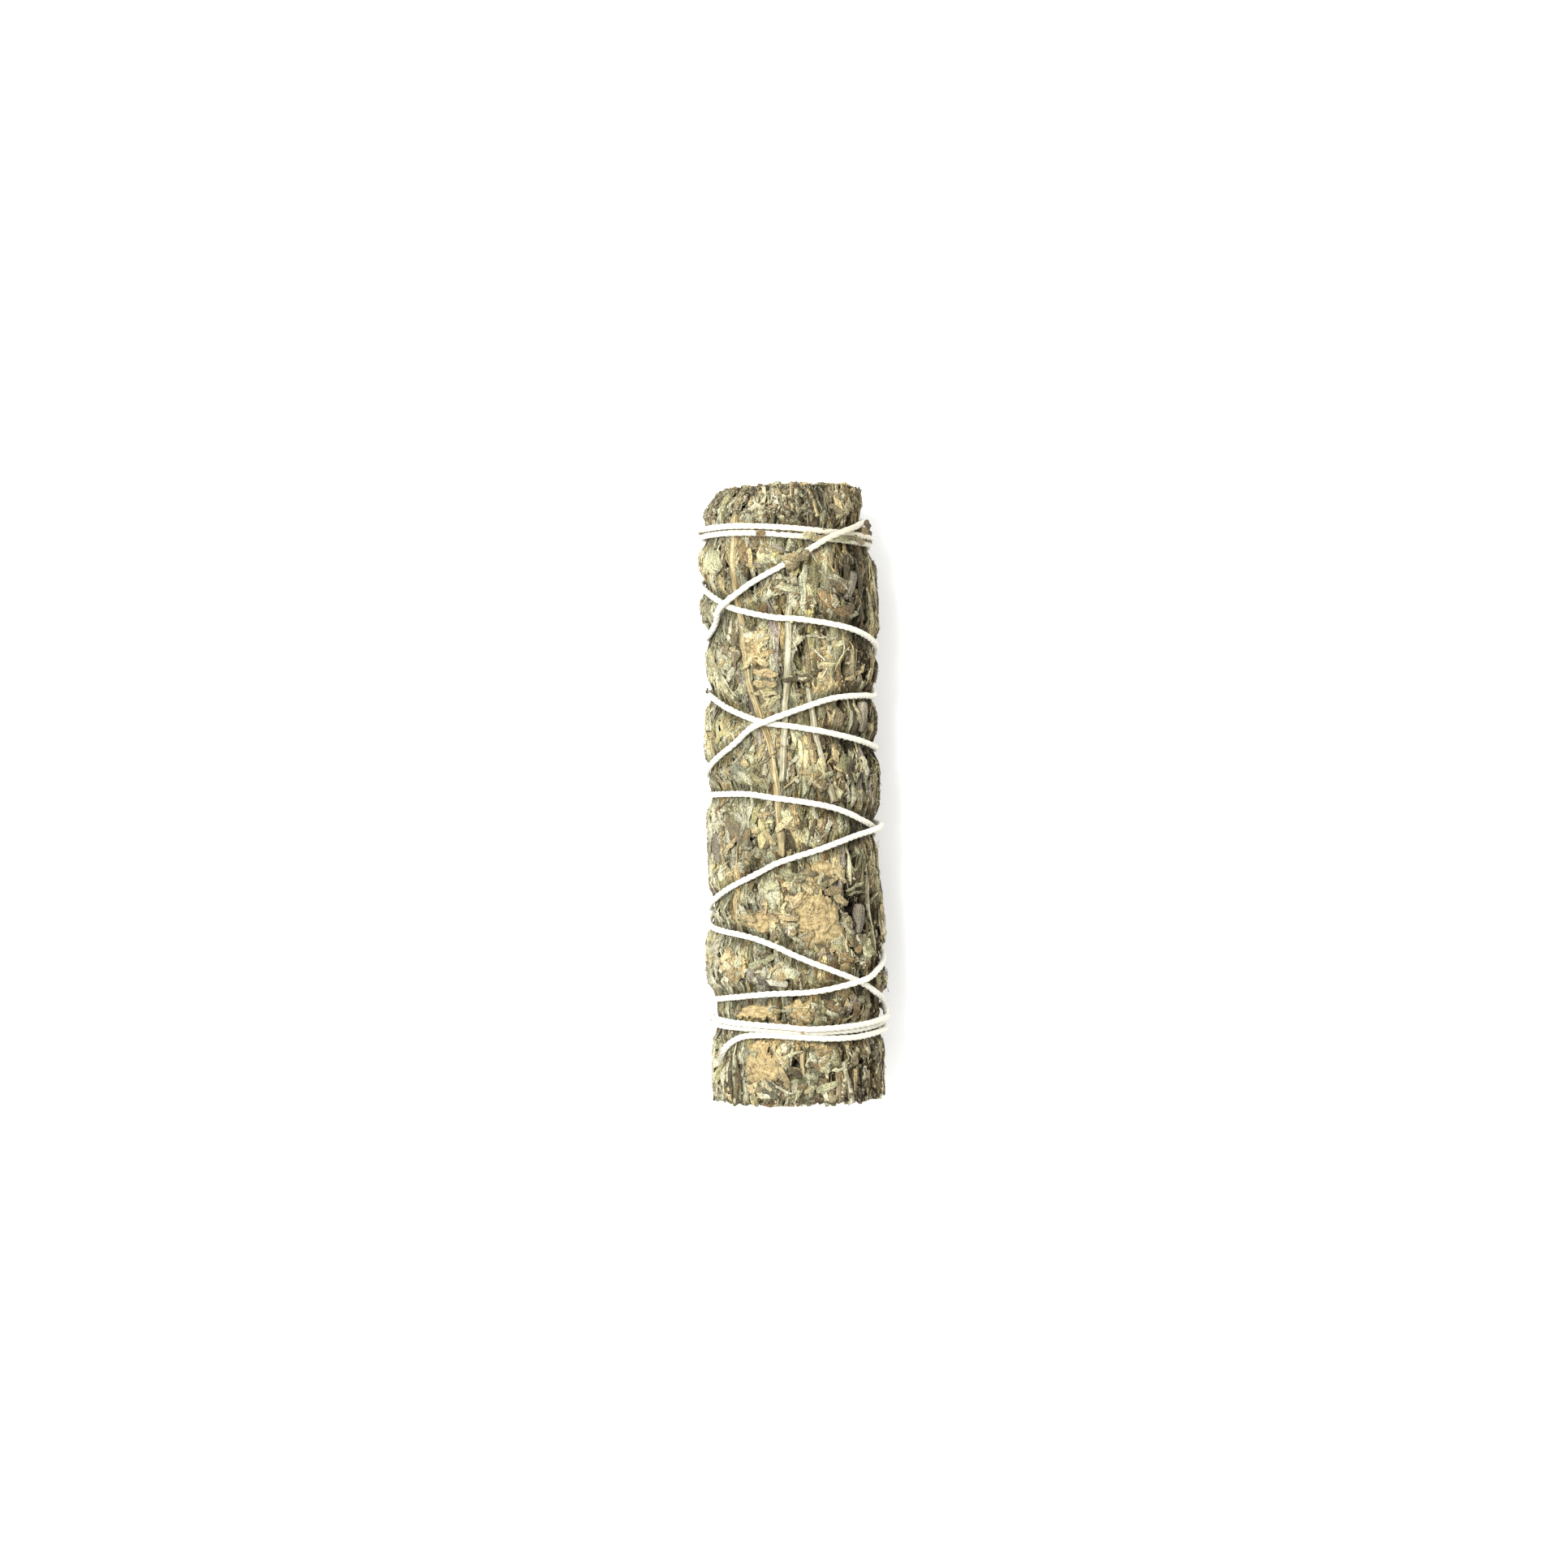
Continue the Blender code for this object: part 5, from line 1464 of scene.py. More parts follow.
@dataclass
class SurfaceBlade:
    """A papery bract or a single leaf in the surface: length, width and what is raised are in millimetres."""

    name: str
    degrees: float
    at: float
    length: float
    width: float
    turn: float
    finish: BladeFinish
    form: BunchForm
    cells: int = 28
    footprint_cells: int = 14
    top: float = 0.2 * MM
    thickness: float = 0.16 * MM
    slimmer: float = 0.86
    fold_count: int = 7
    fold: float = 0.24 * MM
    pleats: float = 4.5
    pleat: float = 0.07 * MM
    swell: float = 0.10 * MM
    tip_lift: float = 0.12 * MM
    foot_sink: float = 0.42 * MM
    side_sink: float = 0.30 * MM
    ragged_waves: tuple = ((0.13, 4.1, 0, 2), (0.09, 9.7, 1, -1), (0.05, 23, 8, 3))
    ragged_trim: float = 0.06
    tip_waves: tuple = ((0.13, 2.6, 2), (0.07, 6.3, 3), (0.03, 17, 4))
    cracks: int = 3
    crack_width: float = 0.045
    crack_depth: float = 0.2
    torn_each: float = 24.0
    torn_scale: tuple = (0.32, 0.55)
    torn_raised: tuple = (0.08, 0.2)

    @property
    def spot(self) -> tuple[float, float, float]:
        """Its middle and its heading, as the tables give them."""
        return self.degrees, self.at, self.turn

    def outline(self, t: np.ndarray, s: np.ndarray) -> tuple[np.ndarray, np.ndarray]:
        """Where a place of the blade is.

        Args:
            t: from foot to tip, 0 to 1.
            s: from side to side, -1 to 1.

        Returns:
            How far along and how far across it is.
        """
        half = 0.5 * self.width * MM * (0.30 + 0.70 * np.sin(math.pi * (0.10 + 0.68 * t)))
        fan = 0.16 * self.length * MM * (1 - s * s) * (t - 0.35)
        return (t - 0.5) * self.length * MM * self.slimmer + fan, s * half

    def footprint(self) -> tuple[np.ndarray, np.ndarray]:
        """Places all over the blade.

        Returns:
            The places, as angles and distances along the bunch.
        """
        count = self.footprint_cells
        t, s = np.meshgrid(np.linspace(0.06, 0.94, count), np.linspace(-0.86, 0.86, count))
        return self.form.walk_from(self.spot, *self.outline(t.ravel(), s.ravel()))

    def folds(self, along: np.ndarray, across: np.ndarray, rng: np.random.Generator) -> np.ndarray:
        """Sharp uneven folds like those of crumpled paper.

        Args:
            along: how far along the blade, in metres.
            across: how far across it, in metres.
            rng: draws the folds.

        Returns:
            A height for each place, about -1 to 1.
        """
        total = np.zeros(along.shape)
        for k in range(self.fold_count):
            finer = 1 + 0.6 * k
            heading = rng.normal(0, 0.75)
            turns = rng.uniform(0.10, 0.24) * finer / MM
            wave = 0.75 * turns * (across * math.cos(heading) + along * math.sin(heading)) + rng.uniform(0, 1)
            wave += 0.15 * np.sin(along / MM * 0.9 + rng.uniform(0, TAU))
            total += (np.abs(wave % 1 - 0.5) * 4 - 1) / finer
        return total / 2.2

    def add_sheet(
        self, batch: Batch, shape: Pattern, rng: np.random.Generator, scale: float = 1.0,
        shift: tuple[float, float] = (0.0, 0.0), lean: float = 0.0, raised: float = 0.0,
    ) -> None:
        """Adds one papery sheet, pleated from its foot, folded, and cracked at its margin.

        Args:
            batch: what it is added to.
            shape: the closed sheet that is laid.
            rng: draws its folds and cracks.
            scale: its size against the whole blade.
            shift: how far along and across the blade it lies, as shares of the blade's length and width.
            lean: how much further it is turned.
            raised: how far it lies above the blade.
        """
        p = shape.points
        s, t = 2 * p[:, 0], p[:, 1] + 0.5
        length, width = self.length * MM, self.width * MM
        phase = rng.uniform(0, TAU, 9)
        side = np.sign(s)
        ragged = sum(
            share * np.sin(k * t + phase[n] + turn * side) for share, k, n, turn in self.ragged_waves
        )
        along, across = self.outline(t, s * (1 + s * s * (ragged - self.ragged_trim)))
        tip = sum(share * np.sin(k * s + phase[n]) for share, k, n in self.tip_waves)
        places = rng.uniform(-0.8, 0.8, self.cracks)
        crack = sum(np.exp(-(((s - at) / self.crack_width) ** 2)) for at in places)
        along = along + length * t**3 * (tip - self.crack_depth * crack)
        heights = self.top + raised + self.fold * self.folds(along, across, rng)
        heights += self.pleat * np.sin(s * math.pi * self.pleats + 0.9 * np.sin(3 * t + phase[5]) + phase[6])
        heights += self.swell * np.sin(4 * t + 2 * s + phase[7]) + self.tip_lift * t**5
        heights -= self.foot_sink * (1 - t) ** 4 + self.side_sink * s**6
        heights -= self.thickness * (1 - p[:, 2])
        along, across = scale * along + shift[0] * length, scale * across + shift[1] * width
        sin, cos = math.sin(lean), math.cos(lean)
        angle, y = self.form.walk_from(self.spot, along * cos - across * sin, along * sin + across * cos)
        marks = np.stack([s * scale + phase[0], t * scale * self.length * 0.15], axis=1)
        # painted shade: the foot and the margins, which tuck under, count as less open to the light and are
        # painted darker
        open_to = 1.0 - 0.7 * (1 - t) ** 3 - 0.3 * np.abs(s) ** 6
        tone = rng.uniform(0.84, 1.04) * np.array([1.0, rng.uniform(0.95, 1.02), rng.uniform(0.86, 1.04)])
        batch.add(shape, self.form.place(angle, y, heights), marks, tone, open_to)

    def build(self, material: bpy.types.Material, rng: np.random.Generator) -> bpy.types.Object:
        """Makes the blade: one sheet, and on a bract smaller torn ones over it.

        Args:
            material: what it is dressed in.
            rng: draws its folds and its torn sheets.

        Returns:
            The piece.
        """
        batch = Batch()
        self.add_sheet(batch, Bench.sheet("sheet", self.cells), rng)
        small = Bench.sheet("small_sheet", self.cells // 2)
        torn = int(1 + self.length * self.width / self.torn_each) if self.finish is BladeFinish.BRACT else 0
        for _ in range(torn):
            shift = (rng.uniform(-0.25, 0.3), rng.uniform(-0.28, 0.28))
            scale, lean = rng.uniform(*self.torn_scale), rng.normal(0, 0.7)
            self.add_sheet(batch, small, rng, scale, shift, lean, rng.uniform(*self.torn_raised) * MM)
        piece = batch.build(f"{self.name}_dressed", material)
        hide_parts(self.name)
        return piece


@dataclass
class Calyx:
    """A dried flower cup that lies half sunk in the surface, its length and radius in millimetres."""

    name: str
    degrees: float
    at: float
    turn: float
    form: BunchForm
    length: float = 5.0
    radius: float = 0.95
    ribs: int = 12
    rib: float = 0.10
    sink: float = 0.15 * MM
    roughness: float = 0.05 * MM
    stations: tuple = (-0.5, -0.44, -0.36, -0.2, 0.0, 0.2, 0.34, 0.44, 0.5)
    widths: tuple = (0.3, 0.5, 0.62, 0.82, 0.96, 1.0, 0.95, 0.86, 0.78)
    mouth: float = 0.35
    tint: tuple = (146, 136, 114)
    lightness: tuple = (0.85, 1.1)

    @property
    def spot(self) -> tuple[float, float, float]:
        """Its middle and its heading, as the tables give them."""
        return self.degrees, self.at, self.turn

    def pattern(self) -> Pattern:
        """The cup, shaped from a rod with two sides to each rib: pinched at its foot and hollow at its mouth.

        Returns:
            The cup.
        """
        shape = Bench.rod("calyx_pattern", 2 * self.ribs)
        Bench.cut(self.stations[1:-1])
        Bench.scale_rings(shape, self.stations, [(width, width) for width in self.widths])
        Bench.sink_mouth(shape, self.mouth)
        return Bench.done(shape)

    def build(self, material: bpy.types.Material, rng: np.random.Generator) -> bpy.types.Object:
        """Lays the cup in its place.

        Args:
            material: what it is dressed in.
            rng: draws its unevenness.

        Returns:
            The piece.
        """
        shape = self.pattern()
        p = shape.points
        out = np.hypot(p[:, 0], p[:, 2])
        swing = np.arctan2(p[:, 2], p[:, 0])
        ribbed = 1 + self.rib * np.sign(np.sin(swing * self.ribs + 0.5)) * (out > 0.2)
        across, up = (p[:, axis] * ribbed * 2 * self.radius * MM for axis in (0, 2))
        along = p[:, 1] * self.length * MM + self.roughness * rng.standard_normal(len(p))
        angle, y = self.form.walk_from(self.spot, along, across)
        points = self.form.place(angle, y, up - self.sink)
        marks = np.stack([swing / TAU, p[:, 1] * 0.8], axis=1)
        tone = np.array(linear(*self.tint)[:3]) * rng.uniform(*self.lightness)
        batch = Batch()
        # painted shade: the pinched foot and the sunken mouth are less open and take the dark colour
        batch.add(shape, points, marks, tone, 0.5 + 0.5 * np.clip(out * 2.2, 0, 1))
        piece = batch.build(f"{self.name}_dressed", material)
        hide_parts(self.name)
        return piece


@dataclass(frozen=True)
class Bits:
    """How one kind of loose bit is drawn: its size and height as ranges in millimetres, and its bends.

    A bend is a spread about nothing or a pair (low, high), in radians for roll and twist and else in
    millimetres. None draws nothing. Its points stray by the crumple, or by the crumple share of its width
    where that is less. The scale is for its width and length. A bit that is held lies over the loose leaves,
    so that only the string presses it down, and a ceiling stands in for what the map says.
    """

    width: tuple = (0.0, 0.0)
    length: tuple = (0.0, 0.0)
    thick: tuple = (0.0, 0.0)
    height: tuple = (0.0, 0.0)
    roll: float | None = None
    twist: float | None = None
    bow: float | None = None
    lift: float | tuple | None = None
    crumple: float | tuple = 0.08
    crumple_share: float | None = None
    scale: float = 1.0
    held: bool = False
    ceiling: float | None = None


@dataclass(frozen=True)
class RodShape:
    """A pattern shaped from a rod: how wide it is at each station, and how many sides it has."""

    name: str
    widths: tuple
    stations: tuple = (-0.5, -0.36, -0.21, -0.07, 0.07, 0.21, 0.36, 0.5)
    sides: int = 6
    midrib: float = 0.28

    def make(self) -> Pattern:
        """A leaf with rolled margins and a sunken midrib.

        Returns:
            The pattern.
        """
        shape = Bench.rod(self.name, self.sides)
        Bench.cut(self.stations[1:-1])
        Bench.scale_rings(shape, self.stations, [(width, 0.75 + 0.25 * width) for width in self.widths])
        if Bench.take(shape, lambda co: abs(co.x) < 0.1 and co.z > 0.2):
            bpy.ops.transform.translate(value=(0, 0, -self.midrib))
        return Bench.done(shape)


FINE_STATIONS = (-0.5, -0.42, -0.3, -0.18, -0.06, 0.06, 0.18, 0.3, 0.42, 0.5)
SHORT_STATIONS = (-0.5, -0.2, 0.2, 0.5)
LEAF_SHAPES = (
    RodShape("leaf_lance", (0.16, 0.55, 0.85, 1.0, 0.98, 0.85, 0.6, 0.22)),
    RodShape("leaf_strap", (0.3, 0.74, 0.95, 1.0, 0.95, 0.88, 0.68, 0.24)),
    RodShape("leaf_torn", (0.5, 0.95, 0.72, 0.9, 1.0, 0.68, 0.8, 0.34)),
)
BROAD_SHAPES = (
    RodShape("leaf_broad", (0.3, 0.6, 0.85, 0.97, 1.0, 0.98, 0.92, 0.8, 0.55, 0.2), FINE_STATIONS, 10),
    RodShape("leaf_ragged", (0.6, 0.85, 0.8, 1.0, 0.9, 1.0, 0.82, 0.9, 0.7, 0.5), FINE_STATIONS, 10),
)
SCRAP_SHAPE = RodShape("leaf_scrap", (0.6, 1.0, 0.9, 0.55), SHORT_STATIONS)
SPLINTER_SHAPE = RodShape("splinter", (0.5, 0.9, 1.0, 0.8, 0.3), (-0.5, -0.25, 0.0, 0.25, 0.5), 4)
HAIR_SHAPE = RodShape("hair", (0.6, 1.0, 0.9, 0.3), SHORT_STATIONS, 3)


@dataclass
class LeafMass:
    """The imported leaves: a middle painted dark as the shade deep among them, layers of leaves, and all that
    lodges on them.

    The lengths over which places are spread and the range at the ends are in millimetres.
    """

    form: BunchForm
    press: PressMap
    rng: np.random.Generator
    under_leaves: int = 700
    outer_leaves: int = 1000
    broad_leaves: int = 330
    strips: int = 330
    tip_strips: int = 30
    scraps: int = 1300
    splinters: int = 950
    hairs: int = 1500
    crumbs: int = 3600
    end_crumbs: int = 1300
    dust: int = 1500
    core_rings: int = 120
    core_sides: int = 110
    core_sink: float = 1.9 * MM
    core_short: float = 1.4 * MM
    core_bulge: float = 0.4 * MM
    core_lump: float = 0.16 * MM
    core_grit: float = 0.14 * MM
    core_gap: float = 0.6 * MM
    core_waves: tuple = ((23, 300, 0), (17, -520, 1), (31, 90, 2))
    # the middle's colour: painted shade deep among the leaves
    core_painted_shade: tuple = (54, 44, 25)
    spread_length: float = 100.0
    spread_girth: float = 88.0
    spread_short: float = 1.5 * MM
    leaf_shares: tuple = (0.45, 0.35, 0.2)
    margin_wave: tuple = (9.0, 0.18)
    side_wave: float = 13.0
    face_waves: tuple = ((8.0, 2.2, 1.6), (17.0, -5.0, 1.1))
    grit: float = 0.3
    end_range: tuple = (-0.15, 0.9)
    held_height: float = 0.5 * MM
    face_share: float = 0.4
    floor_gap: float = 0.03 * MM
    mark_scale: float = 150.0
    shade_from: float = 1.7 * MM
    shade_reach: float = 2.1 * MM
    under: Bits = Bits(
        (1.1, 2.9), (6.5, 19.0), (0.32, 0.6), (-1.5, -0.5), 0.38, 0.45, 0.5, 0.5, (0.07, 0.2), scale=1.1
    )
    outer: Bits = Bits((1.1, 2.9), (6.5, 19.0), (0.32, 0.6), (-0.55, 0.25), 0.38, 0.45, 0.5, 0.5, (0.07, 0.2))
    broad: Bits = Bits((2.4, 5.2), (4.5, 12.0), (0.3, 0.55), (-0.75, -0.05), 0.22, 0.3, 0.5, 0.4, (0.1, 0.2))
    placed: Bits = Bits(
        height=(0.2, 0.38), roll=0.12, twist=0.2, bow=0.25, lift=0.2, crumple=(0.08, 0.15), held=True
    )
    placed_thick: tuple = (0.24, 0.36, 0.3)
    over_string: Bits = Bits(roll=0.15, crumple=0.1, crumple_share=0.06, ceiling=2.0)
    over_string_thick: float = 0.22
    strip: Bits = Bits((0.45, 1.25), (7, 20), (0.35, 0.55), (-0.1, 0.42), 0.25, 0.25, 0.4, 0.2, (0.02, 0.06))
    tip_strip: Bits = Bits((0.5, 1.15), (5, 9), (0.4, 0.6), (0.1, 0.5), 0.3, bow=0.2, crumple=0.05)
    scrap: Bits = Bits((0.5, 1.9), (1.2, 4.6), (0.16, 0.34), (-0.7, 0.5), 0.6, 0.8, None, 0.5, (0.04, 0.12))
    splinter: Bits = Bits(
        (0.16, 0.42), (1.6, 6.5), (0.14, 0.3), (0.05, 0.5), bow=0.4, lift=0.35, crumple=0.05
    )
    hair: Bits = Bits(
        (0.05, 0.12), (1.0, 3.0), (0.05, 0.1), (0.4, 0.62), bow=0.35, lift=(-0.7, 0.7), crumple=0.04,
        ceiling=0.95,
    )
    lodged: Bits = Bits(height=(0.3, 0.62), roll=0.4, twist=0.4, crumple=0.06, held=True)
    crumb: Bits = Bits(height=(-0.6, 0.55), roll=0.6, crumple_share=0.1)
    end_crumb: Bits = Bits(height=(-0.1, 0.55), crumple_share=0.1, held=True)
    speck: Bits = Bits(height=(0.3, 0.62), crumple_share=0.1, held=True)
    crumb_length: tuple = (0.9, 2.2)

    def __post_init__(self) -> None:
        """Draws the patches of tone and models the patterns that are copied."""
        self.tones = Tones(self.rng)
        self.leaf_patterns = [shape.make() for shape in LEAF_SHAPES]
        self.broad_patterns = [shape.make() for shape in BROAD_SHAPES]
        self.scrap_pattern = SCRAP_SHAPE.make()
        self.splinter_pattern = SPLINTER_SHAPE.make()
        self.hair_pattern = HAIR_SHAPE.make()
        self.crumb_pattern = self.model_crumb()

    @staticmethod
    def model_crumb() -> Pattern:
        """A broken bit, shaped from a small sphere.

        Returns:
            The pattern.
        """
        Bench.clear()
        bpy.ops.mesh.primitive_ico_sphere_add(subdivisions=1, radius=0.5)
        shape = bpy.context.object
        bpy.ops.object.mode_set(mode="EDIT")
        if Bench.take(shape, lambda co: co.z > 0.3):
            bpy.ops.transform.resize(value=(0.6, 1.3, 0.7))
        return Bench.done(shape)

    def drawn(self, bend: float | tuple | None) -> float:
        """A bend drawn by chance, as Bits says.

        Args:
            bend: how the bend is drawn.

        Returns:
            The bend.
        """
        if bend is None:
            return 0.0
        return self.rng.uniform(*bend) if isinstance(bend, tuple) else self.rng.normal(0, bend)

    def height_of(self, kind: Bits) -> float:
        """A height drawn for this kind."""
        return self.rng.uniform(*kind.height) * MM

    def size_of(self, kind: Bits) -> tuple[float, float, float]:
        """A width, a length and a thickness drawn for this kind."""
        width, length = (self.rng.uniform(*span) * MM * kind.scale for span in (kind.width, kind.length))
        return width, length, self.rng.uniform(*kind.thick) * MM

    def lay(
        self, batch: Batch, shape: Pattern, angle: float, y: float, size: tuple[float, float, float],
        turn: float, height: float, tone: np.ndarray, kind: Bits,
    ) -> None:
        """Lays one copy of a pattern on the bunch.

        Args:
            batch: what the copy is added to.
            shape: the pattern.
            angle: where its middle lies about the axis.
            y: where its middle lies along the bunch.
            size: its width, length and thickness.
            turn: its heading, from +Y.
            height: how far its middle stands above the leaf surface.
            tone: its colour.
            kind: how it is bent and pressed.
        """
        roll, twist, bow, lift = (self.drawn(bend) for bend in (kind.roll, kind.twist, kind.bow, kind.lift))
        bow, lift = bow * MM, lift * MM
        width, length, thick = size
        crumple = (self.rng.uniform(*kind.crumple) if isinstance(kind.crumple, tuple) else kind.crumple) * MM
        if kind.crumple_share is not None:
            crumple = min(crumple, kind.crumple_share * width)
        x, t, z = shape.points.T
        phase = self.rng.uniform(0, TAU, 4)
        centre = bow * (1 - 4 * t * t)
        turns, share = self.margin_wave
        across = x * width * (1 + share * np.sin(turns * t + phase[0]))
        across += crumple * np.sin(self.side_wave * t + phase[1])
        up = z * thick
        for (along, over, depth), shift in zip(self.face_waves, phase[2:]):
            up += depth * crumple * np.sin(along * t + over * x + shift)
        up += self.rng.normal(0, self.grit * crumple, len(t))
        lean = roll + twist * t
        side = centre + across * np.cos(lean) - up * np.sin(lean)
        rise = across * np.sin(lean) + up * np.cos(lean) + lift * t
        a, at = self.form.walk(angle, y, t * length, side, turn)
        end = self.form.half - self.rng.uniform(*self.end_range, len(t)) * MM
        at = np.clip(at, -end, end)
        most = self.press.at(a, at) if kind.ceiling is None else np.full(len(t), kind.ceiling * MM)
        if kind.held:
            most = np.where(self.press.bound(a, at), most, np.maximum(most, self.held_height))
        level = np.minimum(height + rise, most + self.face_share * z * thick)
        points = self.form.place(a, at, level)
        points[:, 2] = np.maximum(points[:, 2], self.floor_gap)
        marks = np.stack([x + phase[0], t * length * self.mark_scale + phase[1]], axis=1)
        rim = (0.9 + 0.35 * np.abs(x))[:, None]
        # painted shade: the deeper a point lies under the mean surface, the darker the leaf finish makes it
        shade = np.clip((level + self.shade_from) / self.shade_reach, 0, 1)
        batch.add(shape, points, marks, np.clip(tone * rim, 0, 1), shade)

    def lay_crumb(
        self, batch: Batch, angle: float, y: float, size: float, flat: float, kind: Bits, light: float = 1.0
    ) -> None:
        """Lays one crumb at any heading.

        Args:
            batch: what it is added to.
            angle: where it lies about the axis.
            y: where it lies along the bunch.
            size: its width.
            flat: its thickness as a share of its width.
            kind: how it is bent and pressed.
            light: how light it is against the others.
        """
        sizes = (size, size * self.rng.uniform(*self.crumb_length), size * flat)
        turn, height = self.rng.uniform(0, TAU), self.height_of(kind)
        self.lay(batch, self.crumb_pattern, angle, y, sizes, turn, height, light * self.tones.crumb(), kind)

    def spread(self, count: int, jitter: float = 0.9) -> list[tuple[float, float]]:
        """Places spread over the whole surface, with no two alike.

        Args:
            count: about how many there are.
            jitter: how far each strays, as a share of the way to the next.

        Returns:
            The places, as angles and distances along the bunch.
        """
        rows = max(1, round(math.sqrt(count * self.spread_length / self.spread_girth)))
        columns = max(1, count // rows)
        places = []
        for row in range(rows):
            for column in range(columns):
                u = (column + 0.5 * (row % 2) + self.rng.uniform(-jitter, jitter) * 0.5) / columns
                v = (row + 0.5 + self.rng.uniform(-jitter, jitter) * 0.5) / rows
                places.append((u * TAU, (2 * v - 1) * (self.form.half - self.spread_short)))
        return places

    def heading(self, stray: float = 0.16) -> float:
        """A leaf's heading: mostly along the bunch, and across for this share of the leaves."""
        turn = self.rng.normal(0, 0.14) if self.rng.random() > stray else self.rng.uniform(-1.2, 1.2)
        return turn + (math.pi if self.rng.random() < 0.5 else 0.0)

    def any_heading(self) -> float:
        """A heading all round."""
        return self.rng.uniform(0, TAU)

    def build_core(self, material: bpy.types.Material) -> bpy.types.Object:
        """Makes the middle, lumpy like packed leaves and painted dark as the shade deep among them.

        Args:
            material: what it is dressed in.

        Returns:
            The piece.
        """
        half = self.form.half - self.core_short
        round_to = np.linspace(0, TAU, self.core_sides, endpoint=False)
        angle, y = np.meshgrid(round_to, np.linspace(-half, half, self.core_rings))
        waves = sum(np.sin(k * angle + w * y + p) for k, w, p in self.core_waves)
        grit = self.core_grit * self.rng.standard_normal(angle.shape)
        height = self.core_lump * waves + grit - self.core_sink
        height = np.minimum(height, self.press.at(angle, y) - self.core_gap)
        points = self.form.place(angle, y, height).reshape(-1, 3)
        ends = [(0, end * (half - self.core_bulge), self.form.axis_height) for end in (-1, 1)]
        marks = np.vstack([np.stack([angle.ravel() * 3, y.ravel() * 200], axis=1), np.zeros((2, 2))])
        colour = np.array(linear(*self.core_painted_shade)[:3])
        shape = tube_pattern(self.core_rings, self.core_sides)
        batch = Batch()
        # openness 0: the finish paints the whole middle in its dark colour
        batch.add(shape, np.vstack([points, ends]), marks, colour, 0.0)
        piece = batch.build("leaf_core_painted_shade", material)
        piece.data.flip_normals()
        return piece

    def build_layer(
        self, name: str, material: bpy.types.Material, count: int, kind: Bits, pick: Callable[[], Pattern],
        head: Callable[[], float],
    ) -> bpy.types.Object:
        """Makes a layer of leaves or scraps spread over the whole surface.

        Args:
            name: the piece's name.
            material: what it is dressed in.
            count: about how many there are.
            kind: how each is drawn.
            pick: gives the pattern of each.
            head: gives the heading of each.

        Returns:
            The piece.
        """
        batch = Batch()
        for angle, y in self.spread(count):
            shape, size, turn, height = pick(), self.size_of(kind), head(), self.height_of(kind)
            self.lay(batch, shape, angle, y, size, turn, height, self.tones.leaf(angle, y), kind)
        return batch.build(name, material)

    def build_placed(self, material: bpy.types.Material) -> bpy.types.Object:
        """Makes the leaves that stand out and the scraps over the string, each in its own place.

        Args:
            material: what they are dressed in.

        Returns:
            The piece.
        """
        batch = Batch()
        thinnest, thickest, share = self.placed_thick
        for degrees, at, length, width, turn, tone in PLACED_LEAVES:
            angle, y = math.radians(degrees), at * MM
            light = self.tones.group(angle, y)
            shape = self.broad_patterns[self.rng.integers(2)] if width > 0.8 else self.leaf_patterns[1]
            size = (width * MM * 1.1, length * MM * 1.08, max(thinnest, min(thickest, share * width)) * MM)
            height = self.height_of(self.placed)
            colour = self.tones.vary(LeafTone(tone)) * light
            self.lay(batch, shape, angle, y, size, math.radians(turn), height, colour, self.placed)
        for degrees, at, length, width, turn, tone, up in SCRAPS_OVER_STRING:
            shape = self.broad_patterns[1] if width > 1.0 else self.scrap_pattern
            size = (width * MM, length * MM, self.over_string_thick * MM)
            colour = self.tones.vary(LeafTone(tone))
            angle, heading = math.radians(degrees), math.radians(turn)
            self.lay(batch, shape, angle, at * MM, size, heading, up * MM, colour, self.over_string)
        return batch.build("leaves_standing_out", material)

    def build_strips(self, material: bpy.types.Material) -> bpy.types.Object:
        """Makes the long narrow strips that lie side by side along the flanks, the back and the upper end.

        Args:
            material: what they are dressed in.

        Returns:
            The piece.
        """
        batch = Batch()
        shape = self.leaf_patterns[1]
        for _ in range(self.strips):
            angle = self.rng.choice([self.rng.uniform(*span) for span in ((2.2, 4.4), (-1.2, 0.9), (0, TAU))])
            y = self.rng.uniform(-46, 46) * MM
            tone = self.tones.leaf(angle, y) * (1.0 + 0.25 * self.rng.random())
            size, turn = self.size_of(self.strip), self.rng.normal(0, 0.07)
            self.lay(batch, shape, angle, y, size, turn, self.height_of(self.strip), tone, self.strip)
        for k in range(self.tip_strips):
            angle, y = math.radians(2 + 2.5 * k), self.rng.uniform(45.6, 47.6) * MM
            size, turn = self.size_of(self.tip_strip), self.rng.normal(0, 0.09)
            height = self.height_of(self.tip_strip)
            tone = self.tones.vary(self.tones.one_of(TIP_TONES))
            self.lay(batch, shape, angle, y, size, turn, height, tone, self.tip_strip)
        return batch.build("leaf_strips", material)

    def lodge(self, batch: Batch, angle: float, y: float, bract_share: float = 0.0) -> None:
        """Lays a scrap or a crumb over whatever lies at a place.

        Args:
            batch: what it is added to.
            angle: where about the axis.
            y: where along the bunch.
            bract_share: what share of the scraps is torn bract.
        """
        flake = self.rng.random() < 0.5
        torn = self.tones.one_of(TORN_BRACT_TONES)
        leafy = self.tones.vary(torn) if self.rng.random() < bract_share else self.tones.leaf(angle, y)
        size = self.rng.uniform(*((0.5, 1.6) if flake else (0.2, 0.6))) * MM
        sizes = (size, size * self.rng.uniform(1.0, 2.6), (0.3 if flake else 0.6) * size + 0.1 * MM)
        turn, height = self.any_heading(), self.height_of(self.lodged)
        shape, tone = (self.scrap_pattern, leafy) if flake else (self.crumb_pattern, self.tones.crumb())
        self.lay(batch, shape, angle, y, sizes, turn, height, tone, self.lodged)

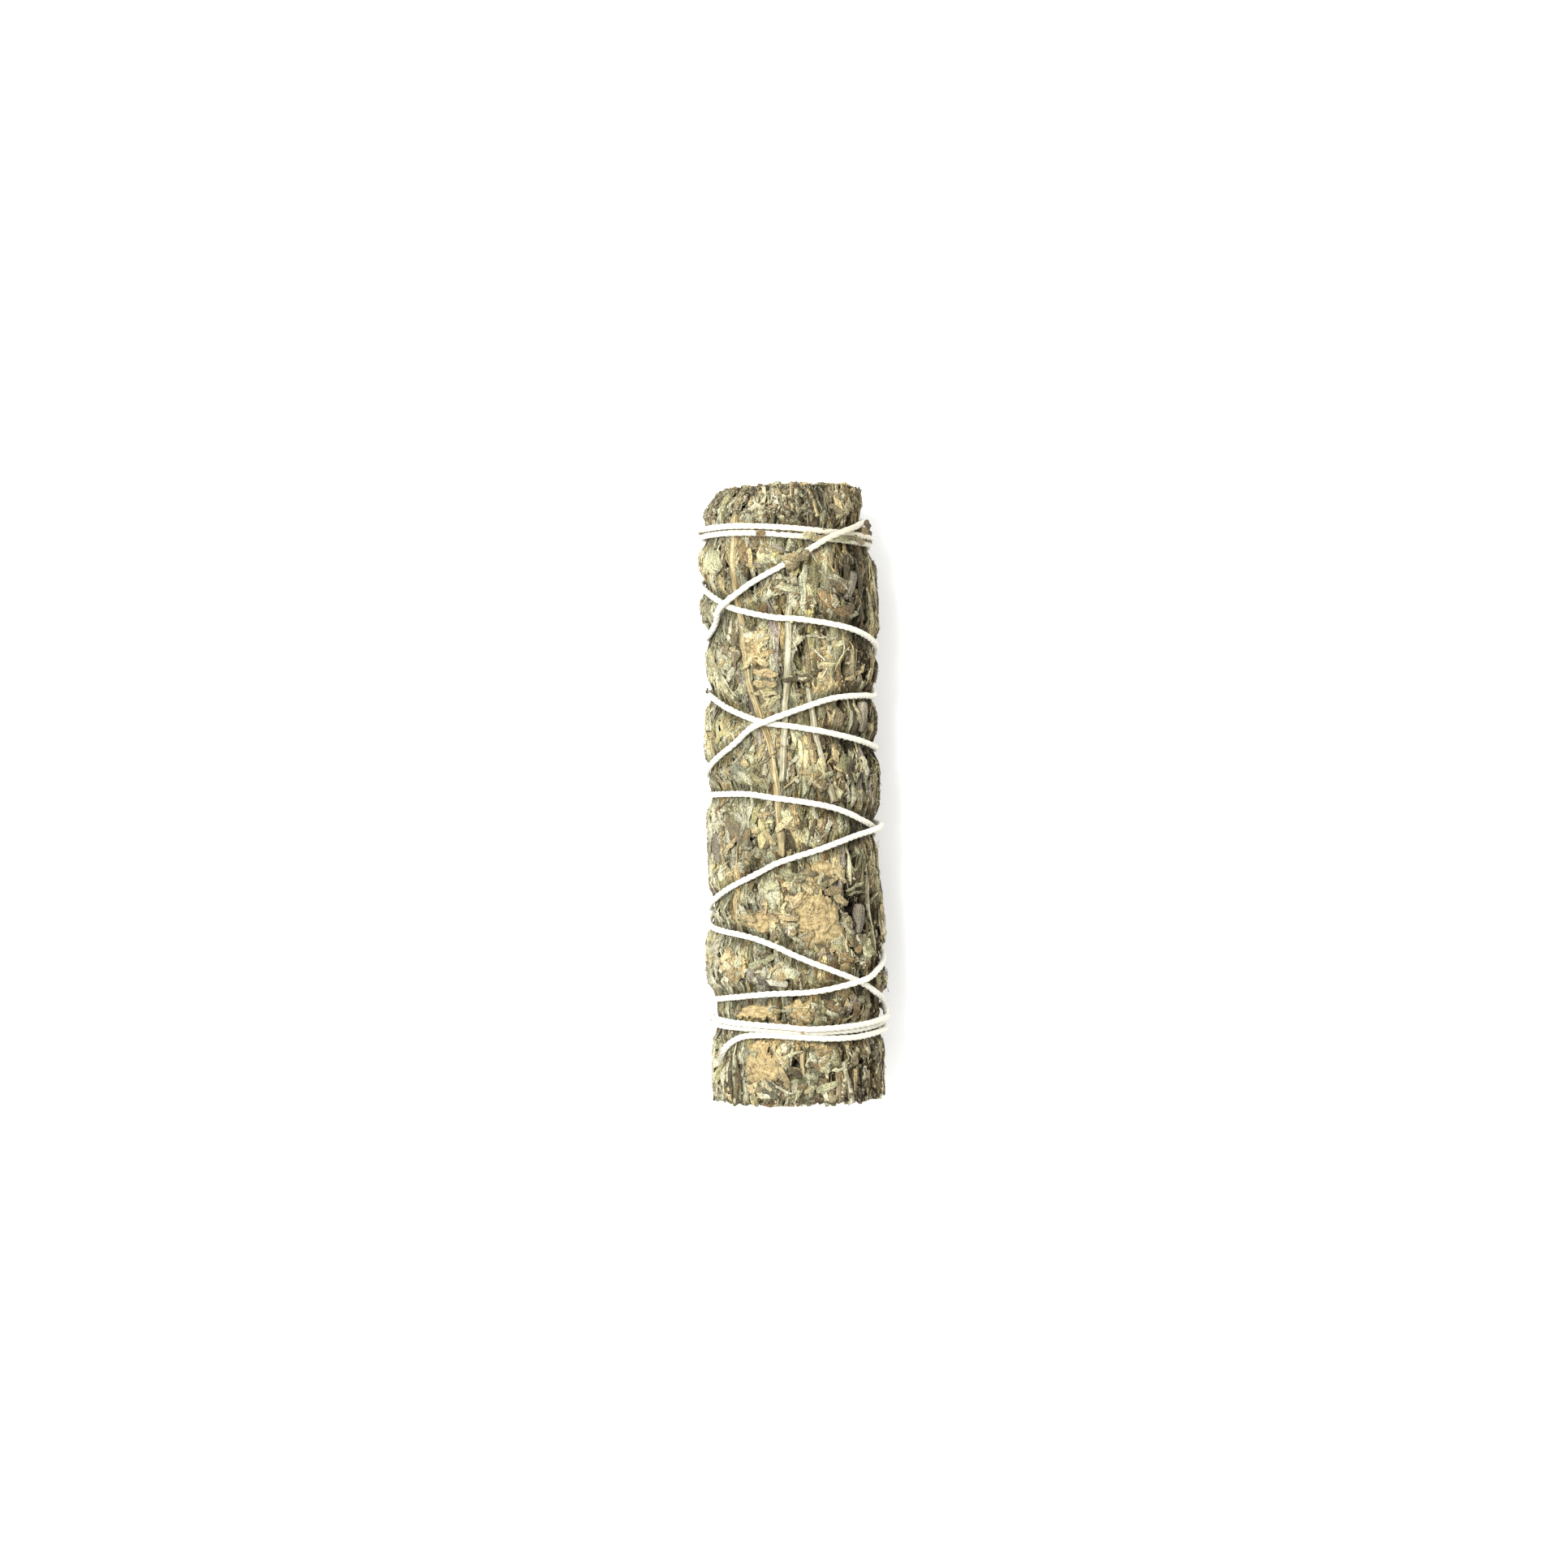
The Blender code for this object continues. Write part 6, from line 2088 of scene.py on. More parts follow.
    def build_margins(self, material: bpy.types.Material, blades: list[SurfaceBlade]) -> bpy.types.Object:
        """Makes the scraps and crumbs that lodge over the margins of the bracts and of the broad leaves.

        Args:
            material: what they are dressed in.
            blades: the bracts and single leaves.

        Returns:
            The piece.
        """
        batch = Batch()
        draw = self.rng.uniform
        for blade in blades:
            for _ in range(int(6 + 2.8 * (blade.length + blade.width))):
                t, s = draw(0, 1), self.rng.choice((-1, 1)) * draw(0.95, 1.18)
                if self.rng.random() < 0.45:
                    t, s = self.rng.choice((draw(-0.08, 0.04), draw(0.98, 1.1))), draw(-0.9, 0.9)
                angle, y = self.form.walk_from(blade.spot, *blade.outline(np.array(t), np.array(s)))
                self.lodge(batch, float(angle), float(y), 0.5)
        for degrees, at, length, width, turn, _ in PLACED_LEAVES:
            for _ in range(int(2.2 * (length + width)) if width > 1.3 else 0):
                swing = draw(0, TAU)
                along = 0.5 * length * math.cos(swing) * draw(0.8, 1.1) * MM
                across = 0.5 * width * math.sin(swing) * draw(0.7, 1.15) * MM
                angle, y = self.form.walk_from((degrees, at, turn), along, across)
                self.lodge(batch, float(angle), float(y))
        return batch.build("margin_scraps", material)

    def build_splinters(self, material: bpy.types.Material) -> bpy.types.Object:
        """Makes the thin pale fibres and splinters of stem that lie over the leaves.

        Args:
            material: what they are dressed in.

        Returns:
            The piece.
        """
        batch, kind = Batch(), self.splinter
        for angle, y in self.spread(self.splinters, 1.8):
            tone = self.tones.one_of(SPLINTER_TONES)
            size, turn, height = self.size_of(kind), self.heading(0.4), self.height_of(kind)
            self.lay(batch, self.splinter_pattern, angle, y, size, turn, height, self.tones.vary(tone), kind)
        return batch.build("splinters", material)

    def build_hairs(self, material: bpy.types.Material) -> bpy.types.Object:
        """Makes the fine hairs and frayed threads that stand out between the turns of the string.

        Args:
            material: what they are dressed in.

        Returns:
            The piece.
        """
        batch, kind = Batch(), self.hair
        for angle, y in self.spread(self.hairs, 1.9):
            tone = self.tones.one_of(HAIR_TONES)
            if bool(self.press.bound(angle, y)) or y < -46 * MM:
                continue
            size, turn, height = self.size_of(kind), self.any_heading(), self.height_of(kind)
            self.lay(batch, self.hair_pattern, angle, y, size, turn, height, self.tones.vary(tone), kind)
        return batch.build("leaf_hairs", material)

    def build_crumbs(self, material: bpy.types.Material) -> bpy.types.Object:
        """Makes the crumbs of leaf and bract that lodge in the surface, thicker at the ends, and dust.

        Args:
            material: what they are dressed in.

        Returns:
            The piece.
        """
        batch = Batch()
        draw = self.rng.uniform
        for angle, y in self.spread(self.crumbs, 1.6):
            self.lay_crumb(batch, angle, y, draw(0.2, 0.75) * MM * draw(0.6, 1.0), 0.6, self.crumb)
        for _ in range(self.end_crumbs):
            upper = self.rng.random() < 0.62
            angle, y = (draw(1.25, 3.4), draw(43.5, 50)) if upper else (draw(0, TAU), draw(-50, -46.5))
            size = draw(0.2, 0.5) * MM * draw(0.7, 1.6)
            self.lay_crumb(batch, angle, y * MM, size, 0.45, self.end_crumb, 0.8)
        for _ in range(self.dust):
            size = draw(0.14, 0.34) * MM
            self.lay_crumb(batch, draw(0, TAU), draw(-48, 48) * MM, size, 0.7, self.speck)
        return batch.build("leaf_crumbs", material)

    def build(
        self, leaf: bpy.types.Material, deep: bpy.types.Material, blades: list[SurfaceBlade]
    ) -> list[bpy.types.Object]:
        """Makes all but the hairs, from the middle outwards.

        Args:
            leaf: what the leaves are dressed in.
            deep: what the middle is dressed in.
            blades: the bracts and single leaves.

        Returns:
            The pieces.
        """

        def leaf_shape() -> Pattern:
            """One of the narrow leaves."""
            return self.leaf_patterns[self.rng.choice(3, p=self.leaf_shares)]

        def broad_shape() -> Pattern:
            """One of the broad leaves."""
            return self.broad_patterns[self.rng.integers(2)]

        return [
            self.build_core(deep),
            self.build_layer("leaves_under", leaf, self.under_leaves, self.under, leaf_shape, self.heading),
            self.build_layer("leaves_outer", leaf, self.outer_leaves, self.outer, leaf_shape, self.heading),
            self.build_layer(
                "leaves_broad", leaf, self.broad_leaves, self.broad, broad_shape, lambda: self.heading(0.35)
            ),
            self.build_placed(leaf),
            self.build_strips(leaf),
            self.build_margins(leaf, blades),
            self.build_splinters(leaf),
            self.build_layer(
                "leaf_scraps", leaf, self.scraps, self.scrap, lambda: self.scrap_pattern, self.any_heading
            ),
            self.build_crumbs(leaf),
        ]


@dataclass
class CutEnds:
    """The cut ends of leaves and twigs, packed over both faces: ranges in millimetres."""

    form: BunchForm
    tones: Tones
    rng: np.random.Generator
    count: int = 760
    golden_turn: float = 2.39996
    wander: float = 0.12
    shift: float = 0.2 * MM
    rim_gap: float = 0.5 * MM
    wide: tuple = (1.1, 3.0)
    thin: tuple = (0.5, 1.15)
    length: tuple = (3.0, 5.0)
    curl: float = 1.4
    spin: float = 0.9
    tip: tuple = (-0.55, 0.5)
    tip_most: float = 0.5
    rim_from: float = 0.82
    rim_drop: float = 1.3 * MM
    ragged: float = 0.2
    slant: float = 0.5
    longest: float = 0.6 * MM
    floor_gap: float = 0.05 * MM
    front_from: float = 0.3
    light: float = 0.9
    mouth_painted_shade: float = 0.8

    @staticmethod
    def pattern() -> Pattern:
        """The cut end of a leaf or twig, hollow at its face.

        Returns:
            The pattern.
        """
        shape = Bench.rod("cut_stub", 7)
        Bench.cut((0.38,))
        Bench.scale_rings(shape, (0.38, 0.5), [(1.08, 1.08), (0.86, 0.86)])
        Bench.sink_mouth(shape, 0.1)
        return Bench.done(shape)

    def lay(self, batch: Batch, shape: Pattern, end: int, i: int) -> None:
        """Lays one stub.

        Args:
            batch: what it is added to.
            shape: the stub's pattern.
            end: which face, -1 or 1.
            i: its number, counted from the middle outwards.
        """
        draw = self.rng
        p = shape.points
        reach = math.sqrt((i + 0.5) / self.count)
        angle = i * self.golden_turn + draw.normal(0, self.wander)
        rim = float(self.form.radius_at(angle, end * self.form.half)) - self.rim_gap
        x = reach * rim * math.cos(angle) + draw.normal(0, self.shift)
        z = reach * rim * math.sin(angle) + draw.normal(0, self.shift)
        wide, thin = draw.uniform(*self.wide) * MM, draw.uniform(*self.thin) * MM
        spin = angle + math.pi / 2 + draw.normal(0, self.spin)
        tip = self.form.half + min(draw.normal(*self.tip), self.tip_most) * MM
        tip -= self.rim_drop * max(0.0, reach - self.rim_from)
        u = p[:, 0] * wide
        v = p[:, 2] * thin + draw.uniform(-self.curl, self.curl) * thin * (p[:, 0] * 2) ** 2
        x = x + u * math.cos(spin) - v * math.sin(spin)
        z = z + u * math.sin(spin) + v * math.cos(spin)
        inward = np.minimum(1.0, (rim + self.rim_gap) / np.maximum(np.hypot(x, z), MM))
        front = p[:, 1] > self.front_from
        ragged = draw.normal(0, self.ragged, len(p)) * MM * front
        slant = draw.normal(0, self.slant) * u * front
        along = tip + (p[:, 1] - 0.5) * draw.uniform(*self.length) * MM + ragged + slant
        along = end * np.minimum(along, self.form.half + self.longest)
        up = np.maximum(self.form.axis_height + inward * z, self.floor_gap)
        marks = np.stack([p[:, 0], p[:, 1] * 0.8 + i], axis=1)
        # painted shade: the middle of each cut face, in its sunken mouth, is painted dark
        open_to = 1 - self.mouth_painted_shade * (front & (np.hypot(p[:, 0], p[:, 2]) < 0.1))
        points = np.stack([inward * x, along, up], axis=1)
        batch.add(shape, points, marks, self.tones.end(), self.light * open_to)

    def build(self, material: bpy.types.Material) -> bpy.types.Object:
        """Makes the stubs of both faces.

        Args:
            material: what they are dressed in.

        Returns:
            The piece.
        """
        batch = Batch()
        shape = self.pattern()
        mirrored = Pattern(shape.points, shape.loops[::-1], shape.sizes[::-1])
        for end, turned in ((-1, mirrored), (1, shape)):
            for i in range(self.count):
                self.lay(batch, turned, end, i)
        return batch.build("cut_ends", material)


@dataclass
class BindingString:
    """The cotton string: three plies twisted together, and loose fibres.

    The dust's place and reach are in degrees and millimetres. The fibres' lengths, and how far out they
    start, are in millimetres.
    """

    line: StringRun
    rng: np.random.Generator
    plies: int = 3
    ply_offset: float = 0.18 * MM
    ply_radius: float = 0.335 * MM
    ply_roughness: float = 0.06
    lay_length: float = 3.6 * MM
    loose_length: float = 5.0 * MM
    loose_share: float = 0.7
    thinning: tuple = (-1.0 * MM, 2.6 * MM)
    sides: int = 7
    floor_gap: float = 0.02 * MM
    mark_scale: float = 400.0
    dust_share: float = 0.95
    dust_at: tuple = (45, 41.5)
    dust_reach: tuple = (42, 4.2)
    fibres: int = 2500
    frayed_fibres: int = 90
    fibre_sides: int = 3
    fibre_rings: int = 4
    fibre_radius: float = 0.02 * MM
    fibre_length: tuple = (0.35, 1.1)
    frayed_stretch: float = 1.6
    fibre_out: float = 0.45
    frayed_out: float = 0.25
    fibre_floor_gap: float = 0.06 * MM
    fibre_mark_scale: float = 100.0

    def clean(self, angle: np.ndarray, y: np.ndarray) -> np.ndarray:
        """How clean the string is, where the upper band's right part is dusty.

        Args:
            angle: where about the axis.
            y: where along the bunch.

        Returns:
            1 for clean and 0 for dusty.
        """
        turned = (angle % TAU) / TAU * 360
        (degrees, at), (wide, long) = self.dust_at, self.dust_reach
        near = np.exp(-(((turned - degrees) / wide) ** 2) - ((y / MM - at) / long) ** 2)
        return 1 - self.dust_share * near

    def build(self, material: bpy.types.Material) -> bpy.types.Object:
        """Makes the plies.

        Args:
            material: what they are dressed in.

        Returns:
            The piece.
        """
        centre = self.line.points()
        _, side, other = carried_frames(centre)
        clean = self.clean(self.line.angle, self.line.y)
        left = self.line.run[-1] - self.line.run
        loose = 1 - smooth_step(left, 0.0, self.loose_length)
        away = self.ply_offset * (1 + self.loose_share * loose)
        batch = Batch()
        shape = tube_pattern(len(centre), self.sides)
        for ply in range(self.plies):
            swing = self.line.run / self.lay_length * TAU + ply * TAU / self.plies
            offset = np.cos(swing)[:, None] * side + np.sin(swing)[:, None] * other
            rough = 1 + self.ply_roughness * self.rng.standard_normal(len(centre))
            reach = self.ply_radius * rough * smooth_step(left, *self.thinning)
            strand = centre + offset * away[:, None]
            points, round_to, along_to = tube_points(strand, self.sides, reach[:, None])
            points[:, 2] = np.maximum(points[:, 2], self.floor_gap)
            marks = np.stack([round_to, along_to * self.mark_scale], axis=1)
            # the shade attribute here holds how clean the string is, for the dust, and paints no shade
            shade = np.append(np.repeat(clean, self.sides), (clean[0], clean[-1]))
            batch.add(shape, points, marks, np.ones(3), shade)
        piece = batch.build("string_plies", material)
        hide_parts("string")
        return piece

    def build_fibres(self, material: bpy.types.Material) -> bpy.types.Object:
        """Makes the fine loose fibres that stand off the string, and the frayed loose end.

        Args:
            material: what they are dressed in.

        Returns:
            The piece.
        """
        centre = self.line.points()
        along, side, other = carried_frames(centre)
        batch = Batch()
        shape = tube_pattern(self.fibre_rings, self.fibre_sides)
        t = np.linspace(0, 1, self.fibre_rings)[:, None]
        thin = np.linspace(1, 0.35, self.fibre_rings)[:, None] * self.fibre_radius
        draw = self.rng.uniform
        for i in range(self.fibres):
            frayed = i < self.frayed_fibres
            k = len(centre) - 1 - int(draw(0, 5)) if frayed else int(draw(0, len(centre)))
            swing = draw(0, TAU)
            out = math.cos(swing) * side[k] + math.sin(swing) * other[k]
            lean = along[k] * (draw(0.8, 1.5) if frayed else draw(-1, 1))
            length = draw(*self.fibre_length) * MM * (self.frayed_stretch if frayed else 1.0)
            away = self.frayed_out if frayed else self.fibre_out
            curl = np.cross(along[k], out) * draw(-0.5, 0.5)
            line = centre[k] + out * away * MM + length * (t * (lean + out * away) + t**2 * curl)
            line[:, 2] = np.maximum(line[:, 2], self.fibre_floor_gap)
            points, round_to, along_to = tube_points(line, self.fibre_sides, thin)
            marks = np.stack([round_to, along_to * self.fibre_mark_scale], axis=1)
            batch.add(shape, points, marks, np.ones(3), 1.0)
        return batch.build("string_fibres", material)


@dataclass
class InnerStems:
    """The stems inside the bunch, seen at its two cut ends."""

    nodes: list[str]
    rng: np.random.Generator
    sides: int = 16
    rings: int = 40
    pith_depth: float = 0.5 * MM
    lip: float = 0.3 * MM
    ridge: float = 0.05
    roughness: float = 0.03
    slimmer: float = 0.93
    pith_share: float = 0.5
    mark_scale: float = 150.0
    tint: tuple = (0.8, 0.76, 0.66)
    lightness: tuple = (0.8, 1.1)

    def build_one(self, name: str, material: bpy.types.Material) -> bpy.types.Object:
        """Makes one stem as a ridged straw with a sunken pith at both ends.

        Args:
            name: the node that it stands for.
            material: what it is dressed in.

        Returns:
            The piece.
        """
        low, high = (np.array(corner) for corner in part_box(name))
        middle = (low + high) / 2
        radius = (high[2] - low[2]) / 2
        straight = np.linspace(low[1] + self.lip, high[1] - self.lip, self.rings)
        stations = [low[1] + self.pith_depth, low[1], *straight, high[1], high[1] - self.pith_depth]
        line = np.array([(middle[0], station, middle[2]) for station in stations])
        swing = np.arange(self.sides) / self.sides * TAU
        ring = np.stack([np.cos(swing), np.zeros(self.sides), np.sin(swing)], axis=1)
        ridges = 1 + self.ridge * np.sign(np.sin(swing * self.sides / 2))
        rough = self.roughness * self.rng.standard_normal((len(line), self.sides))
        reach = radius * self.slimmer * (ridges + rough)
        reach[[0, -1]] *= self.pith_share
        points = (line[:, None, :] + ring[None, :, :] * reach[:, :, None]).reshape(-1, 3)
        points = np.vstack([points, line[:1], line[-1:]])
        round_to = np.append(np.tile(swing / TAU, len(line)), (0, 0))
        along_to = np.append(np.repeat(line[:, 1] * self.mark_scale, self.sides), (0, 0))
        tone = np.array(self.tint) * self.rng.uniform(*self.lightness)
        marks = np.stack([round_to, along_to], axis=1)
        batch = Batch()
        batch.add(tube_pattern(len(line), self.sides), points, marks, tone, 1.0)
        piece = batch.build(f"{name}_dressed", material)
        piece.data.flip_normals()
        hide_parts(name)
        return piece

    def build(self, material: bpy.types.Material) -> list[bpy.types.Object]:
        """Makes every stem, all dressed in this material."""
        return [self.build_one(name, material) for name in self.nodes]


@dataclass(frozen=True)
class Studio:
    """The pale floor, the soft light and the camera above."""

    floor_half: float = 3.0
    floor_drop: float = 0.02 * MM
    sky: float = 1.35
    lamp_place: tuple = (-0.42, 0.22, 1.02)
    lamp_size: float = 0.42
    lamp_power: float = 20.5
    view_width: float = 257.5 * MM
    lens: float = 85.0
    sensor: float = 36.0
    roll: float = math.radians(1.4)
    offset_right: float = 1.53 * MM
    offset_down: float = 1.6 * MM
    focus_height: float = 15.0 * MM
    clip: tuple = (0.05, 20.0)

    def build(self, material: bpy.types.Material) -> None:
        """Sets the floor, dressed in this material, the light and the camera.

        Args:
            material: what the floor is dressed in.
        """
        Bench.clear()
        bpy.ops.mesh.primitive_plane_add(size=2 * self.floor_half, location=(0, 0, -self.floor_drop))
        floor = bpy.context.object
        bpy.ops.object.transform_apply(location=True, rotation=True, scale=True)
        floor.name = "floor"
        floor.data.materials.append(material)
        world = bpy.data.worlds.new("studio")
        world.use_nodes = True
        background = world.node_tree.nodes["Background"]
        background.inputs["Color"].default_value = (1, 1, 1, 1)
        background.inputs["Strength"].default_value = self.sky
        bpy.context.scene.world = world
        self.lamp()
        self.camera()

    def lamp(self) -> None:
        """A square soft light that faces the bunch."""
        light = bpy.data.lights.new("key", "AREA")
        light.size = self.lamp_size
        light.energy = self.lamp_power
        lamp = bpy.data.objects.new("key", light)
        lamp.location = self.lamp_place
        lamp.rotation_mode = "QUATERNION"
        lamp.rotation_quaternion = Vector([-c for c in self.lamp_place]).to_track_quat("-Z", "Y")
        bpy.context.scene.collection.objects.link(lamp)

    def camera(self) -> None:
        """The camera straight above, turned and placed so that the bunch lies as it does in the picture."""
        data = bpy.data.cameras.new("camera")
        data.lens = self.lens
        data.sensor_width = self.sensor
        data.clip_start, data.clip_end = self.clip
        camera = bpy.data.objects.new("camera", data)
        distance = self.view_width * self.lens / self.sensor
        right = Vector((math.cos(self.roll), -math.sin(self.roll), 0))
        up = Vector((math.sin(self.roll), math.cos(self.roll), 0))
        middle = right * -self.offset_right + up * self.offset_down
        camera.location = middle + Vector((0, 0, self.focus_height + distance))
        camera.rotation_euler = (0, 0, -self.roll)
        bpy.context.scene.collection.objects.link(camera)
        bpy.context.scene.camera = camera


def surface_stems(form: BunchForm) -> list[Stem]:
    """The stems that lie in the surface, where the frame has them: name, route, radius, finish.

    Args:
        form: the surface that they lie in.

    Returns:
        The stems.
    """
    straw, pale = StemFinish.STRAW, StemFinish.PALE
    long_route = (
        (131, 49.8), (129, 42.0), (129, 34.0), (126, 25.5), (122, 20.5), (117, 16.0), (111, 12.0),
        (105, 6.6), (101, -2.0), (99, -10.0),
    )
    rows = (
        ("stem_long_straw", long_route, 0.62, straw),
        ("stem_pale_centre", ((86, 35.3), (90, 29.0), (92, 20.0), (95, 11.5), (98, 2.0)), 0.60, pale),
        ("stem_pale_right", ((78, 17.0), (75, 12.0), (70, 6.5), (60, -1.4)), 0.55, pale),
        ("stem_top_right", ((74, 50.3), (71, 47.5), (67, 44.6)), 0.55, straw),
        ("stem_top_edge", ((34, 50.4), (33, 48.0), (31, 45.6)), 0.60, straw),
        ("stem_top_centre", ((87, 49.6), (86, 45.4)), 0.60, straw),
        ("stem_foot_centre", ((88, -41.3), (88, -45.6)), 0.48, straw),
        ("stem_foot_right", ((58, -43.4), (54, -46.5), (49, -50.2)), 0.60, pale),
        ("stem_foot_left", ((163, -40.2), (161, -45.0), (160, -49.8)), 0.55, pale),
        ("stem_right_low", ((29, -11.5), (27, -17.0), (24, -26.0)), 0.52, pale),
        ("stem_back_left", ((214, 49.6), (218, 38.0), (222, 24.0), (219, 10.0)), 0.60, straw),
        ("stem_back_right", ((322, 30.0), (318, 18.0), (321, 4.0), (326, -8.0)), 0.62, pale),
    )
    return [Stem(name, route, radius * MM, finish, form) for name, route, radius, finish in rows]


def surface_blades(form: BunchForm) -> list[SurfaceBlade]:
    """The bracts and single leaves, where the frame has them: name, degrees, place, length, width, heading.

    Args:
        form: the surface that they lie in.

    Returns:
        The blades.
    """
    bract = BladeFinish.BRACT
    rows = (
        ("bract_large", 75, -20.8, 9.8, 9.4, 12, bract),
        ("bract_side", 113, -20.4, 3.8, 4.4, -60, bract),
        ("bract_upper", 71, -12.4, 3.2, 5.6, 175, bract),
        ("bract_foot", 117, -44.0, 7.0, 7.4, 25, bract),
        ("bract_band_left", 121, -34.9, 2.2, 7.0, 176, bract),
        ("bract_band_right", 89, -35.0, 2.8, 5.0, 10, bract),
        ("bract_low_left", 139, -28.4, 5.0, 4.2, 10, bract),
        ("bract_tip", 76, -42.0, 2.4, 3.6, 110, bract),
        ("bract_high", 114, 23.4, 4.2, 3.6, 20, bract),
        ("leaf_yellow", 112, -6.6, 5.6, 2.4, 8, BladeFinish.YELLOW),
        ("leaf_pale_curled", 106, -29.6, 5.2, 2.2, -62, BladeFinish.PALE),
        ("bract_back_high", 236, 31.5, 6.0, 5.0, 30, bract),
    )
    return [SurfaceBlade(*row, form) for row in rows]


def surface_calyces(form: BunchForm) -> list[Calyx]:
    """The flower cups of this surface, where the frame has them: name, degrees, place, heading.

    Args:
        form: the surface that they lie in.

    Returns:
        The cups.
    """
    rows = (
        ("calyx_right_high", 32, 12.2, 12), ("calyx_left", 155, -8.6, -12), ("calyx_right", 44, 33.4, 25),
        ("calyx_low", 42, -20.6, 12), ("calyx_back", 225, -12.0, 8),
    )
    return [Calyx(*row, form) for row in rows]


@dataclass(frozen=True)
class ChanceGaps:
    """How narrow gaps are drawn on one part of the bunch: degrees, and sizes in millimetres."""

    count: int
    degrees: tuple
    scale: tuple
    stray: float
    along: tuple = (-47, 47)
    length: tuple = (1.2, 5.5)
    width: tuple = (0.3, 0.95)

    def draw(self, rng: np.random.Generator) -> list[tuple[float, float, float, float, float]]:
        """Draws the gaps as rows like those of HOLLOWS.

        Args:
            rng: draws them.

        Returns:
            The rows.
        """
        rows = []
        for _ in range(self.count):
            degrees, at = rng.uniform(*self.degrees), rng.uniform(*self.along)
            length = rng.uniform(*self.length) * self.scale[0]
            width = rng.uniform(*self.width) * self.scale[1]
            rows.append((degrees, at, length, width, math.degrees(rng.normal(0, self.stray))))
        return rows


LOOSE_SIDE_GAPS = ChanceGaps(165, (-45, 55), (1.0, 1.0), 0.22)
OTHER_GAPS = ChanceGaps(145, (55, 360), (0.6, 0.75), 0.5)


@dataclass
class Pressing:
    """Presses the leaves down under the string, and round what lies among them, in millimetres."""

    press: PressMap
    line: StringRun
    string_share: float = 0.5
    string_depth: float = 0.8
    string_reach: tuple = (0.75, 3.0)
    stem_depth: float = 0.1
    stem_share: float = 0.9
    stem_reach: float = 0.7
    blade_depth: float = 0.25
    blade_reach: tuple = (0.15, 0.75)
    leaf_depth: float = 0.1
    leaf_share: float = 0.4
    gap_depth: float = 2.6
    gap_share: float = 0.32
    margin: float = 0.3
    cup_depth: float = 0.3
    cup_reach: float = 0.5

    def under_string(self) -> None:
        """Presses the leaves under the string, and keeps in mind where."""
        near, far = (reach * MM for reach in self.string_reach)
        level = self.line.height * self.string_share - self.string_depth * MM
        self.press.press(self.line.angle, self.line.y, level, near, far)
        self.press.remember_ties()

    def round_pieces(self, stems: list[Stem], blades: list[SurfaceBlade], cups: list[Calyx]) -> None:
        """Presses the leaves round the pieces of the frame that lie in the surface.

        Args:
            stems: the stems.
            blades: the bracts and single leaves.
            cups: the flower cups.
        """
        for stem in stems:
            near, far = stem.radius * self.stem_share, stem.radius + self.stem_reach * MM
            self.press.press(stem.angle, stem.y, stem.height - self.stem_depth * MM, near, far)
        near, far = (reach * MM for reach in self.blade_reach)
        for blade in blades:
            angle, y = blade.footprint()
            self.press.press(angle, y, np.full(angle.shape, -self.blade_depth * MM), near, far)
        for cup in cups:
            near, far = cup.radius, cup.radius + self.cup_reach
            self.press.press_line(cup.spot, cup.length, 0.5, -self.cup_depth, near, far)

    def round_leaves(self, rng: np.random.Generator) -> None:
        """Presses the leaves round those that stand out, and opens the gaps.

        Args:
            rng: draws the gaps that have no place of their own.
        """
        for degrees, at, length, width, turn, _ in PLACED_LEAVES:
            near, far = self.leaf_share * width, 0.5 * width + self.margin
            self.press.press_line((degrees, at, turn), length, 0.25, -self.leaf_depth, near, far)
        for degrees, at, length, width, turn in (*HOLLOWS, *LOOSE_SIDE_GAPS.draw(rng), *OTHER_GAPS.draw(rng)):
            near, far = self.gap_share * width, 0.5 * width + self.margin
            self.press.press_line((degrees, at, turn), length, 0.2, -self.gap_depth, near, far)


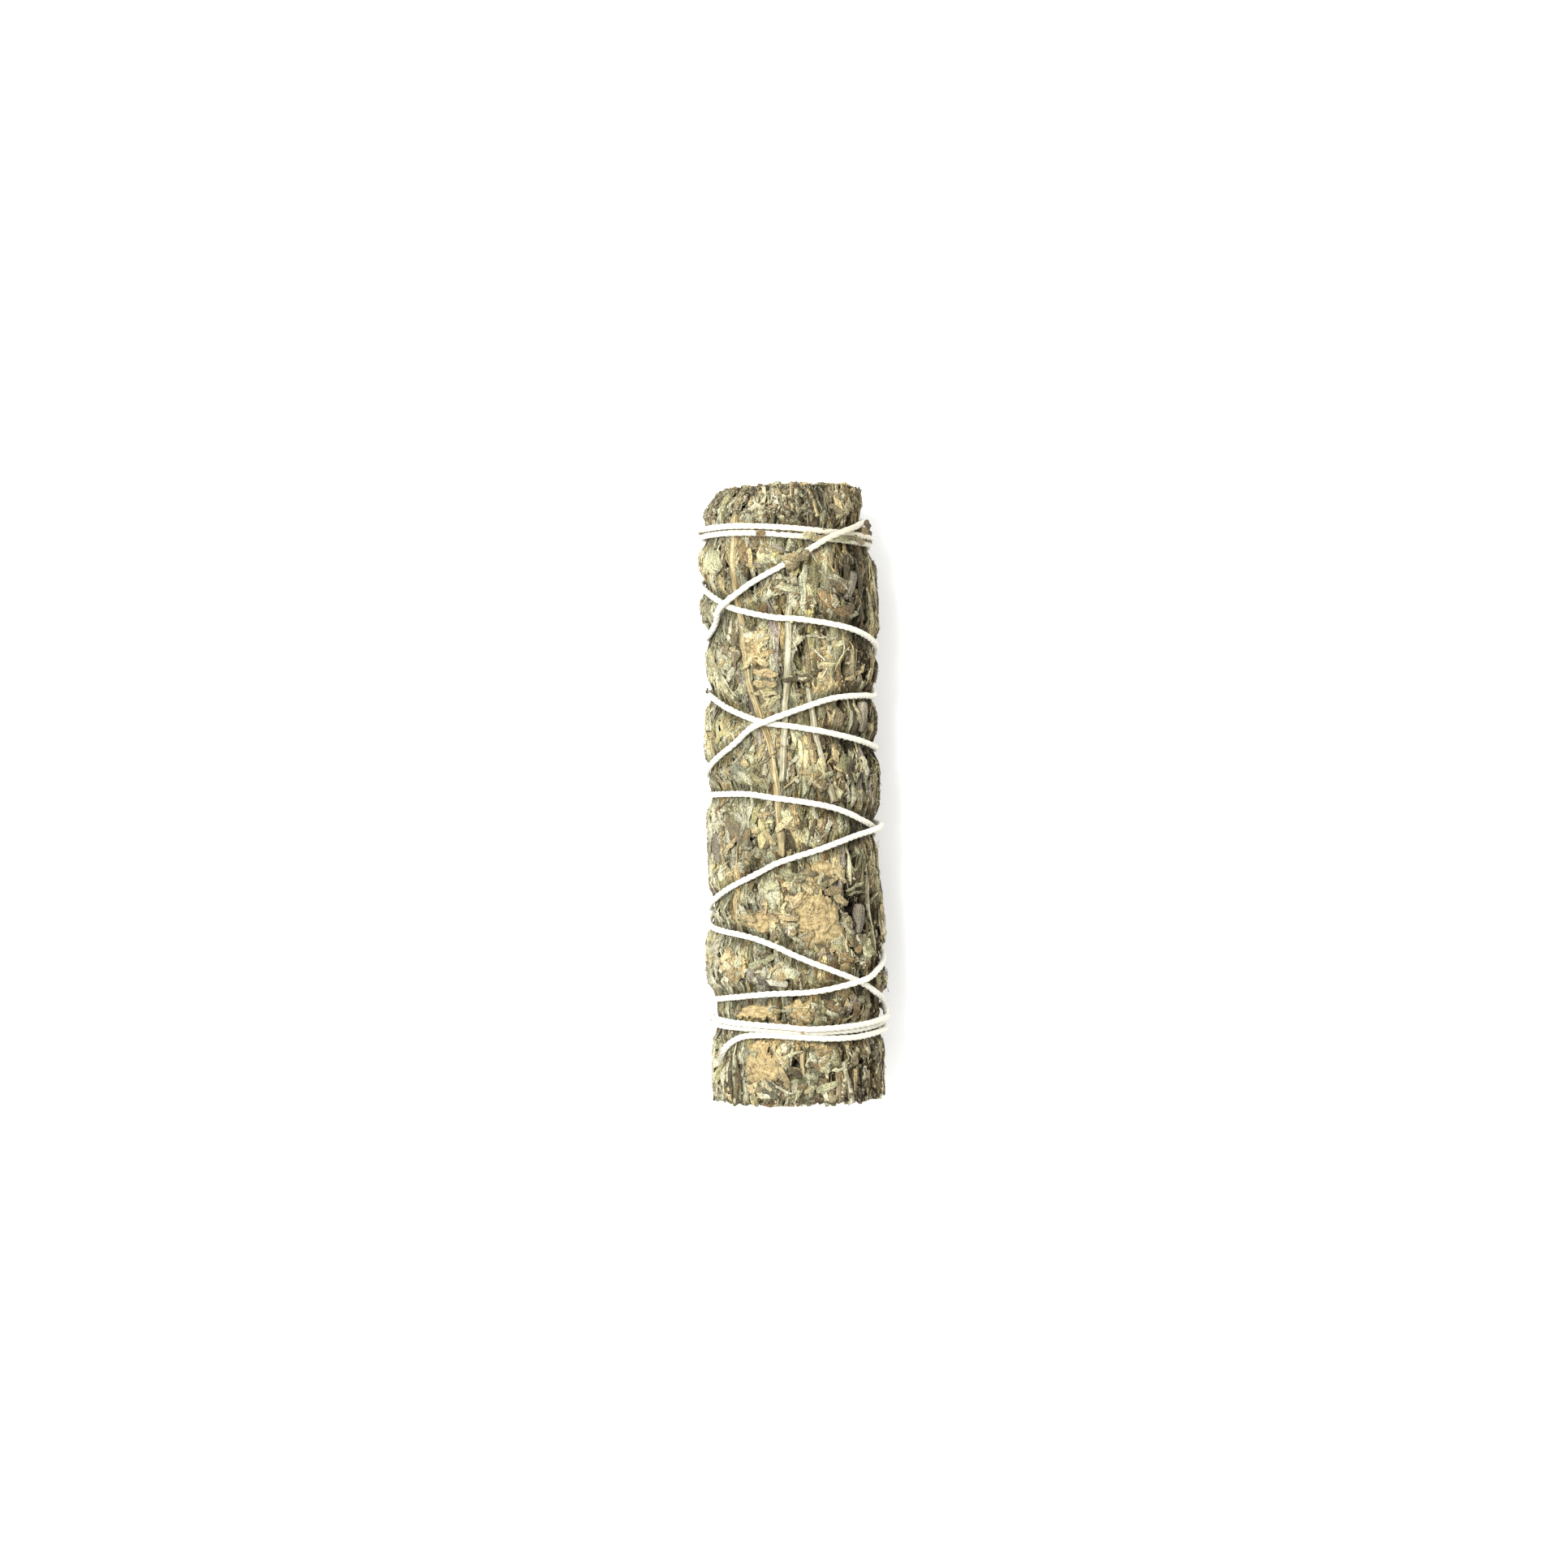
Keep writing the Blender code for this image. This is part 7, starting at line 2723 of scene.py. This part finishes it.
def finishes() -> dict[str | BladeFinish | StemFinish, bpy.types.Material]:
    """Every material of the bunch, by the option that it dresses or by name.

    Returns:
        The materials.
    """
    return {
        "leaf": LeafFinish("leaf_felted").make(),
        # the middle's material, with few pale hairs; its darkness is painted shade
        "deep": LeafFinish("leaf_deep_painted_shade", felt_share=0.12).make(),
        StemFinish.STRAW: StalkFinish("stem_straw").make(),
        StemFinish.PALE: StalkFinish(
            "stem_pale", ridge=linear(205, 202, 179), groove=linear(125, 118, 91)
        ).make(),
        BladeFinish.BRACT: PaperFinish("bract_paper", roughness=0.75).make(),
        BladeFinish.YELLOW: PaperFinish(
            "leaf_yellow_dry", body=linear(198, 190, 132), brown=linear(175, 163, 98),
            vein=linear(125, 111, 62), wear_and_highlight=linear(218, 212, 172),
        ).make(),
        BladeFinish.PALE: PaperFinish(
            "leaf_pale_dry", body=linear(191, 188, 168), brown=linear(159, 152, 127),
            vein=linear(109, 100, 77), wear_and_highlight=linear(214, 212, 198),
        ).make(),
        "cotton": CottonFinish("string_cotton").make(),
        # the cup's colour for painted shade at its foot and mouth
        "cup": LeafFinish("calyx_dry", hollow=linear(60, 50, 50)).make(),
    }


def main() -> None:
    """Builds every piece in order and sets the studio."""
    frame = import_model()
    rng = np.random.default_rng(SEED)
    form = BunchForm()
    line = StringRun(form)
    stems, blades, cups = surface_stems(form), surface_blades(form), surface_calyces(form)
    line.lift_over(stems)
    press = PressMap(form)
    pressing = Pressing(press, line)
    pressing.under_string()
    pressing.round_leaves(rng)
    pressing.round_pieces(stems, blades, cups)
    made = finishes()
    leaf, cotton = made["leaf"], made["cotton"]

    mass = LeafMass(form, press, rng)
    for piece in (*mass.build(leaf, made["deep"], blades), CutEnds(form, mass.tones, rng).build(leaf)):
        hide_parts("leaf_mass")
        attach(piece, "root")
    for stem in stems:
        piece = stem.build(made[stem.finish], rng)
        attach(piece, "root")
    inner = sorted(name for name in frame["nodes"] if name.startswith("inner_stem"))
    for piece in InnerStems(inner, rng).build(made[StemFinish.STRAW]):
        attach(piece, "root")
    for blade in blades:
        piece = blade.build(made[blade.finish], rng)
        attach(piece, "root")
    for cup in cups:
        piece = cup.build(made["cup"], rng)
        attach(piece, "root")
    binding = BindingString(line, rng)
    for piece in (binding.build(cotton), binding.build_fibres(cotton)):
        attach(piece, "root")
    hairs = mass.build_hairs(leaf)
    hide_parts("leaf_mass")
    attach(hairs, "root")

    Studio().build(FloorFinish("floor_pale").make())
    bpy.context.scene.view_settings.view_transform = "Standard"


if __name__ == "__main__":
    logging.basicConfig(level=logging.INFO, format="%(name)s: %(message)s")
    main()
